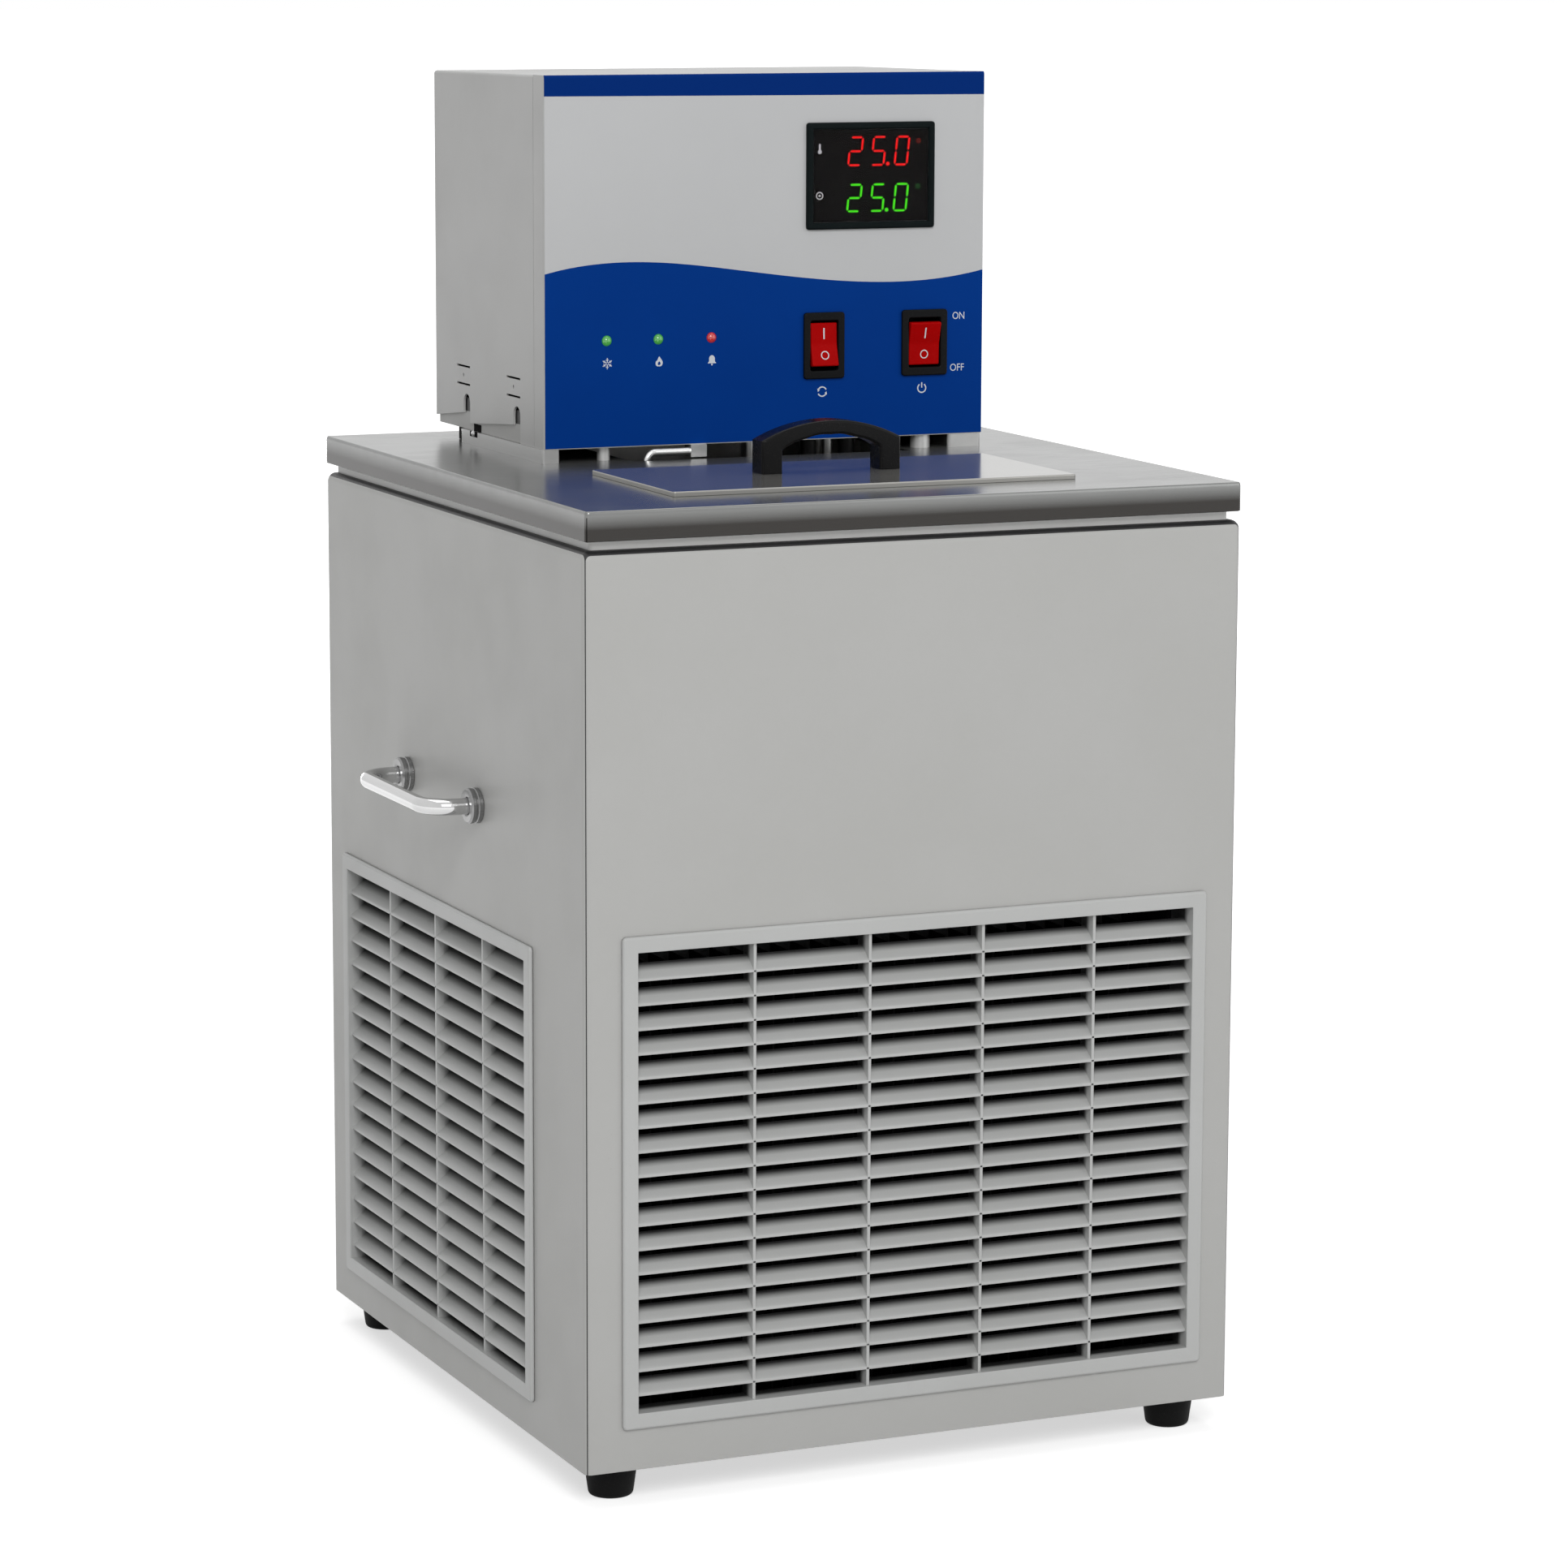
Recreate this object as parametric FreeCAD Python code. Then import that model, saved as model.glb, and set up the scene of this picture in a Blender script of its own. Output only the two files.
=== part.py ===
import FreeCAD, Part
import math
import os

# Circulating water bath: a painted cabinet with louvred grilles, a folded steel worktop over
# the bath tank, a loose lid, and a control head that stands on rails behind the lid.
# Millimetres. X to the viewer's right, Y to the back, Z up, the floor at Z = 0.

V = FreeCAD.Vector

# Cabinet
CABINET_W = 320.0
CABINET_D = 345.0
CABINET_H = 410.5
FOOT_H = 16.0
SHEET = 1.2
CABINET_CORNER_R = 3.0
CABINET_TOP_R = 4.0
CABINET_RIM = 22.0
REAR_RIM = 14.0
FIT_GAP = 0.3

# Feet
FOOT_TOP_R = 12.2
FOOT_LOW_R = 10.2
FOOT_EDGE_R = 2.0
FOOT_INSET_X = 20.0
FOOT_INSET_Y = 21.0
FOOT_RECESS_R = 5.0
FOOT_WEB = 6.0
FOOT_SCREW_R = 2.0
FOOT_SCREW_HEAD_H = 3.0
FOOT_SCREW_TAIL = 5.0
FOOT_NUT_R = 4.0
FOOT_NUT_H = 3.2
SCREW_GAP = 0.1

# Base pan
PAN_FLANGE_H = 18.0

# Neck and worktop
NECK_H = 4.1
NECK_INSET = 4.5
NECK_WIDTH = 16.0
NECK_CORNER_R = 2.0
TOP_SIDE_IN = 0.6
TOP_END_OUT = 1.2
TOP_SKIRT = 13.3
TOP_SHEET = 1.0
TOP_CORNER_R = 2.0
TOP_EDGE_R = 2.0
TOP_RETURN = 12.0

# Front grille
FRONT_GRILLE_X = 1.0
FRONT_GRILLE_W = 287.6
FRONT_GRILLE_H = 222.0
FRONT_GRILLE_Z = 34.8
FRONT_SLATS = 18
FRONT_SLAT_LOW = 14.6
FRONT_SLAT_PITCH = 11.0
FRONT_RIBS = 4
FRONT_RIB_FIRST = 63.4
FRONT_RIB_PITCH = 55.8

# Side grilles
SIDE_GRILLE_Y = 19.0
SIDE_GRILLE_L = 257.0
SIDE_GRILLE_H = 209.5
SIDE_GRILLE_Z = 32.5
SIDE_SLATS = 16
SIDE_SLAT_LOW = 13.0
SIDE_SLAT_PITCH = 11.8
SIDE_RIBS = 3
SIDE_RIB_FIRST = 65.0
SIDE_RIB_PITCH = 63.2

# Every grille
GRILLE_FRAME = 7.2
GRILLE_PROUD = 2.0
GRILLE_DEPTH = 12.0
GRILLE_WALL = 1.6
GRILLE_BEVEL = 0.8
GRILLE_CORNER_R = 2.0
SLAT_RISE = 6.2
SLAT_DEPTH = 7.5
SLAT_T = 1.4
RIB_T = 1.5

# Side handles
HANDLE_Y = 6.5
HANDLE_Z = 295.3
HANDLE_SPAN = 94.0
HANDLE_REACH = 24.0
HANDLE_BAR_R = 3.8
HANDLE_BEND_R = 13.0
COLLAR_R = 8.2
COLLAR_L = 6.0
BAR_TAIL = 4.0

# Bath tank, its insulation and the openings over it
TANK_X = 0.0
TANK_W = 192.0
TANK_BACK_GAP = 68.5
TANK_DEPTH = 164.0
TANK_WALL = 1.0
TANK_FLANGE = 9.0
FOAM_T = 15.0
FOAM_GAP = 5.0
FOAM_CORNER_R = 18.0
LID_OPENING_X = -4.0
LID_OPENING_W = 178.0
LID_OPENING_D = 80.0
HEAD_OPENING_X = 7.0
HEAD_OPENING_W = 142.0
HEAD_OPENING_LEAD = 5.5
HEAD_OPENING_D = 90.0

# Lid and its handle
LID_W = 198.0
LID_D = 98.0
LID_SET_BACK = 46.0
LID_H = 2.3
LID_SHEET = 0.8
LID_CORNER_R = 1.5
GRIP_X = -4.5
GRIP_SET_BACK = 7.0
GRIP_L = 69.0
GRIP_D = 12.5
GRIP_SHOULDER_H = 15.0
GRIP_CROWN_H = 23.5
GRIP_LEG = 10.2
GRIP_T = 6.2
GRIP_EDGE_R = 1.2
GRIP_INNER_R = 4.0
GRIP_SCREW_R = 1.9
GRIP_SCREW_L = 9.0
GRIP_SCREW_HEAD_R = 3.5
GRIP_SCREW_HEAD_H = 2.0
GRIP_INNER_RISE = 2.0

# Control head
HEAD_X = 6.0
HEAD_W = 225.0
HEAD_BACK_GAP = 12.0
HEAD_D = 147.0
HEAD_H = 172.7
HEAD_LIFT = 6.4
HEAD_TOP_FALL = 2.2
HEAD_SHEET = 1.0
HEAD_CORNER_R = 1.6
FRONT_PAN_D = 13.0
SEAM = 0.4
TRAY_UPSTAND = 14.0

# Steps, slots and lances in the head cover's side walls
STEP_1_SET_BACK = 31.5
STEP_2_SET_BACK = 99.5
STEP_LOW_H = 3.4
STEP_HIGH_H = 9.0
RELIEF_W = 9.0
RELIEF_H = 8.2
LANCE_L = 18.0
LANCE_H = 8.6
LANCE_SLIT = 1.0
LANCE_RISE = 26.0
LANCE_DOT_R = 0.9
HEAD_VENTS = 6
HEAD_VENT_PITCH = 10.0
HEAD_VENT_RISE = 60.0
HEAD_VENT_L = 80.0
HEAD_VENT_H = 3.0

# Rails and posts under the head
RAIL_SET_BACK = 110.5
LEFT_RAIL_W = 9.0
LEFT_RAIL_OUT = 0.8
RAIL_CORNER_R = 1.5
RIGHT_RAIL_W = 17.5
POST_R = 3.0
WIDE_POST_R = 4.7
LEFT_POST_X = -74.6
RIGHT_POST_X = 88.8
FRONT_POST_SET_BACK = 6.5
REAR_POST_SET_BACK = 126.5

# Printed film
FILM_T = 0.3
FILM_MARGIN = 0.4
FILM_BAND_LEFT = 9.7
FILM_BAND_RIGHT = 10.9
WAVE_X = (-1.0, 58.2, 101.6, 163.0, 226.0)
WAVE_RISE = (81.1, 85.6, 80.6, 74.1, 78.8)

# Display
DISPLAY_X = 58.6
DISPLAY_Z = 574.6
DISPLAY_W = 66.2
DISPLAY_H = 50.2
DISPLAY_PROUD = 2.2
DISPLAY_BEZEL = 4.0
DISPLAY_SLEEVE_WALL = 1.2
DISPLAY_CASE_D = 14.0
DISPLAY_CORNER_R = 1.2
WINDOW_T = 1.5
WINDOW_SET_BACK = 0.8
DIGIT_MODULE_X = 62.9
DIGIT_MODULE_W = 36.0
DIGIT_MODULE_H = 18.0
UPPER_DIGITS_Z = 585.4
LOWER_DIGITS_Z = 563.8

# Lamps
GREEN_LAMP_X = (-75.4, -49.5)
RED_LAMP_X = -22.6
LAMP_Z = 500.2
LAMP_R = 2.4
LAMP_DOME = 1.6
LAMP_BODY_L = 7.0
LAMP_FLANGE_R = 3.1

# Rocker switches
SWITCH_Z = 494.8
SWITCH_H = 31.5
SWITCH_PROUD = 1.6
SWITCH_DEPTH = 16.0
SWITCH_WALL = 1.5
SWITCH_CORNER_R = 1.5
TERMINAL_PITCH = 6.0
TERMINAL_W = 4.8
TERMINAL_T = 0.8
TERMINAL_L = 7.0
PUMP_SWITCH_X = 34.8
PUMP_SWITCH_W = 21.0
PUMP_ROCKER_W = 14.8
POWER_SWITCH_X = 87.2
POWER_SWITCH_W = 23.8
POWER_ROCKER_W = 16.8
ROCKER_H = 21.6
ROCKER_DEPTH = 6.0
ROCKER_DIP = 1.1
ROCKER_TILT = 8.0
ROCKER_PIVOT_DEPTH = 4.2
ROCKER_PROUD = 0.4
ROCKER_SIDE_GAP = 0.35
ROCKER_END_GAP = 1.0
PIN_R = 1.2
RUNNING_GAP = 0.05

# Pump
PUMP_X = 47.5
PUMP_SET_BACK = 23.5
PUMP_MOTOR_R = 20.0
PUMP_MOTOR_H = 22.0
PUMP_SHAFT_R = 2.5
PUMP_POST_R = 4.0
PUMP_POST_OFFSET = 10.0
PUMP_HOUSING_R = 22.0
PUMP_HOUSING_H = 22.0
PUMP_HOUSING_Z = 300.0
PUMP_WALL = 2.5
IMPELLER_R = 15.0
IMPELLER_H = 10.0
PUMP_INLET_R = 7.0
PUMP_PORT_R = 6.0
PUMP_SPOUT_L = 8.0
PUMP_MOTOR_EDGE_R = 2.0
MOTOR_END_WALL = 4.0
SHAFT_END_GAP = 1.0
IMPELLER_DISC_T = 2.0
IMPELLER_VANES = 6
VANE_T = 1.6

# Heater, probe and level tube
HEATER_R = 4.0
HEATER_X = (26.0, 62.0)
HEATER_SET_BACK = 68.5
HEATER_LOW_Z = 312.0
HEATER_BEND_R = 12.0
TAIL_RISE = 10.0
PROBE_R = 2.5
PROBE_X = 4.0
PROBE_SET_BACK = 16.5
PROBE_LOW_Z = 330.0
PROBE_TIP_R = 2.0
LEVEL_TUBE_R = 1.9
LEVEL_TUBE_X = -55.0
LEVEL_TUBE_SET_BACK = 0.5
LEVEL_TUBE_LOW_Z = 400.0
LEVEL_TUBE_RUN = 24.0
LEVEL_TUBE_BEND_R = 4.0
LEVEL_TUBE_DROP = 3.2
CLIP_W = 8.0
CLIP_T = 2.6

# Evaporator coil
COIL_X = -30.0
COIL_SET_BACK = 42.5
COIL_R = 28.0
COIL_TUBE_R = 4.0
COIL_PITCH = 13.0
COIL_TURNS = 4.5
COIL_Z = 312.0

# Hose nozzles and drain
NOZZLE_X = 30.0
NOZZLE_Z = 404.0
NOZZLE_R = 5.0
NOZZLE_BORE_R = 3.5
NOZZLE_OUT = 24.0
NOZZLE_FLANGE_R = 10.0
NOZZLE_FLANGE_T = 3.0
NOZZLE_NUT_R = 8.0
NOZZLE_NUT_T = 3.0
NOZZLE_TAIL = 2.0
DRAIN_X = -80.0
DRAIN_LEAD = 34.0
DRAIN_Z = 240.0
DRAIN_PIPE_R = 4.5
DRAIN_BEND_R = 10.0
VALVE_R = 9.0
VALVE_L = 20.0
VALVE_SPOUT_L = 12.0
LEVER_L = 32.0
LEVER_W = 8.0
LEVER_T = 3.0
STEM_R = 3.0
STEM_L = 6.0
STEM_NECK_WALL = 2.0
STEM_NECK_H = 2.0

# Condenser and fan
CONDENSER_SIDE_GAP = 1.0
CONDENSER_D = 26.0
CONDENSER_H = 228.0
CONDENSER_GAP = 3.0
CONDENSER_FINS = 26
FIN_T = 0.8
END_PLATE_T = 2.0
FIN_END_GAP = 5.0
CONDENSER_TUBES = 6
CONDENSER_TUBE_R = 4.0
SHROUD_D = 16.0
SHROUD_T = 1.0
FAN_R = 80.0
FAN_TIP_GAP = 4.0
FAN_HUB_R = 15.0
FAN_HUB_L = 14.0
FAN_BLADES = 5
FAN_BLADE_T = 1.6
FAN_BLADE_W = 34.0
FAN_PITCH_DEG = 22.0
FAN_BLADE_TIP_GAP = 6.0
FAN_ROOT = 3.0
FAN_SHAFT_R = 3.0
FAN_MOTOR_R = 26.0
FAN_MOTOR_L = 22.0
FAN_GAP = 4.0
STRAP_W = 14.0
STRAP_T = 1.5
STRAP_REACH = 98.0

# Compressor
COMPRESSOR_X = 62.0
COMPRESSOR_REAR_GAP = 110.5
COMPRESSOR_R = 52.0
COMPRESSOR_H = 150.0
COMPRESSOR_DOME_R = 24.0
COMPRESSOR_PLATE_W = 130.0
COMPRESSOR_PLATE_T = 3.0
COMPRESSOR_PLATE_R = 12.0
SEAM_RISE = 82.0
SEAM_PROUD = 3.0
SEAM_H = 4.0
TERMINAL_BOX_OUT = 16.0
TERMINAL_BOX_IN = 8.0
TERMINAL_BOX_W = 36.0
TERMINAL_BOX_H = 45.0
TERMINAL_BOX_RISE = 34.0
MOUNT_H = 12.0
MOUNT_R = 9.0
MOUNT_INSET = 14.0

# Refrigerant lines
LINE_R = 3.2
LINE_BEND_R = 5.5
LINE_BACK = 12.0
SUCTION_DROP = 30.0
DISCHARGE_X = 10.0
DISCHARGE_Y = -10.0
DISCHARGE_LEAD = 30.0
SUCTION_X = -10.0
SUCTION_Y = 20.0
LINE_Z = 251.0
LINE_REAR_GAP = 32.5

# Rear panel fittings
INLET_SIDE_GAP = 48.0
INLET_Z = 75.0
INLET_W = 28.0
INLET_H = 32.0
INLET_FLANGE = 4.0
INLET_D = 22.0
INLET_FLANGE_T = 2.0
INLET_WALL = 2.0
INLET_END_WALL = 4.0
SOCKET_H = 16.0
BLADE_PITCH = 6.0
BLADE_RISE = 2.0
BLADE_W = 2.0
BLADE_H = 4.0
BLADE_SET_BACK = 3.0
INLET_CORNER_R = 3.0
VENT_ROWS = 12
VENT_PITCH = 12.0
VENT_L = 70.0
VENT_H = 4.0
VENT_Z = 60.0
VENT_X = (-95.0, 20.0)
CASE_SCREW_R = 1.5
CASE_SCREW_HEAD_R = 3.2
CASE_SCREW_HEAD_H = 1.8
CASE_SCREW_L = 6.0
PANEL_CORNER_R = 3.0

# Control board
BOARD_X = -45.0
BOARD_SET_BACK = 81.5
BOARD_W = 100.0
BOARD_D = 80.0
BOARD_T = 1.6
BOARD_LIFT = 8.0
BOARD_POST_R = 3.0
BOARD_POST_INSET = 5.0
TRANSFORMER_X = 12.0
TRANSFORMER_Y = 14.0
TRANSFORMER_W = 40.0
TRANSFORMER_D = 36.0
TRANSFORMER_H = 32.0
RELAYS = 3
RELAY_X = 60.0
RELAY_Y = 44.0
RELAY_PITCH = 13.0
RELAY_W = 10.0
RELAY_D = 26.0
RELAY_H = 15.0
CAPACITOR_R = 4.0
CAPACITOR_Y = 22.0
CAPACITOR_H = 18.0

# Levels, faces and places worked out from the sizes above
Z_CABINET = FOOT_H
Z_CABINET_TOP = Z_CABINET + CABINET_H
Z_SKIRT = Z_CABINET_TOP + NECK_H
Z_TOP = Z_SKIRT + TOP_SKIRT
Z_HEAD = Z_TOP + HEAD_LIFT
Z_HEAD_TOP = Z_HEAD + HEAD_H
Z_TRAY = Z_HEAD + SHEET
Z_TANK_FLANGE = Z_TOP - TOP_SHEET - TANK_WALL
Z_TANK = Z_TANK_FLANGE - TANK_DEPTH
Z_PAN = Z_CABINET + SHEET
X_SIDE = CABINET_W / 2
Y_FRONT = -CABINET_D / 2
Y_REAR = CABINET_D / 2
Y_REAR_PANEL = Y_REAR - SHEET
X_HEAD_0 = HEAD_X - HEAD_W / 2
X_HEAD_1 = HEAD_X + HEAD_W / 2
TOP_W = CABINET_W - 2 * TOP_SIDE_IN
TOP_D = CABINET_D + 2 * TOP_END_OUT
HEAD_FRONT = Y_REAR - HEAD_BACK_GAP - HEAD_D
Y_HEAD_BACK = HEAD_FRONT + HEAD_D
Y_FILM = HEAD_FRONT - FILM_T
Y_TANK_0 = Y_FRONT + NECK_INSET + NECK_WIDTH + FOAM_GAP + FOAM_T
Y_TANK_1 = Y_REAR - TANK_BACK_GAP
LID_Y = Y_TANK_0 + LID_SET_BACK
GRIP_Y = LID_Y + GRIP_SET_BACK
HEAD_OPENING_Y0 = HEAD_FRONT - HEAD_OPENING_LEAD
STEP_1_Y = HEAD_FRONT + STEP_1_SET_BACK
STEP_2_Y = HEAD_FRONT + STEP_2_SET_BACK
RAIL_END_Y = HEAD_FRONT + RAIL_SET_BACK
FRONT_POST_Y = HEAD_FRONT + FRONT_POST_SET_BACK
REAR_POST_Y = HEAD_FRONT + REAR_POST_SET_BACK
LAMP_X = GREEN_LAMP_X + (RED_LAMP_X,)
PUMP_Y = HEAD_FRONT + PUMP_SET_BACK
HEATER_Y = HEAD_FRONT + HEATER_SET_BACK
PROBE_Y = HEAD_FRONT + PROBE_SET_BACK
LEVEL_TUBE_Y = HEAD_FRONT + LEVEL_TUBE_SET_BACK
COIL_Y = HEAD_FRONT + COIL_SET_BACK
BOARD_Y = HEAD_FRONT + BOARD_SET_BACK
DRAIN_Y = Y_TANK_1 - DRAIN_LEAD
LINE_REAR_Y = Y_REAR - LINE_REAR_GAP
COMPRESSOR_Y = Y_REAR - COMPRESSOR_REAR_GAP
INLET_X = X_SIDE - INLET_SIDE_GAP
CONDENSER_W = 2 * (X_SIDE - FOOT_INSET_X - FOOT_NUT_R - CONDENSER_SIDE_GAP)
Y_CONDENSER = Y_FRONT + GRILLE_DEPTH + CONDENSER_GAP
Y_SHROUD = Y_CONDENSER + CONDENSER_D
Y_SHROUD_PLATE = Y_SHROUD + SHROUD_D
Z_FAN = Z_PAN + CONDENSER_H / 2
Y_FAN_HUB = Y_SHROUD_PLATE - SHROUD_T - FAN_HUB_L / 2
Y_FAN_MOTOR = Y_FAN_HUB + FAN_HUB_L + FAN_GAP
Y_NOZZLE_TIP = Y_REAR + NOZZLE_FLANGE_T + NOZZLE_OUT
Y_DRAIN_TIP = Y_REAR + VALVE_L + VALVE_SPOUT_L
ORIGIN_Y = (max(Y_NOZZLE_TIP, Y_DRAIN_TIP) + min(-TOP_D / 2, Y_FRONT - GRILLE_PROUD)) / 2


def block(x0, x1, y0, y1, z0, z1):
    return Part.makeBox(x1 - x0, y1 - y0, z1 - z0, V(x0, y0, z0))


def edges_along(solid, axis):
    chosen = []
    for edge in solid.Edges:
        span = edge.valueAt(edge.LastParameter).sub(edge.valueAt(edge.FirstParameter))
        if span.Length > 0 and abs(abs(span.normalize().dot(axis)) - 1) < 1e-6:
            chosen.append(edge)
    return chosen


def soft_block(x0, x1, y0, y1, z0, z1, radius, axis):
    # A block with the four edges along one axis rounded
    solid = block(x0, x1, y0, y1, z0, z1)
    return solid.makeFillet(radius, edges_along(solid, axis))


def edges_at_height(solid, z):
    chosen = []
    for edge in solid.Edges:
        box = edge.BoundBox
        if abs(box.ZMin - z) < 1e-4 and abs(box.ZMax - z) < 1e-4:
            chosen.append(edge)
    return chosen


def rod(radius, start, end):
    return Part.makeCylinder(radius, end.sub(start).Length, start, end.sub(start))


def sleeve(outer, inner, start, end):
    return rod(outer, start, end).cut(rod(inner, start, end))


def extrude_outline(points, direction):
    wire = Part.makePolygon(points + [points[0]])
    return Part.Face(wire).extrude(direction)


def bent_wire(points, radius):
    # Straight runs joined by tangent arcs of one radius
    edges = []
    start = points[0]
    for before, corner, after in zip(points, points[1:], points[2:]):
        to_before = before.sub(corner).normalize()
        to_after = after.sub(corner).normalize()
        half_angle = math.acos(max(-1.0, min(1.0, to_before.dot(to_after)))) / 2
        reach = radius / math.tan(half_angle)
        arc_start = corner + to_before * reach
        arc_end = corner + to_after * reach
        middle_way = (to_before + to_after).normalize()
        middle = corner + middle_way * (radius / math.sin(half_angle) - radius)
        edges.append(Part.LineSegment(start, arc_start).toShape())
        edges.append(Part.Arc(arc_start, middle, arc_end).toShape())
        start = arc_end
    edges.append(Part.LineSegment(start, points[-1]).toShape())
    return Part.Wire(edges)


def bent_rod(points, bend_radius, radius):
    path = bent_wire(points, bend_radius)
    way = points[1].sub(points[0])
    ring = Part.Wire([Part.makeCircle(radius, points[0], way)])
    return path.makePipeShell([ring], True, True)


def mirrored_x(shape):
    return shape.mirror(V(0, 0, 0), V(1, 0, 0))


def joined(shapes):
    whole = shapes[0]
    if len(shapes) > 1:
        whole = whole.fuse(shapes[1:])
    return whole.removeSplitter()


def foot_places():
    x = X_SIDE - FOOT_INSET_X
    y = -Y_FRONT - FOOT_INSET_Y
    return {
        "front_left_foot": (-x, -y),
        "front_right_foot": (x, -y),
        "rear_left_foot": (-x, y),
        "rear_right_foot": (x, y),
    }


def foot(x, y):
    body = Part.makeCone(FOOT_LOW_R, FOOT_TOP_R, FOOT_H, V(x, y, 0), V(0, 0, 1))
    body = body.makeFillet(FOOT_EDGE_R, edges_at_height(body, 0))
    recess = rod(FOOT_RECESS_R, V(x, y, -1), V(x, y, FOOT_H - FOOT_WEB))
    hole = rod(FOOT_SCREW_R + SCREW_GAP, V(x, y, 0), V(x, y, FOOT_H + 1))
    return body.cut([recess, hole])


def foot_screw(x, y):
    z_head = FOOT_H - FOOT_WEB
    head = rod(FOOT_RECESS_R - 1, V(x, y, z_head - FOOT_SCREW_HEAD_H), V(x, y, z_head))
    shank = rod(FOOT_SCREW_R, V(x, y, z_head), V(x, y, Z_PAN + FOOT_SCREW_TAIL))
    nut = sleeve(FOOT_NUT_R, FOOT_SCREW_R, V(x, y, Z_PAN), V(x, y, Z_PAN + FOOT_NUT_H))
    return joined([head, shank, nut])


def foot_screws():
    return Part.makeCompound([foot_screw(x, y) for x, y in foot_places().values()])


def base_pan():
    inset = SHEET + FIT_GAP
    x = X_SIDE - inset
    y0 = Y_FRONT + inset
    y1 = Y_REAR_PANEL - inset
    outer = soft_block(-x, x, y0, y1, Z_CABINET, Z_PAN + PAN_FLANGE_H, CABINET_CORNER_R - SHEET,
                       V(0, 0, 1))
    hollow = block(-x + SHEET, x - SHEET, y0 + SHEET, y1 - SHEET, Z_PAN, Z_PAN + PAN_FLANGE_H + 1)
    holes = []
    for fx, fy in foot_places().values():
        holes.append(rod(FOOT_SCREW_R + SCREW_GAP, V(fx, fy, 0), V(fx, fy, Z_PAN + 1)))
    return outer.cut([hollow] + holes + case_screw_holes())


def case_screw_places():
    x = X_SIDE - REAR_RIM / 2
    low = Z_CABINET + REAR_RIM / 2
    high = Z_CABINET_TOP - REAR_RIM / 2
    middle = (low + high) / 2
    return [(-x, low), (x, low), (-x, middle), (x, middle), (-x, high), (x, high)]


def case_screws():
    screws = []
    for x, z in case_screw_places():
        head = rod(CASE_SCREW_HEAD_R, V(x, Y_REAR, z), V(x, Y_REAR + CASE_SCREW_HEAD_H, z))
        shank = rod(CASE_SCREW_R, V(x, Y_REAR - CASE_SCREW_L, z), V(x, Y_REAR, z))
        screws.append(joined([head, shank]))
    return Part.makeCompound(screws)


def case_screw_holes():
    radius = CASE_SCREW_R + SCREW_GAP
    y0 = Y_REAR - CASE_SCREW_L - 1
    return [rod(radius, V(x, y0, z), V(x, Y_REAR + 1, z)) for x, z in case_screw_places()]


def side_grille_cut(side):
    half = SIDE_GRILLE_L / 2 - GRILLE_FRAME + FIT_GAP
    z0 = SIDE_GRILLE_Z + GRILLE_FRAME - FIT_GAP
    z1 = SIDE_GRILLE_Z + SIDE_GRILLE_H - GRILLE_FRAME + FIT_GAP
    reach = GRILLE_DEPTH / 2
    x_low = side * X_SIDE - reach
    grow = GRILLE_WALL
    return block(x_low, x_low + 2 * reach, SIDE_GRILLE_Y - half - grow, SIDE_GRILLE_Y + half + grow,
                 z0 - grow, z1 + grow)


def front_grille_cut():
    half = FRONT_GRILLE_W / 2 - GRILLE_FRAME + FIT_GAP + GRILLE_WALL
    z0 = FRONT_GRILLE_Z + GRILLE_FRAME - FIT_GAP - GRILLE_WALL
    z1 = FRONT_GRILLE_Z + FRONT_GRILLE_H - GRILLE_FRAME + FIT_GAP + GRILLE_WALL
    return block(FRONT_GRILLE_X - half, FRONT_GRILLE_X + half, Y_FRONT - 5, Y_FRONT + 5, z0, z1)


def handle_holes():
    holes = []
    for y in (HANDLE_Y - HANDLE_SPAN / 2, HANDLE_Y + HANDLE_SPAN / 2):
        start = V(-X_SIDE - 5, y, HANDLE_Z)
        end = V(X_SIDE + 5, y, HANDLE_Z)
        holes.append(rod(HANDLE_BAR_R + RUNNING_GAP, start, end))
    return holes


def cabinet_shell():
    outer = soft_block(-X_SIDE, X_SIDE, Y_FRONT, Y_REAR_PANEL, Z_CABINET, Z_CABINET_TOP,
                       CABINET_CORNER_R, V(0, 0, 1))
    outer = outer.makeFillet(CABINET_TOP_R, edges_at_height(outer, Z_CABINET_TOP))
    inner = soft_block(-X_SIDE + SHEET, X_SIDE - SHEET, Y_FRONT + SHEET, Y_REAR_PANEL - SHEET,
                       Z_CABINET - 1, Z_CABINET_TOP - SHEET, CABINET_CORNER_R - SHEET, V(0, 0, 1))
    inner = inner.makeFillet(CABINET_TOP_R - SHEET, edges_at_height(inner, Z_CABINET_TOP - SHEET))
    top = block(-X_SIDE + CABINET_RIM, X_SIDE - CABINET_RIM, Y_FRONT + CABINET_RIM,
                Y_REAR_PANEL - CABINET_RIM, Z_CABINET_TOP - 5, Z_CABINET_TOP + 5)
    back = block(-X_SIDE + REAR_RIM, X_SIDE - REAR_RIM, Y_REAR_PANEL - 5, Y_REAR_PANEL + 5,
                 Z_CABINET + REAR_RIM, Z_CABINET_TOP - REAR_RIM)
    cuts = [inner, top, back, front_grille_cut(), side_grille_cut(-1), side_grille_cut(1)]
    return outer.cut(cuts + handle_holes() + case_screw_holes())


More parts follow.
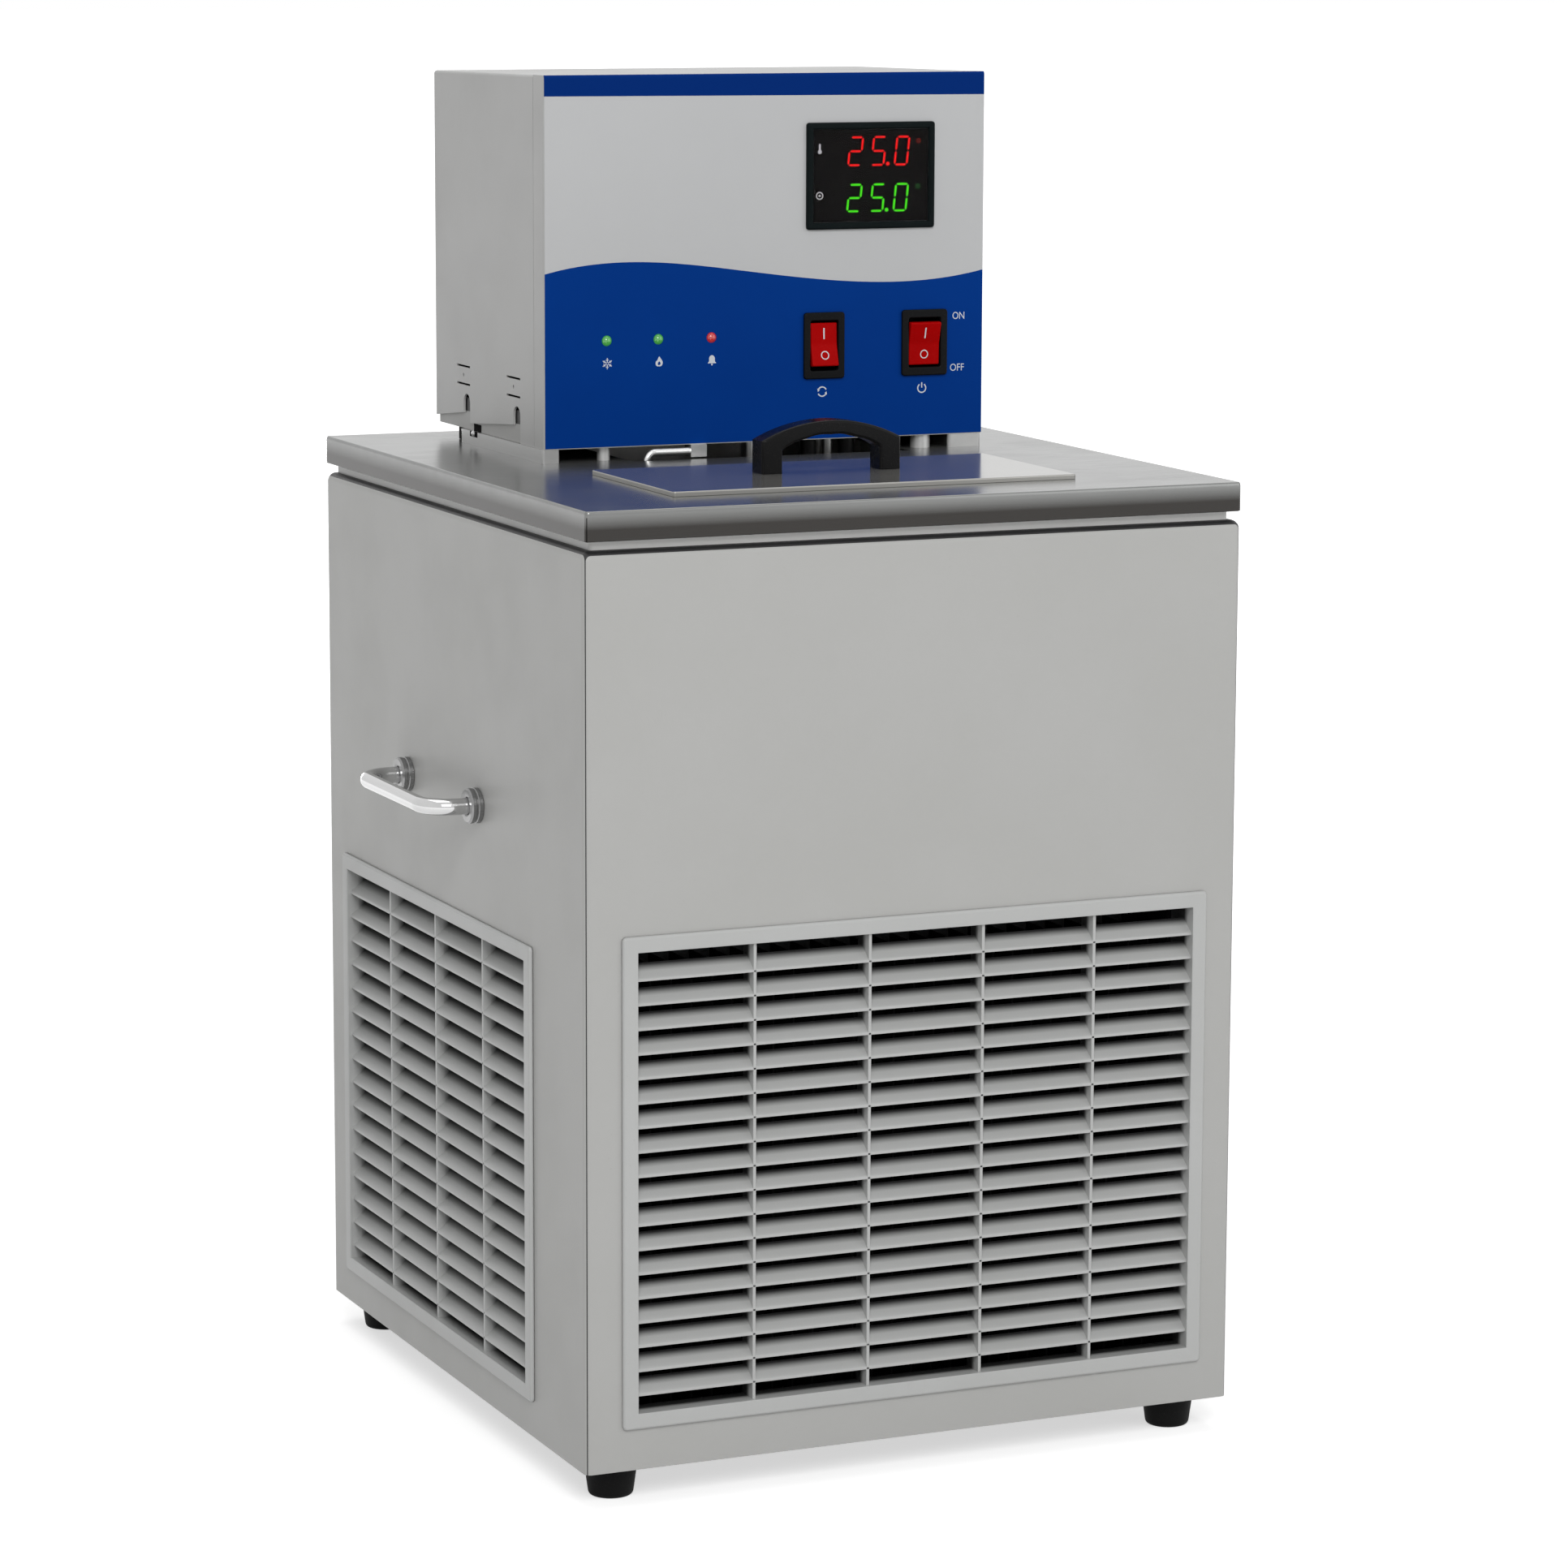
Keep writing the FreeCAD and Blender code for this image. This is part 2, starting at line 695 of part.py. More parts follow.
def rear_panel():
    margin = CABINET_TOP_R
    plate = soft_block(-X_SIDE + margin, X_SIDE - margin, Y_REAR_PANEL, Y_REAR, Z_CABINET + margin,
                       Z_CABINET_TOP - margin, PANEL_CORNER_R, V(0, 1, 0))
    cuts = case_screw_holes()
    for x in VENT_X:
        for row in range(VENT_ROWS):
            z = VENT_Z + row * VENT_PITCH
            cuts.append(block(x, x + VENT_L, Y_REAR - 5, Y_REAR + 5, z, z + VENT_H))
    for x in (-NOZZLE_X, NOZZLE_X):
        cuts.append(rod(NOZZLE_R + FIT_GAP, V(x, Y_REAR - 5, NOZZLE_Z), V(x, Y_REAR + 5, NOZZLE_Z)))
    inside = V(DRAIN_X, Y_REAR - 5, DRAIN_Z)
    cuts.append(rod(DRAIN_PIPE_R + FIT_GAP, inside, V(DRAIN_X, Y_REAR + 5, DRAIN_Z)))
    half_w = INLET_W / 2 + FIT_GAP
    half_h = INLET_H / 2 + FIT_GAP
    cuts.append(block(INLET_X - half_w, INLET_X + half_w, Y_REAR - 5, Y_REAR + 5, INLET_Z - half_h,
                      INLET_Z + half_h))
    return plate.cut(cuts)


def grille(width, height, slats, slat_low, slat_pitch, ribs, rib_first, rib_pitch):
    # Built facing -Y about its own middle, the cabinet's face at Y = 0 and the lower edge at Z = 0
    half = width / 2
    frame = soft_block(-half, half, -GRILLE_PROUD, 0, 0, height, GRILLE_CORNER_R, V(0, 1, 0))
    front_edges = [edge for edge in frame.Edges if edge.BoundBox.YMax < -GRILLE_PROUD + 1e-4]
    frame = frame.makeChamfer(GRILLE_BEVEL, front_edges)
    inner = half - GRILLE_FRAME
    low = GRILLE_FRAME
    high = height - GRILLE_FRAME
    wall = inner + GRILLE_WALL
    box = block(-wall, wall, 0, GRILLE_DEPTH, low - GRILLE_WALL, high + GRILLE_WALL)
    solid = frame.fuse(box).cut(block(-inner, inner, -GRILLE_PROUD - 1, GRILLE_DEPTH + 1, low, high))
    pieces = [solid]
    for index in range(slats):
        z = slat_low + index * slat_pitch
        section = [V(-inner, 0, z), V(-inner, SLAT_DEPTH, z + SLAT_RISE),
                   V(-inner, SLAT_DEPTH, z + SLAT_RISE + SLAT_T), V(-inner, 0, z + SLAT_T)]
        pieces.append(extrude_outline(section, V(2 * inner, 0, 0)))
    for index in range(ribs):
        x = -half + rib_first + index * rib_pitch
        pieces.append(block(x - RIB_T / 2, x + RIB_T / 2, 0, GRILLE_DEPTH, low, high))
    return joined(pieces)


def front_grille():
    shape = grille(FRONT_GRILLE_W, FRONT_GRILLE_H, FRONT_SLATS, FRONT_SLAT_LOW, FRONT_SLAT_PITCH,
                   FRONT_RIBS, FRONT_RIB_FIRST, FRONT_RIB_PITCH)
    shape.translate(V(FRONT_GRILLE_X, Y_FRONT, FRONT_GRILLE_Z))
    return shape


def left_grille():
    shape = grille(SIDE_GRILLE_L, SIDE_GRILLE_H, SIDE_SLATS, SIDE_SLAT_LOW, SIDE_SLAT_PITCH,
                   SIDE_RIBS, SIDE_RIB_FIRST, SIDE_RIB_PITCH)
    shape.rotate(V(0, 0, 0), V(0, 0, 1), -90)
    shape.translate(V(-X_SIDE, SIDE_GRILLE_Y, SIDE_GRILLE_Z))
    return shape


def left_handle_bar():
    y0 = HANDLE_Y - HANDLE_SPAN / 2
    y1 = HANDLE_Y + HANDLE_SPAN / 2
    x_in = -X_SIDE + BAR_TAIL
    x_out = -X_SIDE - HANDLE_REACH
    points = [V(x_in, y0, HANDLE_Z), V(x_out, y0, HANDLE_Z), V(x_out, y1, HANDLE_Z), V(x_in, y1, HANDLE_Z)]
    return bent_rod(points, HANDLE_BEND_R, HANDLE_BAR_R)


def handle_collars():
    collars = []
    for side in (-1, 1):
        for y in (HANDLE_Y - HANDLE_SPAN / 2, HANDLE_Y + HANDLE_SPAN / 2):
            start = V(side * X_SIDE, y, HANDLE_Z)
            end = V(side * (X_SIDE + COLLAR_L), y, HANDLE_Z)
            collars.append(sleeve(COLLAR_R, HANDLE_BAR_R + RUNNING_GAP, start, end))
    return Part.makeCompound(collars)


def neck_frame():
    x = X_SIDE - NECK_INSET
    y = CABINET_D / 2 - NECK_INSET
    outer = soft_block(-x, x, -y, y, Z_CABINET_TOP, Z_SKIRT, NECK_CORNER_R, V(0, 0, 1))
    return outer.cut(block(-x + NECK_WIDTH, x - NECK_WIDTH, -y + NECK_WIDTH, y - NECK_WIDTH,
                           Z_CABINET_TOP - 1, Z_SKIRT + 1))


def deck_plates():
    # The flat top round the two openings, as plain plates that meet edge to edge
    z0 = Z_TOP - TOP_SHEET
    x_deck = TOP_W / 2 - TOP_RETURN
    y_deck = TOP_D / 2 - TOP_RETURN
    lid_x0 = LID_OPENING_X - LID_OPENING_W / 2
    lid_x1 = LID_OPENING_X + LID_OPENING_W / 2
    lid_y0 = LID_Y - LID_OPENING_D / 2
    lid_y1 = LID_Y + LID_OPENING_D / 2
    head_x0 = HEAD_OPENING_X - HEAD_OPENING_W / 2
    head_x1 = HEAD_OPENING_X + HEAD_OPENING_W / 2
    head_y1 = HEAD_OPENING_Y0 + HEAD_OPENING_D
    return [
        block(-x_deck, x_deck, -y_deck, lid_y0, z0, Z_TOP),
        block(-x_deck, lid_x0, lid_y0, lid_y1, z0, Z_TOP),
        block(lid_x1, x_deck, lid_y0, lid_y1, z0, Z_TOP),
        block(-x_deck, x_deck, lid_y1, HEAD_OPENING_Y0, z0, Z_TOP),
        block(-x_deck, head_x0, HEAD_OPENING_Y0, head_y1, z0, Z_TOP),
        block(head_x1, x_deck, HEAD_OPENING_Y0, head_y1, z0, Z_TOP),
        block(-x_deck, x_deck, head_y1, y_deck, z0, Z_TOP),
    ]


def worktop():
    # A rim folded from sheet: rolled top edge, skirt and return, with the deck plates inside it
    x = TOP_W / 2
    y = TOP_D / 2
    outer = soft_block(-x, x, -y, y, Z_SKIRT, Z_TOP, TOP_CORNER_R, V(0, 0, 1))
    outer = outer.makeFillet(TOP_EDGE_R, edges_at_height(outer, Z_TOP))
    t = TOP_SHEET
    hollow = block(-x + t, x - t, -y + t, y - t, Z_SKIRT + t, Z_TOP - t)
    mx = x - TOP_RETURN
    my = y - TOP_RETURN
    mouth = block(-mx, mx, -my, my, Z_SKIRT - 1, Z_TOP + 1)
    return Part.makeCompound([outer.cut([hollow, mouth])] + deck_plates())


def tank_block(grow, z0, z1):
    x = TANK_W / 2 + grow
    return block(TANK_X - x, TANK_X + x, Y_TANK_0 - grow, Y_TANK_1 + grow, z0, z1)


def tank_wall_holes(gap):
    # The nozzles, the coil's two tails and the drain pass through these
    holes = []
    for x in (-NOZZLE_X, NOZZLE_X):
        holes.append(rod(NOZZLE_R + gap, V(x, Y_TANK_1 - 6, NOZZLE_Z), V(x, Y_REAR, NOZZLE_Z)))
    for x, z in coil_ends():
        holes.append(rod(COIL_TUBE_R + gap, V(x, Y_TANK_1 - 6, z), V(x, Y_REAR, z)))
    below = V(DRAIN_X, DRAIN_Y, Z_TANK - FOAM_T - 5)
    holes.append(rod(DRAIN_PIPE_R + gap, below, V(DRAIN_X, DRAIN_Y, Z_TANK + 5)))
    return holes


def tank_strips(out, back, z0, z1):
    # Four plates round the tank's opening; they reach out past its walls and back inside them
    x_out = TANK_W / 2 + out
    x_in = TANK_W / 2 - back
    y0 = Y_TANK_0 - out
    y1 = Y_TANK_1 + out
    return [
        block(TANK_X - x_out, TANK_X - x_in, y0, y1, z0, z1),
        block(TANK_X + x_in, TANK_X + x_out, y0, y1, z0, z1),
        block(TANK_X - x_in, TANK_X + x_in, y0, Y_TANK_0 + back, z0, z1),
        block(TANK_X - x_in, TANK_X + x_in, Y_TANK_1 - back, y1, z0, z1),
    ]


def bath_tank():
    # Welded from flat plates: a floor, four walls that stand on it, and a flange of four strips
    floor = tank_block(0, Z_TANK, Z_TANK + TANK_WALL)
    walls = tank_strips(0, TANK_WALL, Z_TANK + TANK_WALL, Z_TANK_FLANGE)
    flange = tank_strips(TANK_FLANGE, TANK_WALL, Z_TANK_FLANGE, Z_TANK_FLANGE + TANK_WALL)
    holes = tank_wall_holes(RUNNING_GAP)
    floor = floor.cut(holes)
    walls[-1] = walls[-1].cut(holes)
    return Part.makeCompound([floor] + walls + flange)


def tank_insulation():
    x = TANK_W / 2 + FOAM_T
    outer = soft_block(TANK_X - x, TANK_X + x, Y_TANK_0 - FOAM_T, Y_TANK_1 + FOAM_T,
                       Z_TANK - FOAM_T, Z_TANK_FLANGE, FOAM_CORNER_R, V(0, 0, 1))
    inner = tank_block(0, Z_TANK, Z_TANK_FLANGE + 1)
    return outer.cut([inner] + tank_wall_holes(FIT_GAP))


def lid():
    x0 = LID_OPENING_X - LID_W / 2
    x1 = LID_OPENING_X + LID_W / 2
    y0 = LID_Y - LID_D / 2
    y1 = LID_Y + LID_D / 2
    t = LID_SHEET
    outer = soft_block(x0, x1, y0, y1, Z_TOP, Z_TOP + LID_H, LID_CORNER_R, V(0, 0, 1))
    hollow = block(x0 + t, x1 - t, y0 + t, y1 - t, Z_TOP - 1, Z_TOP + LID_H - t)
    holes = []
    for x in grip_screw_x():
        holes.append(rod(GRIP_SCREW_R + SCREW_GAP, V(x, GRIP_Y, Z_TOP - 1), V(x, GRIP_Y, Z_TOP + LID_H + 1)))
    return outer.cut([hollow] + holes)


def grip_screw_x():
    offset = (GRIP_L - GRIP_LEG) / 2
    return (GRIP_X - offset, GRIP_X + offset)


def lid_handle():
    half = GRIP_L / 2
    inner = half - GRIP_LEG
    z0 = Z_TOP + LID_H
    y0 = GRIP_Y - GRIP_D / 2
    shoulder = z0 + GRIP_SHOULDER_H
    crown = z0 + GRIP_CROWN_H
    outer_arc = Part.Arc(V(GRIP_X - half, y0, shoulder), V(GRIP_X, y0, crown), V(GRIP_X + half, y0, shoulder))
    outer_edges = [
        Part.LineSegment(V(GRIP_X - half, y0, z0), V(GRIP_X - half, y0, shoulder)).toShape(),
        outer_arc.toShape(),
        Part.LineSegment(V(GRIP_X + half, y0, shoulder), V(GRIP_X + half, y0, z0)).toShape(),
        Part.LineSegment(V(GRIP_X + half, y0, z0), V(GRIP_X - half, y0, z0)).toShape(),
    ]
    outer = Part.Face(Part.Wire(outer_edges)).extrude(V(0, GRIP_D, 0))
    low = shoulder - GRIP_T + GRIP_INNER_RISE
    high = crown - GRIP_T
    crown_point = V(GRIP_X, y0 - 1, high)
    inner_arc = Part.Arc(V(GRIP_X - inner, y0 - 1, low), crown_point, V(GRIP_X + inner, y0 - 1, low))
    inner_edges = [
        Part.LineSegment(V(GRIP_X - inner, y0 - 1, z0 - 1), V(GRIP_X - inner, y0 - 1, low)).toShape(),
        inner_arc.toShape(),
        Part.LineSegment(V(GRIP_X + inner, y0 - 1, low), V(GRIP_X + inner, y0 - 1, z0 - 1)).toShape(),
        Part.LineSegment(V(GRIP_X + inner, y0 - 1, z0 - 1), V(GRIP_X - inner, y0 - 1, z0 - 1)).toShape(),
    ]
    hollow = Part.Face(Part.Wire(inner_edges)).extrude(V(0, GRIP_D + 2, 0))
    corners = [e for e in edges_along(hollow, V(0, 1, 0)) if e.BoundBox.ZMin > z0 + 1]
    hollow = hollow.makeFillet(GRIP_INNER_R, corners)
    body = outer.cut(hollow)
    rims = [e for e in body.Edges if e.BoundBox.YLength < 1e-4 and e.BoundBox.ZMax > z0 + 1]
    body = body.makeFillet(GRIP_EDGE_R, rims)
    holes = []
    for x in grip_screw_x():
        holes.append(rod(GRIP_SCREW_R, V(x, GRIP_Y, z0 - 1), V(x, GRIP_Y, z0 + GRIP_SCREW_L)))
    return body.cut(holes)


def lid_handle_screws():
    screws = []
    z_plate = Z_TOP + LID_H - LID_SHEET
    z_end = Z_TOP + LID_H + GRIP_SCREW_L
    for x in grip_screw_x():
        head = rod(GRIP_SCREW_HEAD_R, V(x, GRIP_Y, z_plate - GRIP_SCREW_HEAD_H), V(x, GRIP_Y, z_plate))
        shank = rod(GRIP_SCREW_R, V(x, GRIP_Y, z_plate), V(x, GRIP_Y, z_end))
        screws.append(joined([head, shank]))
    return Part.makeCompound(screws)


def head_profile(y0, y1, inset):
    # The head's side view between two depths, its roof falling gently to the back
    z_front = Z_HEAD_TOP - HEAD_TOP_FALL * (y0 - HEAD_FRONT) / HEAD_D - inset
    z_back = Z_HEAD_TOP - HEAD_TOP_FALL * (y1 - HEAD_FRONT) / HEAD_D - inset
    x = X_HEAD_0 + inset
    outline = [V(x, y0, Z_HEAD), V(x, y1, Z_HEAD), V(x, y1, z_back), V(x, y0, z_front)]
    return extrude_outline(outline, V(HEAD_W - 2 * inset, 0, 0))


def panel_cutouts(y0, y1):
    cuts = []
    half_w = DISPLAY_W / 2 - DISPLAY_BEZEL + FIT_GAP
    half_h = DISPLAY_H / 2 - DISPLAY_BEZEL + FIT_GAP
    cuts.append(block(DISPLAY_X - half_w, DISPLAY_X + half_w, y0, y1, DISPLAY_Z - half_h, DISPLAY_Z + half_h))
    for x, rocker_w in ((PUMP_SWITCH_X, PUMP_ROCKER_W), (POWER_SWITCH_X, POWER_ROCKER_W)):
        half_w = rocker_w / 2 + ROCKER_SIDE_GAP + SWITCH_WALL + FIT_GAP
        half_h = ROCKER_H / 2 + ROCKER_END_GAP + SWITCH_WALL + FIT_GAP
        cuts.append(block(x - half_w, x + half_w, y0, y1, SWITCH_Z - half_h, SWITCH_Z + half_h))
    for x in LAMP_X:
        cuts.append(rod(LAMP_R + SCREW_GAP, V(x, y0, LAMP_Z), V(x, y1, LAMP_Z)))
    return cuts


def head_front_panel():
    y1 = HEAD_FRONT + FRONT_PAN_D
    outer = head_profile(HEAD_FRONT, y1, 0)
    corners = [e for e in outer.Edges if e.BoundBox.YLength < 1e-4 and e.BoundBox.YMax < HEAD_FRONT + 1e-4
               and e.BoundBox.ZMax > Z_HEAD + 1]
    outer = outer.makeFillet(HEAD_CORNER_R, corners)
    hollow = head_profile(HEAD_FRONT + HEAD_SHEET, y1 + 1, HEAD_SHEET)
    hollow = hollow.fuse(block(X_HEAD_0 + HEAD_SHEET, X_HEAD_1 - HEAD_SHEET, HEAD_FRONT + HEAD_SHEET, y1 + 1,
                               Z_HEAD - 1, Z_HEAD + 1))
    return outer.cut([hollow] + panel_cutouts(HEAD_FRONT - 2, HEAD_FRONT + 3))


def side_wall_cuts():
    # The stepped lower edge, the relief slots and the lanced marks, cut through both side walls
    cuts = []
    x0 = X_HEAD_0 - 1
    span = V(HEAD_W + 2, 0, 0)
    for y0, y1 in ((STEP_1_Y, STEP_2_Y), (STEP_2_Y, Y_HEAD_BACK + 1)):
        outline = [V(x0, y0, Z_HEAD - 1), V(x0, y1, Z_HEAD - 1), V(x0, y1, Z_HEAD + STEP_LOW_H),
                   V(x0, y0, Z_HEAD + STEP_HIGH_H)]
        cuts.append(extrude_outline(outline, span))
    for y in (STEP_1_Y, STEP_2_Y):
        slot = soft_block(x0, x0 + HEAD_W + 2, y, y + RELIEF_W, Z_HEAD, Z_HEAD + STEP_HIGH_H + RELIEF_H,
                          RELIEF_W / 2 - 0.1, V(1, 0, 0))
        cuts.append(slot)
        z = Z_HEAD + LANCE_RISE
        for edge in (-LANCE_H / 2, LANCE_H / 2):
            z_slit = z + edge - LANCE_SLIT / 2
            cuts.append(block(x0, x0 + HEAD_W + 2, y, y + LANCE_L, z_slit, z_slit + LANCE_SLIT))
        cuts.append(rod(LANCE_DOT_R, V(x0, y + LANCE_L / 2, z), V(x0, y + LANCE_L / 2, z) + span))
    return cuts


def head_cover():
    y0 = HEAD_FRONT + FRONT_PAN_D + SEAM
    outer = head_profile(y0, Y_HEAD_BACK, 0)
    top_edges = [e for e in outer.Edges if e.BoundBox.ZMin > Z_HEAD + 1 and e.BoundBox.YLength > 1]
    outer = outer.makeFillet(HEAD_CORNER_R, top_edges)
    hollow = head_profile(y0 - 1, Y_HEAD_BACK - HEAD_SHEET, HEAD_SHEET)
    hollow = hollow.fuse(block(X_HEAD_0 + HEAD_SHEET, X_HEAD_1 - HEAD_SHEET, y0 - 1, Y_HEAD_BACK - HEAD_SHEET,
                               Z_HEAD - 1, Z_HEAD + 1))
    vents = []
    half = HEAD_VENT_L / 2
    for row in range(HEAD_VENTS):
        z = Z_HEAD + HEAD_VENT_RISE + row * HEAD_VENT_PITCH
        vents.append(block(HEAD_X - half, HEAD_X + half, Y_HEAD_BACK - 5, Y_HEAD_BACK + 5, z,
                           z + HEAD_VENT_H))
    return outer.cut([hollow] + side_wall_cuts() + vents)


def head_base():
    inset = HEAD_SHEET + FIT_GAP
    x0 = X_HEAD_0 + inset
    x1 = X_HEAD_1 - inset
    y0 = HEAD_FRONT + inset
    y1 = Y_HEAD_BACK - inset
    outer = block(x0, x1, y0, y1, Z_HEAD, Z_TRAY + TRAY_UPSTAND)
    t = SHEET
    hollow = block(x0 + t, x1 - t, y0 + t, y1 - t, Z_TRAY, Z_TRAY + TRAY_UPSTAND + 1)
    holes = [rod(PUMP_PORT_R, V(PUMP_X, PUMP_Y, Z_HEAD - 1), V(PUMP_X, PUMP_Y, Z_TRAY + 1))]
    for x in HEATER_X:
        holes.append(rod(HEATER_R + RUNNING_GAP, V(x, HEATER_Y, Z_HEAD - 1), V(x, HEATER_Y, Z_TRAY + 1)))
    holes.append(rod(PROBE_R + RUNNING_GAP, V(PROBE_X, PROBE_Y, Z_HEAD - 1), V(PROBE_X, PROBE_Y, Z_TRAY + 1)))
    return outer.cut([hollow] + holes)


def left_head_rail():
    x0 = X_HEAD_0 - LEFT_RAIL_OUT
    x1 = x0 + LEFT_RAIL_W
    return soft_block(x0, x1, HEAD_FRONT + 1, RAIL_END_Y, Z_TOP, Z_HEAD, RAIL_CORNER_R, V(0, 0, 1))


def right_head_rail():
    x0 = X_HEAD_1 - RIGHT_RAIL_W
    return soft_block(x0, X_HEAD_1, HEAD_FRONT + 1, RAIL_END_Y, Z_TOP, Z_HEAD, RAIL_CORNER_R, V(0, 0, 1))


def head_posts():
    posts = []
    for y in (FRONT_POST_Y, REAR_POST_Y):
        posts.append(rod(POST_R, V(LEFT_POST_X, y, Z_TOP), V(LEFT_POST_X, y, Z_HEAD)))
        posts.append(rod(WIDE_POST_R, V(RIGHT_POST_X, y, Z_TOP), V(RIGHT_POST_X, y, Z_HEAD)))
    return Part.makeCompound(posts)


def panel_film():
    film = block(X_HEAD_0 + FILM_MARGIN, X_HEAD_1 - FILM_MARGIN, Y_FILM, HEAD_FRONT, Z_HEAD + FILM_MARGIN,
                 Z_HEAD_TOP - HEAD_CORNER_R)
    return film.cut(panel_cutouts(Y_FILM - 1, HEAD_FRONT + 1))


def blue_band():
    # The top of the film, down to a straight edge that falls a little to the right
    x0 = X_HEAD_0 - 1
    x1 = X_HEAD_1 + 1
    y = Y_FILM - 1
    outline = [V(x0, y, Z_HEAD_TOP - FILM_BAND_LEFT), V(x1, y, Z_HEAD_TOP - FILM_BAND_RIGHT),
               V(x1, y, Z_HEAD_TOP + 1), V(x0, y, Z_HEAD_TOP + 1)]
    return extrude_outline(outline, V(0, FILM_T + 2, 0))


def blue_field():
    # Everything below one slow wave across the panel
    y = Y_FILM - 1
    crest = [V(X_HEAD_0 + x, y, Z_HEAD + rise) for x, rise in zip(WAVE_X, WAVE_RISE)]
    wave = Part.BSplineCurve()
    wave.interpolate(crest)
    low_left = V(crest[0].x, y, Z_HEAD - 1)
    low_right = V(crest[-1].x, y, Z_HEAD - 1)
    edges = [wave.toShape(), Part.makeLine(crest[-1], low_right), Part.makeLine(low_right, low_left),
             Part.makeLine(low_left, crest[0])]
    return Part.Face(Part.Wire(edges)).extrude(V(0, FILM_T + 2, 0))


def panel_overlay():
    return panel_film().cut([blue_band(), blue_field()])


def panel_blue_print():
    film = panel_film()
    return Part.makeCompound([film.common(blue_band()), film.common(blue_field())])


def display_case():
    half_w = DISPLAY_W / 2
    half_h = DISPLAY_H / 2
    flange = soft_block(DISPLAY_X - half_w, DISPLAY_X + half_w, Y_FILM - DISPLAY_PROUD, Y_FILM,
                        DISPLAY_Z - half_h, DISPLAY_Z + half_h, DISPLAY_CORNER_R, V(0, 1, 0))
    sleeve_w = half_w - DISPLAY_BEZEL
    sleeve_h = half_h - DISPLAY_BEZEL
    body = block(DISPLAY_X - sleeve_w, DISPLAY_X + sleeve_w, Y_FILM, Y_FILM + DISPLAY_CASE_D,
                 DISPLAY_Z - sleeve_h, DISPLAY_Z + sleeve_h)
    inner_w = sleeve_w - DISPLAY_SLEEVE_WALL
    inner_h = sleeve_h - DISPLAY_SLEEVE_WALL
    hollow = block(DISPLAY_X - inner_w, DISPLAY_X + inner_w, Y_FILM - DISPLAY_PROUD - 1,
                   Y_FILM + DISPLAY_CASE_D - DISPLAY_SLEEVE_WALL, DISPLAY_Z - inner_h, DISPLAY_Z + inner_h)
    return flange.fuse(body).cut(hollow).removeSplitter()


def display_window():
    half_w = DISPLAY_W / 2 - DISPLAY_BEZEL - DISPLAY_SLEEVE_WALL - RUNNING_GAP
    half_h = DISPLAY_H / 2 - DISPLAY_BEZEL - DISPLAY_SLEEVE_WALL - RUNNING_GAP
    y0 = Y_FILM - DISPLAY_PROUD + WINDOW_SET_BACK
    return block(DISPLAY_X - half_w, DISPLAY_X + half_w, y0, y0 + WINDOW_T, DISPLAY_Z - half_h,
                 DISPLAY_Z + half_h)


def digit_module(z):
    y0 = Y_FILM - DISPLAY_PROUD + WINDOW_SET_BACK + WINDOW_T
    y1 = Y_FILM + DISPLAY_CASE_D - DISPLAY_SLEEVE_WALL
    return block(DIGIT_MODULE_X - DIGIT_MODULE_W / 2, DIGIT_MODULE_X + DIGIT_MODULE_W / 2, y0, y1,
                 z - DIGIT_MODULE_H / 2, z + DIGIT_MODULE_H / 2)


def lamp(x):
    y_face = Y_FILM
    barrel = rod(LAMP_R, V(x, y_face, LAMP_Z), V(x, HEAD_FRONT + HEAD_SHEET, LAMP_Z))
    dome_r = (LAMP_R ** 2 + LAMP_DOME ** 2) / (2 * LAMP_DOME)
    ball = Part.makeSphere(dome_r, V(x, y_face - LAMP_DOME + dome_r, LAMP_Z))
    reach = 2 * dome_r
    dome = ball.common(block(x - reach, x + reach, y_face - reach, y_face, LAMP_Z - reach, LAMP_Z + reach))
    y_back = HEAD_FRONT + HEAD_SHEET
    flange = rod(LAMP_FLANGE_R, V(x, y_back, LAMP_Z), V(x, y_back + LAMP_BODY_L, LAMP_Z))
    return joined([barrel, dome, flange])


def switch_case(x, width, rocker_w):
    opening_w = rocker_w / 2 + ROCKER_SIDE_GAP
    opening_h = ROCKER_H / 2 + ROCKER_END_GAP
    body_w = opening_w + SWITCH_WALL
    body_h = opening_h + SWITCH_WALL
    z = SWITCH_Z
    flange = soft_block(x - width / 2, x + width / 2, Y_FILM - SWITCH_PROUD, Y_FILM, z - SWITCH_H / 2,
                        z + SWITCH_H / 2, SWITCH_CORNER_R, V(0, 1, 0))
    body = block(x - body_w, x + body_w, Y_FILM, Y_FILM + SWITCH_DEPTH, z - body_h, z + body_h)
    y_wall = Y_FILM + SWITCH_DEPTH - SWITCH_WALL
    y_open = Y_FILM - SWITCH_PROUD - 1
    hollow = block(x - opening_w, x + opening_w, y_open, y_wall, z - opening_h, z + opening_h)
    y_pivot = Y_FILM - SWITCH_PROUD + ROCKER_PIVOT_DEPTH
    bore = rod(PIN_R + RUNNING_GAP, V(x - body_w - 1, y_pivot, z), V(x + body_w + 1, y_pivot, z))
    pieces = [flange.fuse(body).cut([hollow, bore])]
    y_back = Y_FILM + SWITCH_DEPTH
    for offset in (-TERMINAL_PITCH, 0.0, TERMINAL_PITCH):
        pieces.append(block(x - TERMINAL_W / 2, x + TERMINAL_W / 2, y_back, y_back + TERMINAL_L,
                            z + offset - TERMINAL_T / 2, z + offset + TERMINAL_T / 2))
    return joined(pieces)


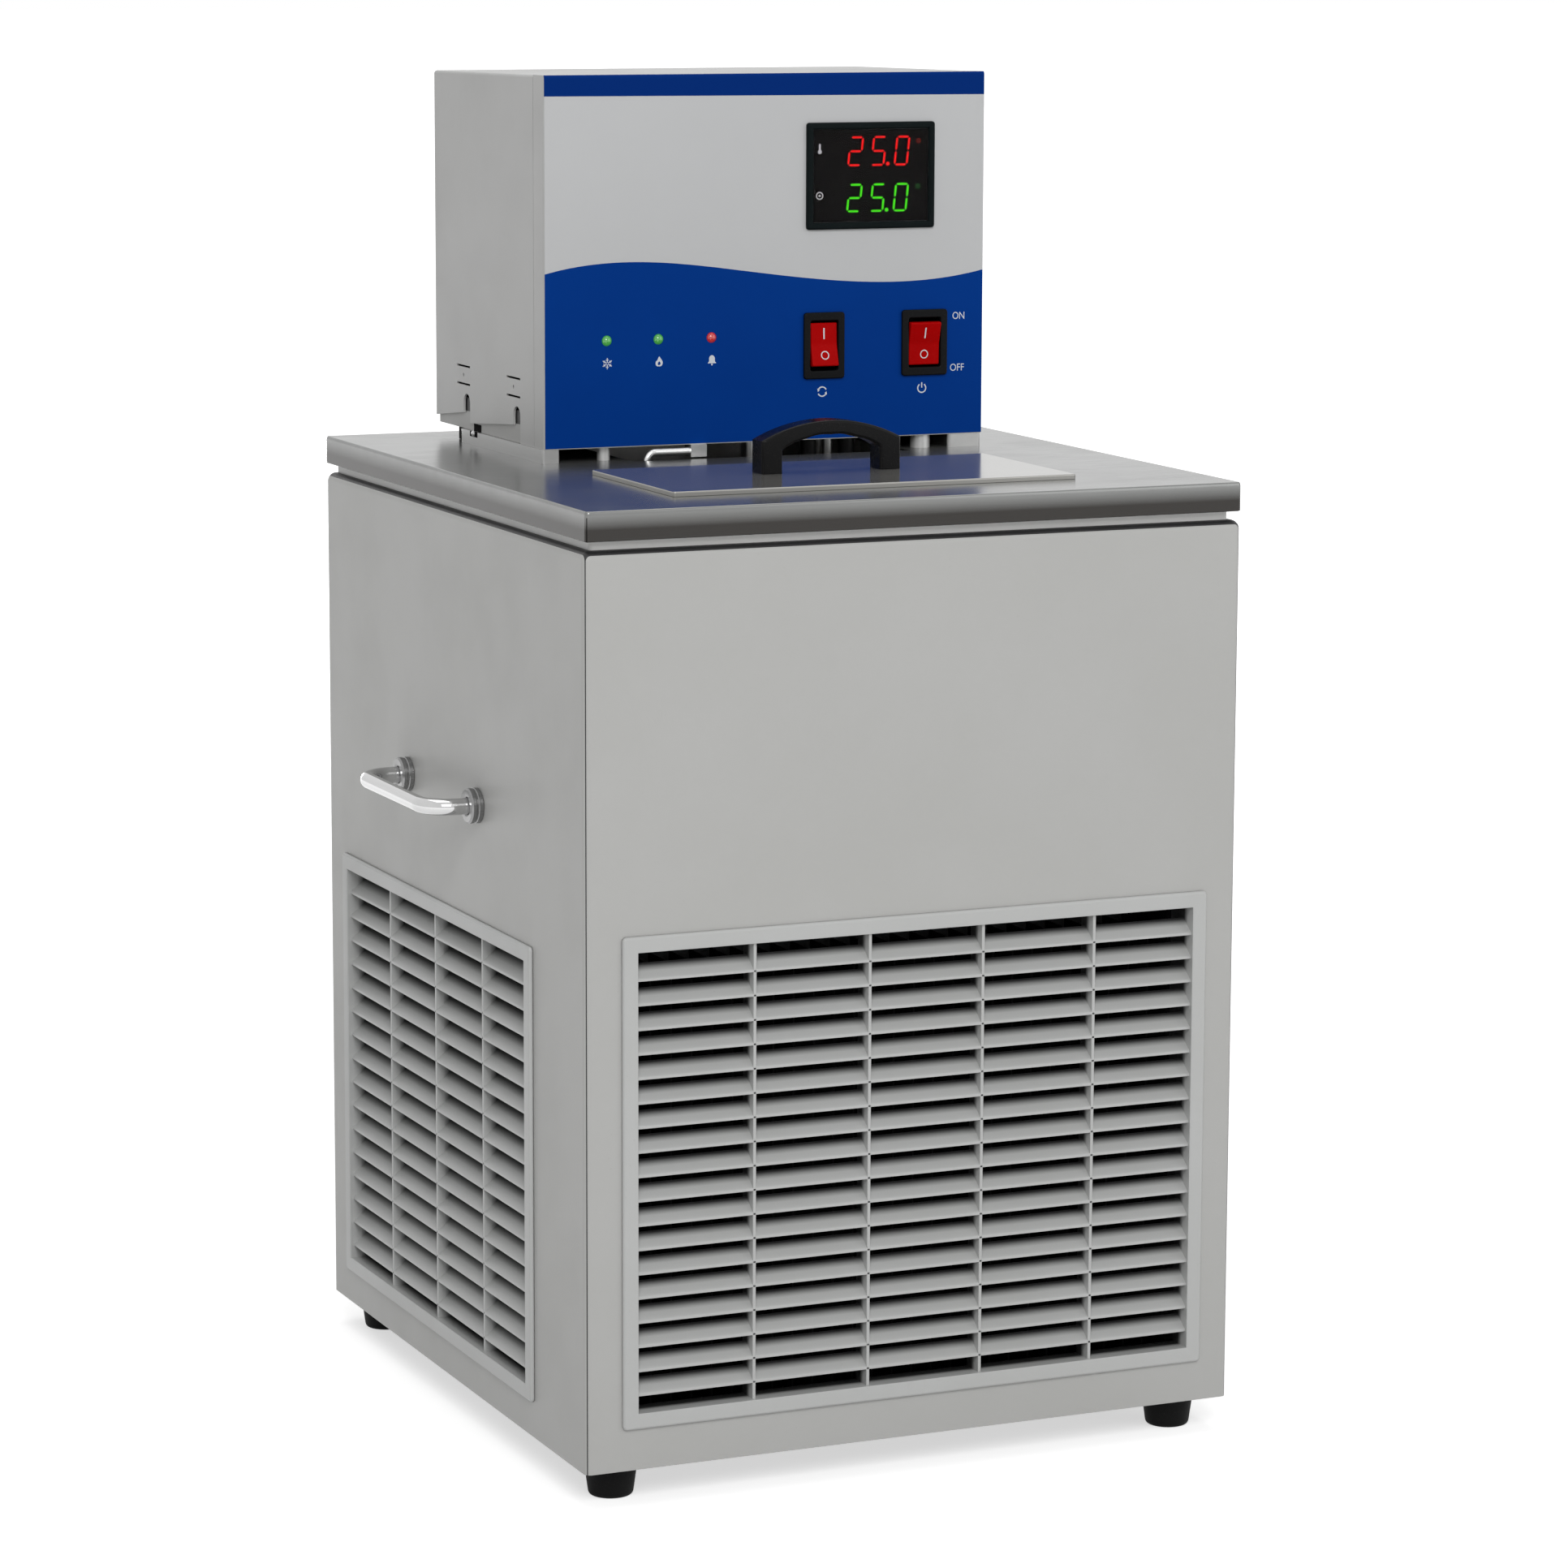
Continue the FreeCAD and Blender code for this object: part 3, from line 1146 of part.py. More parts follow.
def rocker(x, rocker_w, tilt):
    # A V-faced rocker on two stub pins, tilted about its pins to its rest position
    half = ROCKER_H / 2
    y_face = Y_FILM - SWITCH_PROUD - ROCKER_PROUD
    y_pivot = Y_FILM - SWITCH_PROUD + ROCKER_PIVOT_DEPTH
    y_back = y_face + ROCKER_DEPTH
    x0 = x - rocker_w / 2
    z = SWITCH_Z
    outline = [V(x0, y_face, z - half), V(x0, y_face + ROCKER_DIP, z), V(x0, y_face, z + half),
               V(x0, y_face + ROCKER_DEPTH / 2, z + half), V(x0, y_back, z + half / 2),
               V(x0, y_back, z - half / 2), V(x0, y_face + ROCKER_DEPTH / 2, z - half)]
    body = extrude_outline(outline, V(rocker_w, 0, 0))
    reach = rocker_w / 2 + ROCKER_SIDE_GAP + SWITCH_WALL
    pin = rod(PIN_R, V(x - reach, y_pivot, z), V(x + reach, y_pivot, z))
    whole = joined([body, pin])
    whole.rotate(V(x, y_pivot, z), V(1, 0, 0), tilt)
    return whole


def pump_motor():
    body = rod(PUMP_MOTOR_R, V(PUMP_X, PUMP_Y, Z_TRAY), V(PUMP_X, PUMP_Y, Z_TRAY + PUMP_MOTOR_H))
    body = body.makeFillet(PUMP_MOTOR_EDGE_R, edges_at_height(body, Z_TRAY + PUMP_MOTOR_H))
    z_end = Z_TRAY + PUMP_MOTOR_H - MOTOR_END_WALL
    bore = rod(PUMP_SHAFT_R + RUNNING_GAP, V(PUMP_X, PUMP_Y, Z_TRAY - 1), V(PUMP_X, PUMP_Y, z_end))
    return body.cut(bore)


def pump_shaft():
    z_low = PUMP_HOUSING_Z + PUMP_WALL + SHAFT_END_GAP
    z_high = Z_TRAY + PUMP_MOTOR_H - MOTOR_END_WALL - SHAFT_END_GAP
    z_disc = z_low + IMPELLER_H - IMPELLER_DISC_T
    shaft = rod(PUMP_SHAFT_R, V(PUMP_X, PUMP_Y, z_low), V(PUMP_X, PUMP_Y, z_high))
    disc = rod(IMPELLER_R, V(PUMP_X, PUMP_Y, z_disc), V(PUMP_X, PUMP_Y, z_low + IMPELLER_H))
    pieces = [shaft, disc]
    for index in range(IMPELLER_VANES):
        vane = block(1, IMPELLER_R - 1, -VANE_T / 2, VANE_T / 2, z_low, z_disc)
        vane.translate(V(PUMP_X, PUMP_Y, 0))
        vane.rotate(V(PUMP_X, PUMP_Y, 0), V(0, 0, 1), index * 360 / IMPELLER_VANES)
        pieces.append(vane)
    return joined(pieces)


def pump_housing():
    z0 = PUMP_HOUSING_Z
    z1 = z0 + PUMP_HOUSING_H
    cup = rod(PUMP_HOUSING_R, V(PUMP_X, PUMP_Y, z0), V(PUMP_X, PUMP_Y, z1))
    inner_r = PUMP_HOUSING_R - PUMP_WALL
    hollow = rod(inner_r, V(PUMP_X, PUMP_Y, z0 + PUMP_WALL), V(PUMP_X, PUMP_Y, z1 - PUMP_WALL))
    inlet = rod(PUMP_INLET_R, V(PUMP_X, PUMP_Y, z0 - 1), V(PUMP_X, PUMP_Y, z0 + PUMP_WALL + 1))
    bush = rod(PUMP_SHAFT_R + RUNNING_GAP, V(PUMP_X, PUMP_Y, z1 - PUMP_WALL - 1), V(PUMP_X, PUMP_Y, z1 + 1))
    z_mid = (z0 + z1) / 2
    x_out = PUMP_X - PUMP_HOUSING_R - PUMP_SPOUT_L
    spout = rod(NOZZLE_R, V(x_out, PUMP_Y, z_mid), V(PUMP_X - PUMP_HOUSING_R + 2, PUMP_Y, z_mid))
    way = rod(NOZZLE_BORE_R, V(x_out - 1, PUMP_Y, z_mid), V(PUMP_X - PUMP_HOUSING_R + 5, PUMP_Y, z_mid))
    return cup.fuse(spout).cut([hollow, inlet, bush, way])


def pump_posts():
    posts = []
    for x in (PUMP_X - PUMP_POST_OFFSET, PUMP_X + PUMP_POST_OFFSET):
        posts.append(rod(PUMP_POST_R, V(x, PUMP_Y, PUMP_HOUSING_Z + PUMP_HOUSING_H), V(x, PUMP_Y, Z_HEAD)))
    return Part.makeCompound(posts)


def heater():
    z_high = Z_TRAY + TAIL_RISE
    points = [V(HEATER_X[0], HEATER_Y, z_high), V(HEATER_X[0], HEATER_Y, HEATER_LOW_Z),
              V(HEATER_X[1], HEATER_Y, HEATER_LOW_Z), V(HEATER_X[1], HEATER_Y, z_high)]
    return bent_rod(points, HEATER_BEND_R, HEATER_R)


def temperature_probe():
    stem = rod(PROBE_R, V(PROBE_X, PROBE_Y, PROBE_LOW_Z), V(PROBE_X, PROBE_Y, Z_TRAY + TAIL_RISE))
    return stem.makeFillet(PROBE_TIP_R, edges_at_height(stem, PROBE_LOW_Z))


def level_tube():
    # A thin bent tube that rises from the bath and turns under the head into a clip
    z_run = Z_HEAD - LEVEL_TUBE_DROP
    points = [V(LEVEL_TUBE_X, LEVEL_TUBE_Y, LEVEL_TUBE_LOW_Z), V(LEVEL_TUBE_X, LEVEL_TUBE_Y, z_run),
              V(LEVEL_TUBE_X + LEVEL_TUBE_RUN, LEVEL_TUBE_Y, z_run)]
    bent = bent_rod(points, LEVEL_TUBE_BEND_R, LEVEL_TUBE_R)
    x_clip = LEVEL_TUBE_X + LEVEL_TUBE_RUN
    y = LEVEL_TUBE_Y
    clip = block(x_clip - CLIP_T, x_clip - CLIP_T + CLIP_W, y - CLIP_T + FIT_GAP, y - CLIP_T + CLIP_W,
                 z_run - CLIP_T, Z_HEAD)
    return joined([bent, clip])


def coil_ends():
    z_top = COIL_Z + COIL_PITCH * COIL_TURNS
    return [(COIL_X - COIL_R, COIL_Z), (COIL_X + COIL_R, z_top)]


def evaporator_coil():
    height = COIL_PITCH * COIL_TURNS
    helix = Part.makeHelix(COIL_PITCH, height, COIL_R)
    climb = COIL_PITCH / (2 * math.pi * COIL_R)
    ring = Part.Wire([Part.makeCircle(COIL_TUBE_R, V(COIL_R, 0, 0), V(0, 1, climb))])
    coil = Part.Wire(helix.Edges).makePipeShell([ring], True, True)
    coil.rotate(V(0, 0, 0), V(0, 0, 1), 180)
    coil.translate(V(COIL_X, COIL_Y, COIL_Z))
    pieces = [coil]
    for x, z in coil_ends():
        pieces.append(Part.makeSphere(COIL_TUBE_R, V(x, COIL_Y, z)))
        pieces.append(rod(COIL_TUBE_R, V(x, COIL_Y, z), V(x, LINE_REAR_Y, z)))
    return joined(pieces)


def hose_nozzles():
    nozzles = []
    for x in (-NOZZLE_X, NOZZLE_X):
        z = NOZZLE_Z
        y_wet = Y_TANK_1 - TANK_WALL - NOZZLE_NUT_T
        tube = rod(NOZZLE_R, V(x, y_wet - NOZZLE_TAIL, z), V(x, Y_NOZZLE_TIP, z))
        flange = rod(NOZZLE_FLANGE_R, V(x, Y_REAR, z), V(x, Y_REAR + NOZZLE_FLANGE_T, z))
        nut = rod(NOZZLE_NUT_R, V(x, y_wet, z), V(x, Y_TANK_1 - TANK_WALL, z))
        bore = rod(NOZZLE_BORE_R, V(x, y_wet - NOZZLE_TAIL - 1, z), V(x, Y_NOZZLE_TIP + 1, z))
        nozzles.append(tube.fuse([flange, nut]).cut(bore))
    return Part.makeCompound(nozzles)


def drain_valve_body():
    x = DRAIN_X
    points = [V(x, DRAIN_Y, Z_TANK + TANK_WALL), V(x, DRAIN_Y, DRAIN_Z), V(x, Y_REAR, DRAIN_Z)]
    pipe = bent_rod(points, DRAIN_BEND_R, DRAIN_PIPE_R)
    valve = rod(VALVE_R, V(x, Y_REAR, DRAIN_Z), V(x, Y_REAR + VALVE_L, DRAIN_Z))
    spout = rod(NOZZLE_R, V(x, Y_REAR + VALVE_L, DRAIN_Z), V(x, Y_DRAIN_TIP, DRAIN_Z))
    spout_bore = rod(NOZZLE_BORE_R, V(x, Y_REAR + VALVE_L, DRAIN_Z), V(x, Y_DRAIN_TIP + 1, DRAIN_Z))
    y = Y_REAR + VALVE_L / 2
    z_neck = DRAIN_Z + VALVE_R + STEM_NECK_H
    neck = rod(STEM_R + STEM_NECK_WALL, V(x, y, DRAIN_Z), V(x, y, z_neck))
    well = rod(STEM_R + RUNNING_GAP, V(x, y, z_neck - STEM_L), V(x, y, z_neck + 1))
    return pipe.fuse([valve, spout, neck]).cut([spout_bore, well]).removeSplitter()


def drain_valve_lever():
    x = DRAIN_X
    y = Y_REAR + VALVE_L / 2
    z = DRAIN_Z + VALVE_R + STEM_NECK_H
    stem = rod(STEM_R, V(x, y, z - STEM_L + FIT_GAP), V(x, y, z + FIT_GAP))
    low = z + FIT_GAP
    arm = soft_block(x - LEVER_W / 2, x + LEVER_L, y - LEVER_W / 2, y + LEVER_W / 2, low, low + LEVER_T,
                     LEVER_W / 2 - 0.2, V(0, 0, 1))
    return joined([stem, arm])


def condenser():
    half = CONDENSER_W / 2
    y0 = Y_CONDENSER
    y1 = y0 + CONDENSER_D
    z0 = Z_PAN
    z1 = z0 + CONDENSER_H
    pieces = [block(-half, -half + END_PLATE_T, y0, y1, z0, z1)]
    pieces.append(block(half - END_PLATE_T, half, y0, y1, z0, z1))
    pitch = (CONDENSER_W - 2 * END_PLATE_T) / (CONDENSER_FINS + 1)
    for index in range(CONDENSER_FINS):
        x = -half + END_PLATE_T + (index + 1) * pitch
        pieces.append(block(x - FIN_T / 2, x + FIN_T / 2, y0, y1, z0 + FIN_END_GAP, z1 - FIN_END_GAP))
    step = CONDENSER_H / CONDENSER_TUBES
    for index in range(CONDENSER_TUBES):
        z = z0 + (index + 0.5) * step
        y = (y0 + y1) / 2
        pieces.append(rod(CONDENSER_TUBE_R, V(-half, y, z), V(half, y, z)))
    return joined(pieces)


def fan_shroud():
    half = CONDENSER_W / 2
    z0 = Z_PAN
    z1 = z0 + CONDENSER_H
    t = SHROUD_T
    box = block(-half, half, Y_SHROUD, Y_SHROUD_PLATE, z0, z1)
    hollow = block(-half + t, half - t, Y_SHROUD - 1, Y_SHROUD_PLATE - t, z0 + t, z1 - t)
    mouth = rod(FAN_R + FAN_TIP_GAP, V(0, Y_SHROUD, Z_FAN), V(0, Y_SHROUD_PLATE + 1, Z_FAN))
    y_strap = Y_FAN_MOTOR + FAN_MOTOR_L
    y_end = y_strap + STRAP_T
    pieces = [box.cut([hollow, mouth])]
    z_strap = Z_FAN - STRAP_W / 2
    for side in (-1, 1):
        x_low = min(side * STRAP_REACH, side * (STRAP_REACH + STRAP_T))
        pieces.append(block(x_low, x_low + STRAP_T, Y_SHROUD_PLATE, y_end, z_strap, z_strap + STRAP_W))
    pieces.append(block(-STRAP_REACH, STRAP_REACH, y_strap, y_end, z_strap, z_strap + STRAP_W))
    return joined(pieces)


def fan_motor():
    body = rod(FAN_MOTOR_R, V(0, Y_FAN_MOTOR, Z_FAN), V(0, Y_FAN_MOTOR + FAN_MOTOR_L, Z_FAN))
    y_end = Y_FAN_MOTOR + FAN_MOTOR_L - MOTOR_END_WALL
    bore = rod(FAN_SHAFT_R + RUNNING_GAP, V(0, Y_FAN_MOTOR - 1, Z_FAN), V(0, y_end, Z_FAN))
    return body.cut(bore)


def fan_blades():
    y0 = Y_FAN_HUB
    y1 = y0 + FAN_HUB_L
    hub = rod(FAN_HUB_R, V(0, y0, Z_FAN), V(0, y1, Z_FAN))
    y_end = Y_FAN_MOTOR + FAN_MOTOR_L - MOTOR_END_WALL - SHAFT_END_GAP
    shaft = rod(FAN_SHAFT_R, V(0, y1, Z_FAN), V(0, y_end, Z_FAN))
    pieces = [hub, shaft]
    y_mid = (y0 + y1) / 2
    for index in range(FAN_BLADES):
        blade = block(-FAN_BLADE_W / 2, FAN_BLADE_W / 2, y_mid - FAN_BLADE_T / 2, y_mid + FAN_BLADE_T / 2,
                      Z_FAN + FAN_HUB_R - FAN_ROOT, Z_FAN + FAN_R - FAN_BLADE_TIP_GAP)
        blade.rotate(V(0, y_mid, Z_FAN), V(0, 0, 1), FAN_PITCH_DEG)
        blade.rotate(V(0, y_mid, Z_FAN), V(0, 1, 0), index * 360 / FAN_BLADES)
        pieces.append(blade)
    return joined(pieces)


def mount_places():
    offset = COMPRESSOR_PLATE_W / 2 - MOUNT_INSET
    places = []
    for x in (COMPRESSOR_X - offset, COMPRESSOR_X + offset):
        for y in (COMPRESSOR_Y - offset, COMPRESSOR_Y + offset):
            places.append((x, y))
    return places


def compressor_mounts():
    mounts = [rod(MOUNT_R, V(x, y, Z_PAN), V(x, y, Z_PAN + MOUNT_H)) for x, y in mount_places()]
    return Part.makeCompound(mounts)


def compressor():
    z0 = Z_PAN + MOUNT_H
    half = COMPRESSOR_PLATE_W / 2
    x = COMPRESSOR_X
    y = COMPRESSOR_Y
    plate = soft_block(x - half, x + half, y - half, y + half, z0, z0 + COMPRESSOR_PLATE_T,
                       COMPRESSOR_PLATE_R, V(0, 0, 1))
    can = rod(COMPRESSOR_R, V(x, y, z0), V(x, y, z0 + COMPRESSOR_H))
    can = can.makeFillet(COMPRESSOR_DOME_R, edges_at_height(can, z0 + COMPRESSOR_H))
    z_seam = z0 + SEAM_RISE
    seam = rod(COMPRESSOR_R + SEAM_PROUD, V(x, y, z_seam), V(x, y, z_seam + SEAM_H))
    z_box = z0 + TERMINAL_BOX_RISE
    half_box = TERMINAL_BOX_W / 2
    cover = block(x - COMPRESSOR_R - TERMINAL_BOX_OUT, x - COMPRESSOR_R + TERMINAL_BOX_IN, y - half_box,
                  y + half_box, z_box, z_box + TERMINAL_BOX_H)
    return joined([plate, can, seam, cover])


def discharge_line():
    # From the compressor's top, forward over the condenser and down into its right end
    x = COMPRESSOR_X + DISCHARGE_X
    y = COMPRESSOR_Y + DISCHARGE_Y
    x_end = CONDENSER_W / 2 - END_PLATE_T / 2
    y_end = Y_CONDENSER + CONDENSER_D / 2
    points = [V(x, y, Z_PAN + MOUNT_H + COMPRESSOR_H), V(x, y, LINE_Z), V(x_end, y - DISCHARGE_LEAD, LINE_Z),
              V(x_end, y_end, LINE_Z), V(x_end, y_end, Z_PAN + CONDENSER_H)]
    return bent_rod(points, LINE_BEND_R, LINE_R)


def liquid_line():
    # From the condenser's left end, back under the foam and up to the coil's lower tail
    x_start = -CONDENSER_W / 2 + END_PLATE_T / 2
    y_start = Y_CONDENSER + CONDENSER_D / 2
    x, z = coil_ends()[0]
    y = LINE_REAR_Y + LINE_BACK
    points = [V(x_start, y_start, Z_PAN + CONDENSER_H), V(x_start, y_start, LINE_Z), V(x_start, y, LINE_Z),
              V(x, y, LINE_Z), V(x, y, z), V(x, LINE_REAR_Y, z)]
    return bent_rod(points, LINE_BEND_R, LINE_R)


def suction_line():
    # From the coil's upper tail down behind the foam and forward into the compressor's top
    x, z = coil_ends()[1]
    y = LINE_REAR_Y + LINE_BACK
    z_low = LINE_Z - SUCTION_DROP
    x_end = COMPRESSOR_X + SUCTION_X
    y_end = COMPRESSOR_Y + SUCTION_Y
    points = [V(x, LINE_REAR_Y, z), V(x, y, z), V(x, y, z_low), V(x, y_end, z_low), V(x_end, y_end, z_low),
              V(x_end, y_end, Z_PAN + MOUNT_H + COMPRESSOR_H)]
    return bent_rod(points, LINE_BEND_R, LINE_R)


def refrigerant_lines():
    return Part.makeCompound([discharge_line(), liquid_line(), suction_line()])


def power_inlet():
    half_w = INLET_W / 2
    half_h = INLET_H / 2
    x0 = INLET_X - half_w
    x1 = INLET_X + half_w
    z0 = INLET_Z - half_h
    z1 = INLET_Z + half_h
    rim = INLET_FLANGE
    y1 = Y_REAR + INLET_FLANGE_T
    flange = soft_block(x0 - rim, x1 + rim, Y_REAR, y1, z0 - rim, z1 + rim, INLET_CORNER_R, V(0, 1, 0))
    body = block(x0, x1, Y_REAR - INLET_D, Y_REAR, z0, z1)
    y_floor = Y_REAR - INLET_D + INLET_END_WALL
    socket = block(x0 + INLET_WALL, x1 - INLET_WALL, y_floor, y1 + 1, INLET_Z - SOCKET_H / 2,
                   INLET_Z + SOCKET_H / 2)
    pieces = [flange.fuse(body).cut(socket)]
    for step, rise in ((-1, -BLADE_RISE), (0, BLADE_RISE), (1, -BLADE_RISE)):
        x = INLET_X + step * BLADE_PITCH - BLADE_W / 2
        z = INLET_Z + rise - BLADE_H / 2
        pieces.append(block(x, x + BLADE_W, y_floor - 1, Y_REAR - BLADE_SET_BACK, z, z + BLADE_H))
    return joined(pieces)


def control_board():
    z0 = Z_TRAY + BOARD_LIFT
    x0 = BOARD_X - BOARD_W / 2
    y0 = BOARD_Y - BOARD_D / 2
    pieces = [block(x0, x0 + BOARD_W, y0, y0 + BOARD_D, z0, z0 + BOARD_T)]
    inset = BOARD_POST_INSET
    for x in (x0 + inset, x0 + BOARD_W - inset):
        for y in (y0 + inset, y0 + BOARD_D - inset):
            pieces.append(rod(BOARD_POST_R, V(x, y, Z_TRAY), V(x, y, z0)))
    top = z0 + BOARD_T
    x = x0 + TRANSFORMER_X
    y = y0 + TRANSFORMER_Y
    pieces.append(block(x, x + TRANSFORMER_W, y, y + TRANSFORMER_D, top, top + TRANSFORMER_H))
    for index in range(RELAYS):
        x = x0 + RELAY_X + index * RELAY_PITCH
        y = y0 + RELAY_Y
        pieces.append(block(x, x + RELAY_W, y, y + RELAY_D, top, top + RELAY_H))
        start = V(x + RELAY_W / 2, y0 + CAPACITOR_Y, top)
        pieces.append(rod(CAPACITOR_R, start, start + V(0, 0, CAPACITOR_H)))
    return joined(pieces)


def parts():
    nodes = {
        "cabinet_shell": cabinet_shell(),
        "base_pan": base_pan(),
        "rear_panel": rear_panel(),
        "case_screws": case_screws(),
        "front_grille": front_grille(),
        "left_grille": left_grille(),
        "right_grille": mirrored_x(left_grille()),
        "foot_screws": foot_screws(),
        "left_handle_bar": left_handle_bar(),
        "right_handle_bar": mirrored_x(left_handle_bar()),
        "handle_collars": handle_collars(),
        "neck_frame": neck_frame(),
        "worktop": worktop(),
        "bath_tank": bath_tank(),
        "tank_insulation": tank_insulation(),
        "lid": lid(),
        "lid_handle": lid_handle(),
        "lid_handle_screws": lid_handle_screws(),
        "left_head_rail": left_head_rail(),
        "right_head_rail": right_head_rail(),
        "head_posts": head_posts(),
        "head_base": head_base(),
        "head_cover": head_cover(),
        "head_front_panel": head_front_panel(),
        "panel_overlay": panel_overlay(),
        "panel_blue_print": panel_blue_print(),
        "green_lamps": Part.makeCompound([lamp(x) for x in GREEN_LAMP_X]),
        "red_lamp": lamp(RED_LAMP_X),
        "display_case": display_case(),
        "display_window": display_window(),
        "upper_digits": digit_module(UPPER_DIGITS_Z),
        "lower_digits": digit_module(LOWER_DIGITS_Z),
        "pump_switch_case": switch_case(PUMP_SWITCH_X, PUMP_SWITCH_W, PUMP_ROCKER_W),
        "pump_switch_rocker": rocker(PUMP_SWITCH_X, PUMP_ROCKER_W, -ROCKER_TILT),
        "power_switch_case": switch_case(POWER_SWITCH_X, POWER_SWITCH_W, POWER_ROCKER_W),
        "power_switch_rocker": rocker(POWER_SWITCH_X, POWER_ROCKER_W, ROCKER_TILT),
        "pump_motor": pump_motor(),
        "pump_shaft": pump_shaft(),
        "pump_posts": pump_posts(),
        "pump_housing": pump_housing(),
        "heater": heater(),
        "temperature_probe": temperature_probe(),
        "level_tube": level_tube(),
        "evaporator_coil": evaporator_coil(),
        "hose_nozzles": hose_nozzles(),
        "drain_valve_body": drain_valve_body(),
        "drain_valve_lever": drain_valve_lever(),
        "condenser": condenser(),
        "fan_shroud": fan_shroud(),
        "fan_motor": fan_motor(),
        "fan_blades": fan_blades(),
        "compressor": compressor(),
        "compressor_mounts": compressor_mounts(),
        "refrigerant_lines": refrigerant_lines(),
        "power_inlet": power_inlet(),
        "control_board": control_board(),
    }
    for name, (x, y) in foot_places().items():
        nodes[name] = foot(x, y)
    return nodes


def main():
    os.makedirs("parts", exist_ok=True)
    for name, shape in parts().items():
        shape.translate(V(0, -ORIGIN_Y, 0))
        state = "valid" if shape.isValid() else "INVALID"
        print(name, shape.ShapeType, len(shape.Solids), state, round(shape.Volume))
        shape.exportStep("parts/" + name + ".step")


main()
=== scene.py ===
# %% [markdown]
# # A refrigerated circulating bath
# The real thing is a louvred sheet metal cabinet with a cold tank in it. A folded steel worktop
# closes the tank, a loose lid covers its opening, and a control head stands on rails behind the
# lid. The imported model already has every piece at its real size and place. This lesson keeps
# that frame as it is and gives each piece its finish, and where folded metal needs softer edges
# than the model has, it builds that piece again to the same size.

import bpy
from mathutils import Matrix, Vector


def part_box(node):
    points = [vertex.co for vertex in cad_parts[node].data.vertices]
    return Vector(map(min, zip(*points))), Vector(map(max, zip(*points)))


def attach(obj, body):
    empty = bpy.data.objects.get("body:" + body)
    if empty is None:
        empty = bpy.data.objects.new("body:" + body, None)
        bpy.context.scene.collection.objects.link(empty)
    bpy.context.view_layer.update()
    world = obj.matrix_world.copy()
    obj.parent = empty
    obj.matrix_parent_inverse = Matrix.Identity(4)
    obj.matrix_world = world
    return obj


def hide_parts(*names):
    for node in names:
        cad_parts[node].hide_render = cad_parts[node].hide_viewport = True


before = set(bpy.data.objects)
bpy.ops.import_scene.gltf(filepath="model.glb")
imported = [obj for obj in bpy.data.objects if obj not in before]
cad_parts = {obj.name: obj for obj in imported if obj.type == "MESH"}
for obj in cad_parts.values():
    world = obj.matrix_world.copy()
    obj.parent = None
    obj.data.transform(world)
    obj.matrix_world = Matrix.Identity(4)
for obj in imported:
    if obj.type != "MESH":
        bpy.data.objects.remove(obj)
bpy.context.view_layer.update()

# %% Modules and units
import math

import bmesh
import bpy
from mathutils import Matrix, Vector
from mathutils.geometry import tessellate_polygon

MM = 0.001
BATH = "bath"
SHARP_DEG = 38
scene = bpy.context.scene

# %% [markdown]
# ## Shapes from flat outlines
# Most pieces of the bath are sheet metal or moulded frames: a flat outline with a thickness and
# a softened edge. A flat curve can hold an outline with its holes, and its bevel rounds every
# rim at once, holes too. So one helper draws outlines, and one turns them into a plate that
# faces a chosen side. Each helper puts the place into the mesh, so the object stays at the origin.

# %% Outlines
def in_mm(points):
    return [(u * MM, v * MM) for u, v in points]


def arc_points(u, v, radius, start_deg, end_deg, steps):
    """Points along an arc, from one angle to another."""
    points = []
    for index in range(steps + 1):
        angle = math.radians(start_deg + (end_deg - start_deg) * index / steps)
        points.append((u + radius * math.cos(angle), v + radius * math.sin(angle)))
    return points


def rectangle(u0, u1, v0, v1, radius=0.0, steps=6):
    """A rectangle drawn anticlockwise from its lower left corner, its corners rounded."""
    if radius <= 0:
        return [(u0, v0), (u1, v0), (u1, v1), (u0, v1)]
    points = arc_points(u0 + radius, v0 + radius, radius, 180, 270, steps)
    points += arc_points(u1 - radius, v0 + radius, radius, 270, 360, steps)
    points += arc_points(u1 - radius, v1 - radius, radius, 0, 90, steps)
    points += arc_points(u0 + radius, v1 - radius, radius, 90, 180, steps)
    return points


def circle(u, v, radius, steps):
    return arc_points(u, v, radius, 0, 360, steps)[:-1]


# %% The way a plate faces
SIDES = {
    "front": (Vector((1, 0, 0)), Vector((0, 0, 1)), Vector((0, -1, 0))),
    "back": (Vector((-1, 0, 0)), Vector((0, 0, 1)), Vector((0, 1, 0))),
    "left": (Vector((0, -1, 0)), Vector((0, 0, 1)), Vector((-1, 0, 0))),
    "right": (Vector((0, 1, 0)), Vector((0, 0, 1)), Vector((1, 0, 0))),
}


def facing(side, origin=(0, 0, 0)):
    """The matrix that takes (u, v, out of the face) to the frame's own X, Y and Z."""
    u, v, out = SIDES[side]
    turn = Matrix((u, v, out)).transposed().to_4x4()
    return Matrix.Translation(origin) @ turn


# %% Pieces and their shading
def new_piece(name, mesh):
    piece = bpy.data.objects.new(name, mesh)
    scene.collection.objects.link(piece)
    return piece


def even_shading(piece):
    """Smooth shading across a softened edge that leaves the big faces flat."""
    piece.data.shade_smooth()
    piece.data.set_sharp_from_angle(angle=math.radians(SHARP_DEG))
    modifier = piece.modifiers.new("even shading", "WEIGHTED_NORMAL")
    modifier.keep_sharp = True
    modifier.weight = 90
    return piece


def finished(name, work, place=Matrix()):
    """The built shape as a piece at its place, every face turned outward."""
    bmesh.ops.recalc_face_normals(work, faces=work.faces)
    mesh = bpy.data.meshes.new(name)
    work.to_mesh(mesh)
    work.free()
    mesh.transform(place)
    return even_shading(new_piece(name, mesh))


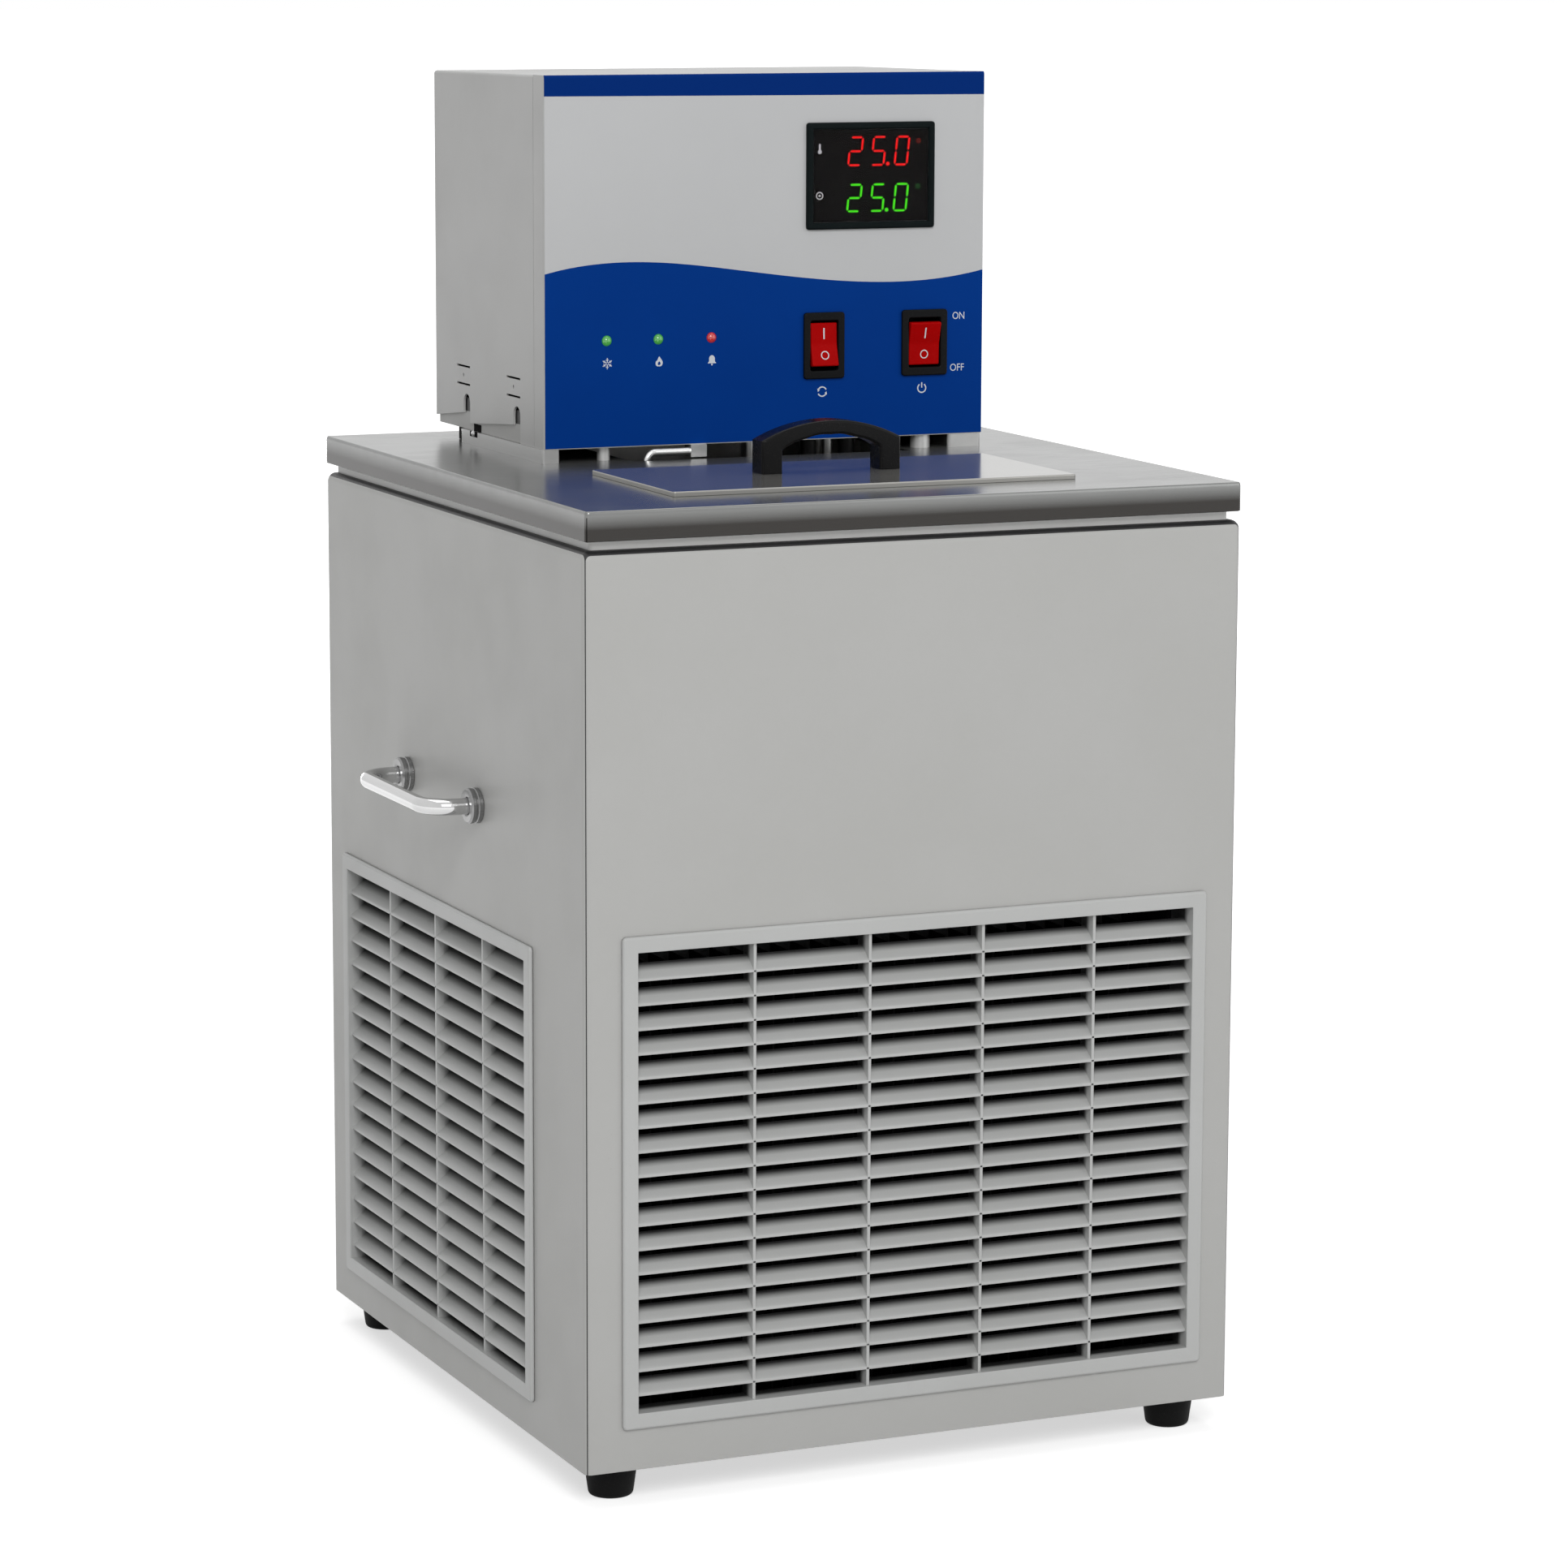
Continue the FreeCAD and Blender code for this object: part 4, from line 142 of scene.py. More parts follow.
def dress(piece, material, slot, *nodes, body=BATH):
    """Gives a piece its finish and its body, and hides the nodes it stands for.
    The slot argument is not used.
    """
    if material is not None:
        piece.data.materials.clear()
        piece.data.materials.append(material)
    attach(piece, body)
    if nodes:
        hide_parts(*nodes)
    return piece


def mesh_of(thing):
    """A plain mesh of a curve, a text or an object with modifiers."""
    bpy.context.view_layer.update()
    evaluated = thing.evaluated_get(bpy.context.evaluated_depsgraph_get())
    mesh = bpy.data.meshes.new_from_object(evaluated)
    mesh.materials.clear()
    bpy.data.objects.remove(thing)
    return mesh


# %% Plates
def plate(name, outlines, thickness, edge, place, steps=3):
    """A plate with soft rims. Its face lies at 0 and its back at minus the thickness."""
    curve = bpy.data.curves.new(name + ".outline", "CURVE")
    curve.dimensions = "2D"
    curve.fill_mode = "BOTH"
    for outline in outlines:
        spline = curve.splines.new("POLY")
        spline.points.add(len(outline) - 1)
        for point, (u, v) in zip(spline.points, outline):
            point.co = (u, v, 0, 1)
        spline.use_cyclic_u = True
    curve.extrude = thickness / 2 - edge
    curve.bevel_depth = edge
    curve.bevel_resolution = steps
    curve.offset = -edge
    mesh = mesh_of(new_piece(name + ".outline", curve))
    mesh.transform(place @ Matrix.Translation((0, 0, -thickness / 2)))
    tidy_mesh(mesh)
    return even_shading(new_piece(name, mesh))


def tidy_mesh(mesh, distance=1e-6):
    """Joins doubled points and turns every face outward."""
    work = bmesh.new()
    work.from_mesh(mesh)
    bmesh.ops.remove_doubles(work, verts=work.verts, dist=distance)
    bmesh.ops.recalc_face_normals(work, faces=work.faces)
    work.to_mesh(mesh)
    work.free()


# %% Blocks with soft edges
def soft_block(name, low, high, edge, steps=3):
    work = bmesh.new()
    bmesh.ops.create_cube(work, size=1.0)
    low = Vector(low)
    high = Vector(high)
    for vert in work.verts:
        vert.co = Vector(a + (b - a) * (c + 0.5) for a, b, c in zip(low, high, vert.co))
    bmesh.ops.bevel(work, geom=work.edges[:], offset=edge, segments=steps, profile=0.5,
                    affect="EDGES")
    return finished(name, work)


# %% Turned pieces
def turned(name, profile, place, steps):
    """A closed shape turned about the place's own third axis from (radius, height) points."""
    work = bmesh.new()
    rings = []
    for radius, height in profile:
        if radius < 1e-7:
            rings.append([work.verts.new((0, 0, height))])
            continue
        ring = []
        for index in range(steps):
            angle = 2 * math.pi * index / steps
            ring.append(work.verts.new((radius * math.cos(angle), radius * math.sin(angle), height)))
        rings.append(ring)
    loops = list(zip(rings, rings[1:]))
    if len(rings[0]) > 1 and len(rings[-1]) > 1:
        loops.append((rings[-1], rings[0]))
    for lower, upper in loops:
        for index in range(steps):
            after = (index + 1) % steps
            corners = [lower[index % len(lower)], lower[after % len(lower)],
                       upper[after % len(upper)], upper[index % len(upper)]]
            work.faces.new(dict.fromkeys(corners))
    return finished(name, work, place)


# %% Bent bars and tubes
def bent_path(corners, bend, steps):
    """Straight runs through the corners, each turn an arc of the bend radius."""
    path = [Vector(corners[0])]
    for before, corner, after in zip(corners, corners[1:], corners[2:]):
        corner = Vector(corner)
        back = (Vector(before) - corner).normalized()
        on = (Vector(after) - corner).normalized()
        half = back.angle(on) / 2
        centre = corner + (back + on).normalized() * (bend / math.sin(half))
        start = corner + back * (bend / math.tan(half)) - centre
        end = corner + on * (bend / math.tan(half)) - centre
        for index in range(steps + 1):
            path.append(centre + start.slerp(end, index / steps).normalized() * bend)
    path.append(Vector(corners[-1]))
    return path


def tube(name, path, radius, sides):
    curve = bpy.data.curves.new(name + ".line", "CURVE")
    curve.dimensions = "3D"
    spline = curve.splines.new("POLY")
    spline.points.add(len(path) - 1)
    for point, place in zip(spline.points, path):
        point.co = (*place, 1)
    curve.bevel_depth = radius
    curve.bevel_resolution = sides
    curve.use_fill_caps = True
    mesh = mesh_of(new_piece(name + ".line", curve))
    tidy_mesh(mesh)
    return even_shading(new_piece(name, mesh))


def joined(name, pieces):
    """Several meshes as one piece, each keeping its own materials."""
    mesh = bpy.data.meshes.new(name)
    work = bmesh.new()
    materials = []
    for piece in pieces:
        start = len(work.faces)
        work.from_mesh(piece.data)
        work.faces.ensure_lookup_table()
        own = list(piece.data.materials)
        for face in work.faces[start:]:
            if own:
                material = own[face.material_index]
                if material not in materials:
                    materials.append(material)
                face.material_index = materials.index(material)
        bpy.data.objects.remove(piece)
    work.to_mesh(mesh)
    work.free()
    for material in materials:
        mesh.materials.append(material)
    return even_shading(new_piece(name, mesh))


print("shape helpers ready")

# %% [markdown]
# ## Finishes
# Paint, rolled steel and moulded plastic all differ by small things: the peel of a powder coat,
# the grain that rolling leaves, the faint marks of hands. Each of those effects is one node
# group that puts out masks and heights, and each material places it with values of its own.
# All of them read Object coordinates, so the grain keeps its real size on every piece.

# %% Node helpers
def srgb(colour):
    """The linear colour of a grey or a (red, green, blue), each 0 to 255 as seen on screen."""
    values = []
    for channel in colour if isinstance(colour, tuple) else (colour,) * 3:
        c = channel / 255
        values.append(c / 12.92 if c <= 0.04045 else ((c + 0.055) / 1.055) ** 2.4)
    return (*values, 1.0)


def add_node(tree, kind, inputs=None, **settings):
    node = tree.nodes.new(kind)
    for key, value in settings.items():
        setattr(node, key, value)
    for key, value in (inputs or {}).items():
        node.inputs[key].default_value = value
    return node


def new_group(name, inputs, outputs):
    tree = bpy.data.node_groups.new(name, "ShaderNodeTree")
    for label, kind, value in inputs:
        socket = tree.interface.new_socket(label, in_out="INPUT", socket_type=kind)
        if value is not None:
            socket.default_value = value
    for label in outputs:
        tree.interface.new_socket(label, in_out="OUTPUT", socket_type="NodeSocketFloat")
    start = tree.nodes.new("NodeGroupInput").outputs
    return tree, start, tree.nodes.new("NodeGroupOutput").inputs


def noise(tree, vector, scale, detail, roughness):
    node = add_node(tree, "ShaderNodeTexNoise", {"Detail": detail, "Roughness": roughness})
    tree.links.new(vector, node.inputs["Vector"])
    if isinstance(scale, (int, float)):
        node.inputs["Scale"].default_value = scale
    else:
        tree.links.new(scale, node.inputs["Scale"])
    return node.outputs["Fac"]


def spread(tree, value, low, high, to_low=0.0, to_high=1.0):
    """The value's middle stretch pulled out to a wider one, held at both ends."""
    node = add_node(tree, "ShaderNodeMapRange", {"From Min": low, "From Max": high,
                                                 "To Min": to_low, "To Max": to_high})
    tree.links.new(value, node.inputs["Value"])
    return node.outputs["Result"]


# %% The effects
def make_paint_skin():
    """The low orange peel of a sprayed or powder coat, its slow mottle, and rare dark specks."""
    inputs = [("Vector", "NodeSocketVector", None), ("Peel Scale", "NodeSocketFloat", 900.0),
              ("Mottle Scale", "NodeSocketFloat", 14.0)]
    tree, start, end = new_group("paint skin", inputs, ["Height", "Mottle", "Speck"])
    peel = noise(tree, start["Vector"], start["Peel Scale"], 2.0, 0.45)
    mottle = noise(tree, start["Vector"], start["Mottle Scale"], 4.0, 0.6)
    speck = noise(tree, start["Vector"], 620.0, 1.0, 0.3)
    tree.links.new(spread(tree, peel, 0.3, 0.7), end["Height"])
    tree.links.new(spread(tree, mottle, 0.35, 0.65), end["Mottle"])
    tree.links.new(spread(tree, speck, 0.76, 0.8), end["Speck"])
    return tree


def make_rolled_grain():
    """Long fine streaks along the rolling direction, and broad soft bands beside them."""
    inputs = [("Vector", "NodeSocketVector", None), ("Along", "NodeSocketVector", (1.0, 1.0, 1.0))]
    tree, start, end = new_group("rolled grain", inputs, ["Grain", "Band"])
    stretch = add_node(tree, "ShaderNodeVectorMath", operation="MULTIPLY")
    tree.links.new(start["Vector"], stretch.inputs[0])
    tree.links.new(start["Along"], stretch.inputs[1])
    fine = noise(tree, stretch.outputs["Vector"], 1400.0, 3.0, 0.6)
    band = noise(tree, stretch.outputs["Vector"], 110.0, 3.0, 0.5)
    tree.links.new(spread(tree, fine, 0.32, 0.68), end["Grain"])
    tree.links.new(spread(tree, band, 0.35, 0.65), end["Band"])
    return tree


def make_handling():
    """Where hands and cloths have been: a soft cloud mask and a scatter of fine dust."""
    inputs = [("Vector", "NodeSocketVector", None), ("Cloud Scale", "NodeSocketFloat", 22.0)]
    tree, start, end = new_group("handling", inputs, ["Smudge", "Dust"])
    cloud = noise(tree, start["Vector"], start["Cloud Scale"], 5.0, 0.62)
    dust = noise(tree, start["Vector"], 1900.0, 1.0, 0.4)
    tree.links.new(spread(tree, cloud, 0.42, 0.7), end["Smudge"])
    tree.links.new(spread(tree, dust, 0.66, 0.78), end["Dust"])
    return tree


PAINT_SKIN = make_paint_skin()
ROLLED_GRAIN = make_rolled_grain()
HANDLING = make_handling()
print("effects:", [tree.name for tree in bpy.data.node_groups])


# %% Material helpers
def new_material(name, **constants):
    """A material and its Principled shader. Constants are set on the shader's own sockets."""
    material = bpy.data.materials.new(name)
    material.use_nodes = True
    shader = material.node_tree.nodes["Principled BSDF"]
    for label, value in constants.items():
        shader.inputs[label.replace("_", " ")].default_value = value
    return material, shader


def object_vector(tree):
    return add_node(tree, "ShaderNodeTexCoord").outputs["Object"]


def coordinates(tree):
    """X, Y and Z in the part's own frame."""
    split = add_node(tree, "ShaderNodeSeparateXYZ")
    tree.links.new(object_vector(tree), split.inputs["Vector"])
    return split.outputs


def maths(tree, operation, *values):
    """One sum over sockets and numbers."""
    node = add_node(tree, "ShaderNodeMath", operation=operation)
    for socket, value in zip(node.inputs, values):
        if isinstance(value, (int, float)):
            socket.default_value = value
        else:
            tree.links.new(value, socket)
    return node.outputs["Value"]


def effect(tree, group, **inputs):
    node = add_node(tree, "ShaderNodeGroup", node_tree=group)
    tree.links.new(object_vector(tree), node.inputs["Vector"])
    for label, value in inputs.items():
        node.inputs[label.replace("_", " ")].default_value = value
    return node.outputs


def tint(tree, base, other, mask, share):
    """Base goes towards other by share where the mask is 1."""
    mix = add_node(tree, "ShaderNodeMix", data_type="RGBA")
    tree.links.new(maths(tree, "MULTIPLY", mask, share), mix.inputs["Factor"])
    ends = [socket for socket in mix.inputs if socket.type == "RGBA"]
    for socket, colour in zip(ends, (base, other)):
        if isinstance(colour, tuple):
            socket.default_value = colour
        else:
            tree.links.new(colour, socket)
    return next(socket for socket in mix.outputs if socket.type == "RGBA")


def bump(tree, shader, height, distance):
    node = add_node(tree, "ShaderNodeBump", {"Distance": distance, "Strength": 1.0})
    tree.links.new(height, node.inputs["Height"])
    tree.links.new(node.outputs["Normal"], shader.inputs["Normal"])


# %% [markdown]
# ## Painted sheet, printed film and moulded plastic
# The cabinet and the head carry a light grey powder coat: nearly one colour, a low peel that
# softens reflections, and a satin gloss that a wiping cloth has evened out in places. The
# printed film over the panel has the same build with a finer skin. Plastics are darker, with the
# fine spark texture of their mould. Masks worked out from a place on the part paint shade into a
# coat: dark inside a cabinet, and fading dark deep between the slats.

# %% Masks from a place on the part
def painted_shade_inside_mask(tree, half_x, low_y, high_y):
    """Painted shade mask: 1 on the surfaces that lie inside these planes, 0 outside."""
    place = coordinates(tree)
    near = maths(tree, "LESS_THAN", maths(tree, "ABSOLUTE", place["X"]), half_x)
    behind = maths(tree, "GREATER_THAN", place["Y"], low_y)
    before = maths(tree, "LESS_THAN", place["Y"], high_y)
    return maths(tree, "MULTIPLY", maths(tree, "MULTIPLY", near, behind), before)


def painted_shade_depth_mask(tree, side_x, front_y, start, end):
    """Painted shade: 0 to 1 between two depths behind the nearer of the side and front faces."""
    place = coordinates(tree)
    side = maths(tree, "SUBTRACT", side_x, maths(tree, "ABSOLUTE", place["X"]))
    front = maths(tree, "SUBTRACT", place["Y"], front_y)
    return spread(tree, maths(tree, "MINIMUM", side, front), start, end)


# %% Paint, film and plastic
INSIDE_PAINTED_SHADE = (34, 34, 35)
SLAT_PAINTED_SHADE = (20, 20, 21)
DUST = (120, 118, 114)
WINDOW_DUST = (205, 196, 196)


def surface(tree, shader, base, smudge, smooth, worn):
    """Links the colour, and a roughness that goes from smooth to worn where hands have been."""
    tree.links.new(base, shader.inputs["Base Color"])
    tree.links.new(spread(tree, smudge, 0.0, 1.0, smooth, worn), shader.inputs["Roughness"])


def coated(name, colour, shade, roughness, peel_scale=900.0, peel_depth=0.02 * MM, wiped=0.08,
           specular=0.5, inside=None, above=None, deep=None):
    """Paint or film, dark with painted shade inside some planes, another colour above a height, or
    fading to painted shade deeper in.
    """
    material, shader = new_material(name, Specular_IOR_Level=specular)
    tree = material.node_tree
    skin_marks = effect(tree, PAINT_SKIN, Peel_Scale=peel_scale)
    hands = effect(tree, HANDLING)
    base = tint(tree, srgb(colour), srgb(shade), skin_marks["Mottle"], 0.5)
    base = tint(tree, base, srgb(shade), skin_marks["Speck"], 0.6)
    # Painted shade: the coat goes dark on the surfaces inside the given planes.
    if inside:
        base = tint(tree, base, srgb(INSIDE_PAINTED_SHADE), painted_shade_inside_mask(tree, *inside), 1.0)
    if above:
        height, upper_colour = above
        higher = maths(tree, "GREATER_THAN", coordinates(tree)["Z"], height)
        base = tint(tree, base, srgb(upper_colour), higher, 1.0)
    # Painted shade: the coat fades to near black deeper in.
    if deep:
        base = tint(tree, base, srgb(SLAT_PAINTED_SHADE), painted_shade_depth_mask(tree, *deep), 0.94)
    surface(tree, shader, base, hands["Smudge"], roughness, roughness + wiped)
    bump(tree, shader, skin_marks["Height"], peel_depth)
    return material


def moulded(name, colour, shade, roughness, texture_scale=2600.0, texture_depth=0.015 * MM,
            specular=0.35):
    material, shader = new_material(name, Specular_IOR_Level=specular)
    tree = material.node_tree
    hands = effect(tree, HANDLING, Cloud_Scale=40.0)
    spark = noise(tree, object_vector(tree), texture_scale, 2.0, 0.6)
    base = tint(tree, srgb(colour), srgb(shade), hands["Smudge"], 0.5)
    base = tint(tree, base, srgb(DUST), hands["Dust"], 0.06)
    surface(tree, shader, base, hands["Smudge"], roughness, roughness + 0.1)
    bump(tree, shader, spark, texture_depth)
    return material


# %% [markdown]
# ## Steel and other bare metal
# Rolled stainless sheet mirrors its surroundings a little softly and streaks them along the
# rolling direction. The streaks are a stretched noise: the vector is squeezed along one axis, so
# the pattern is long that way. Their height stays tiny, because a mirror shows every slope.

# %% Bare metal
def metal(name, colour, shade, roughness, along=(1, 1, 1), grain_depth=0.002 * MM, streak=0.35,
          blur=0.08, haze=0.0, fade=None):
    """Haze lets a little even grey into the mirror; fade paints shade into it between two planes."""
    material, shader = new_material(name, Metallic=1.0 - haze)
    tree = material.node_tree
    grain = effect(tree, ROLLED_GRAIN, Along=along)
    hands = effect(tree, HANDLING, Cloud_Scale=16.0)
    base = tint(tree, srgb(colour), srgb(shade), grain["Band"], streak)
    base = tint(tree, base, srgb(shade), grain["Grain"], streak * 0.5)
    # Painted shade: the base goes towards a dark colour between two planes.
    if fade:
        axis, low, high, at_low, dark = fade
        share = spread(tree, coordinates(tree)[axis], low, high, at_low, 1.0 - at_low)
        base = tint(tree, base, srgb(dark), share, 1.0)
    tree.links.new(base, shader.inputs["Base Color"])
    rolled = spread(tree, grain["Grain"], 0, 1, roughness, roughness + blur * 0.5)
    wiped = spread(tree, hands["Smudge"], 0, 1, 0.0, blur * 0.5)
    tree.links.new(maths(tree, "ADD", rolled, wiped), shader.inputs["Roughness"])
    bump(tree, shader, grain["Grain"], grain_depth)
    return material


# %% Lit and clear pieces
def lit(name, colour, strength, roughness=0.5, specular=0.2):
    """A lit piece: its own light, a little uneven over its face."""
    material, shader = new_material(name, Roughness=roughness, Specular_IOR_Level=specular,
                                    Emission_Strength=strength)
    tree = material.node_tree
    glow = noise(tree, object_vector(tree), 500.0, 2.0, 0.5)
    bright = srgb(colour)
    dim = tuple(c * 0.8 for c in bright[:3]) + (1.0,)
    shown = tint(tree, bright, dim, spread(tree, glow, 0.35, 0.65), 0.6)
    tree.links.new(shown, shader.inputs["Emission Color"])
    tree.links.new(shown, shader.inputs["Base Color"])
    return material


def tinted_window(name, colour):
    """The filter in front of the digits: a thin clear sheet that only tints a little."""
    material, shader = new_material(name, IOR=1.12, Transmission_Weight=1.0, Metallic=0.0)
    tree = material.node_tree
    hands = effect(tree, HANDLING, Cloud_Scale=60.0)
    shown = tint(tree, srgb(colour), srgb(WINDOW_DUST), hands["Dust"], 0.1)
    surface(tree, shader, shown, hands["Smudge"], 0.0, 0.006)
    return material


# %% The bath's painted and printed finishes
LIGHT_GREY = (183, 183, 181)
GREY_SHADE = (178, 178, 175)
# The shell and the rear panel are dark on their inner faces: painted shade inside the cabinet.
SHELL_PAINT = coated("cabinet shell coat", LIGHT_GREY, GREY_SHADE, 0.42,
                     inside=(159.2 * MM, -186.9 * MM, 1.0))
REAR_PAINT = coated("rear panel coat", LIGHT_GREY, GREY_SHADE, 0.42,
                    inside=(1.0, -1.0, 157.2 * MM))
HEAD_PAINT = coated("head powder coat", (188, 188, 187), (183, 183, 181), 0.4)
# The slats fade to near black deeper in the grille: painted shade between the slats.
GRILLE_PAINT = coated("grille coat", (190, 191, 190), (184, 185, 183), 0.36,
                      deep=(160.0 * MM, -187.5 * MM, 3.6 * MM, 6.8 * MM))
# The neck is light grey paint, set lighter than the shell's coat: painted light that lifts the
# shadow under the worktop's overhang.
NECK_PAINT = coated("neck paint", (226, 226, 224), (218, 218, 216), 0.45)
INNER_PAINT = coated("inner sheet", (44, 44, 46), (36, 36, 38), 0.55)
# Painted shade under the head: the tray is dark inside these planes, and near black above 459 mm
# where the cover hides it.
TRAY_PAINT = coated("tray coat", (176, 176, 174), (170, 170, 168), 0.42,
                    inside=(104.6 * MM, 0.3 * MM, 143.6 * MM), above=(459.0 * MM, (14, 14, 15)))
FILM_WHITE = coated("printed film, pale", (198, 199, 200), (195, 196, 197), 0.4, 1600.0,
                    0.006 * MM, 0.05, 0.2)
FILM_BLUE = coated("printed film, blue", (0, 56, 138), (0, 52, 131), 0.45, 1600.0, 0.006 * MM,
                   0.05, 0.04, above=(600.0 * MM, (0, 44, 118)))
PRINT_WHITE = coated("white print", (214, 218, 224), (200, 206, 214), 0.4)
# The fins are black, and the black is also painted shade that keeps the inside behind the grilles
# dark.
BLACK_FINS_AND_SHADE = coated("dipped fins", (15, 15, 16), (11, 11, 12), 0.7, specular=0.04)
CAN_PAINT = coated("compressor paint", (26, 26, 28), (20, 20, 22), 0.35)

# %% Its steels and other metals
SKIRT_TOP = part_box("worktop")[1].z - 1.2 * MM
ROLLED_ALONG_X = (0.04, 1, 1)
# Painted shade on the skirt: the steel goes dark towards its lower edge, over the 7 mm below the
# skirt's top.
WORKTOP_STEEL = metal("worktop steel", (136, 137, 136), (116, 117, 116), 0.2, ROLLED_ALONG_X,
                      haze=0.3, fade=("Z", SKIRT_TOP - 7.0 * MM, SKIRT_TOP, 1.0, (52, 50, 48)))
LID_STEEL = metal("lid steel", (156, 155, 151), (138, 137, 134), 0.12, ROLLED_ALONG_X,
                  0.001 * MM, 0.3, 0.05, haze=0.42)
BAR_STEEL = metal("polished bar", 205, 180, 0.07, (1, 0.05, 1), 0.001 * MM, 0.3, 0.05)
COLLAR_STEEL = metal("turned collar", 150, 110, 0.25, (0.05, 1, 1), 0.004 * MM, 0.4, 0.1)
SATIN_STEEL = metal("satin steel", (176, 176, 175), 156, 0.3, (1, 0.05, 1), 0.0006 * MM, 0.3, 0.1)
# Painted shade under the head: the posts go near black towards the back, from 25 mm to 45 mm.
POST_STEEL = metal("post steel", (200, 200, 199), (182, 182, 181), 0.3, (1, 1, 0.1), 0.0006 * MM,
                   0.2, 0.1, haze=0.6, fade=("Y", 25.0 * MM, 45.0 * MM, 0.0, 24))
TUBE_STEEL = metal("tube steel", (226, 226, 225), (206, 206, 205), 0.16, (1, 1, 1), 0.0004 * MM,
                   0.2, 0.05, haze=0.12)
SCREW_STEEL = metal("bright screw", 190, 150, 0.22)
COPPER = metal("copper tube", (196, 122, 86), (150, 84, 58), 0.3)
PLATED_BRASS = metal("plated brass", (188, 180, 150), (160, 148, 112), 0.24)

# %% Its plastics, rubber and lights
BLACK_PLASTIC = moulded("black plastic", (18, 18, 19), (13, 13, 14), 0.38, specular=0.25)
SOFT_BLACK = moulded("satin black moulding", (9, 9, 10), (6, 6, 7), 0.24, 1800.0, 0.008 * MM, 0.12)
BEZEL_PLASTIC = moulded("display bezel", (11, 19, 20), (8, 14, 15), 0.45, specular=0.05)
MODULE_PLASTIC = moulded("digit module", (7, 6, 7), (5, 4, 5), 0.7, specular=0.03)
RUBBER = moulded("foot rubber", 13, 9, 0.6, 900.0, 0.05 * MM, 0.1)
RED_PLASTIC = moulded("red rocker", (178, 2, 3), (154, 1, 2), 0.3, 2600.0, 0.004 * MM, 0.04)
FOAM = moulded("foam jacket", (40, 40, 41), (30, 30, 31), 0.9, 700.0, 0.3 * MM, 0.1)
BOARD_GREEN = moulded("circuit board", (20, 84, 50), (14, 62, 38), 0.45)
SWITCH_PLASTIC = moulded("switch frame", (10, 11, 13), (7, 8, 9), 0.3, specular=0.08)
RED_LIGHT = lit("red digits", (216, 3, 2), 0.98)
GREEN_LIGHT = lit("green digits", (58, 210, 8), 0.9)
DIM_RED = lit("dim red", (120, 26, 16), 0.6)
DIM_GREEN = lit("dim green", (26, 84, 30), 0.6)
GREEN_LENS = lit("green lens", (62, 150, 58), 0.42, 0.08, 1.0)
RED_LENS = lit("red lens", (176, 30, 28), 0.42, 0.08, 1.0)
WINDOW = tinted_window("tinted window", (224, 221, 221))
print("finishes:", len(bpy.data.materials))

# %% [markdown]
# ## Stage, light and camera
# A plain white sweep, one broad key light from the front left above, a wide fill from the right,
# one lamp overhead, a small low one behind, and an even world. The world and the floor show white
# to the camera and in reflections, which puts no more light on the object. The camera stands
# where the photograph was taken from, worked out from the cabinet's corners, with a long lens
# and a small shift for the picture's crop.

# %% Floor and world
def seen_ray(tree):
    """1 for camera, glossy and transmission rays, 0 for the rays that carry soft light."""
    path = add_node(tree, "ShaderNodeLightPath").outputs
    seen = maths(tree, "MAXIMUM", path["Is Camera Ray"], path["Is Glossy Ray"])
    return maths(tree, "MAXIMUM", seen, path["Is Transmission Ray"])


def make_world(strength):
    world = bpy.data.worlds.new("even room")
    world.use_nodes = True
    tree = world.node_tree
    background = tree.nodes["Background"]
    background.inputs["Color"].default_value = (1, 1, 1, 1)
    level = add_node(tree, "ShaderNodeMapRange", {"To Min": strength, "To Max": 1.0})
    tree.links.new(seen_ray(tree), level.inputs["Value"])
    tree.links.new(level.outputs["Result"], background.inputs["Strength"])
    scene.world = world


def make_floor(reach, lift):
    mesh = bpy.data.meshes.new("floor")
    corners = [(-reach, -reach, 0), (reach, -reach, 0), (reach, reach, 0), (-reach, reach, 0)]
    mesh.from_pydata(corners, [], [(0, 1, 2, 3)])
    floor = new_piece("floor", mesh)
    material, shader = new_material("white sweep", Roughness=1.0, Specular_IOR_Level=0.0)
    shader.inputs["Base Color"].default_value = (0.8, 0.8, 0.8, 1)
    shader.inputs["Emission Color"].default_value = (1, 1, 1, 1)
    tree = material.node_tree
    far = add_node(tree, "ShaderNodeVectorMath", operation="LENGTH")
    tree.links.new(object_vector(tree), far.inputs[0])
    rise = spread(tree, far.outputs["Value"], 0.5, 2.5, lift, 1.0)
    tree.links.new(maths(tree, "MULTIPLY", seen_ray(tree), rise), shader.inputs["Emission Strength"])
    mesh.materials.append(material)


def make_lamp(name, place, size, power):
    data = bpy.data.lights.new(name, "AREA")
    data.shape = "SQUARE"
    data.size = size
    data.energy = power
    lamp = bpy.data.objects.new(name, data)
    lamp.location = place
    lamp.rotation_mode = "QUATERNION"
    lamp.rotation_quaternion = (LAMPS_FACE - Vector(place)).to_track_quat("-Z", "Y")
    scene.collection.objects.link(lamp)


WORLD_LIGHT = 0.3
FLOOR_REACH = 30.0
FLOOR_LIGHT = 0.6
LAMPS_FACE = Vector((0, 0, 0.3))
make_world(WORLD_LIGHT)
make_floor(FLOOR_REACH, FLOOR_LIGHT)
make_lamp("key", (-1.1, -2.9, 2.3), 1.6, 54)
make_lamp("fill", (2.2, -2.4, 1.5), 2.2, 18)
make_lamp("top", (0.2, 0.6, 3.2), 2.4, 26)
make_lamp("back", (0.1, 3.2, 0.35), 0.5, 13)

# %% Camera
PHOTO_WIDTH = 1932
CAMERA_AT = Vector((-0.97358, -2.26514, 0.70301))
CAMERA_WAY = Vector((0.40377026, 0.90089936, -0.15921655))
CAMERA_ROLL = math.radians(0.284)
FOCAL_PX = 6450.345
CENTRE_PX = (1026.279, 917.243)


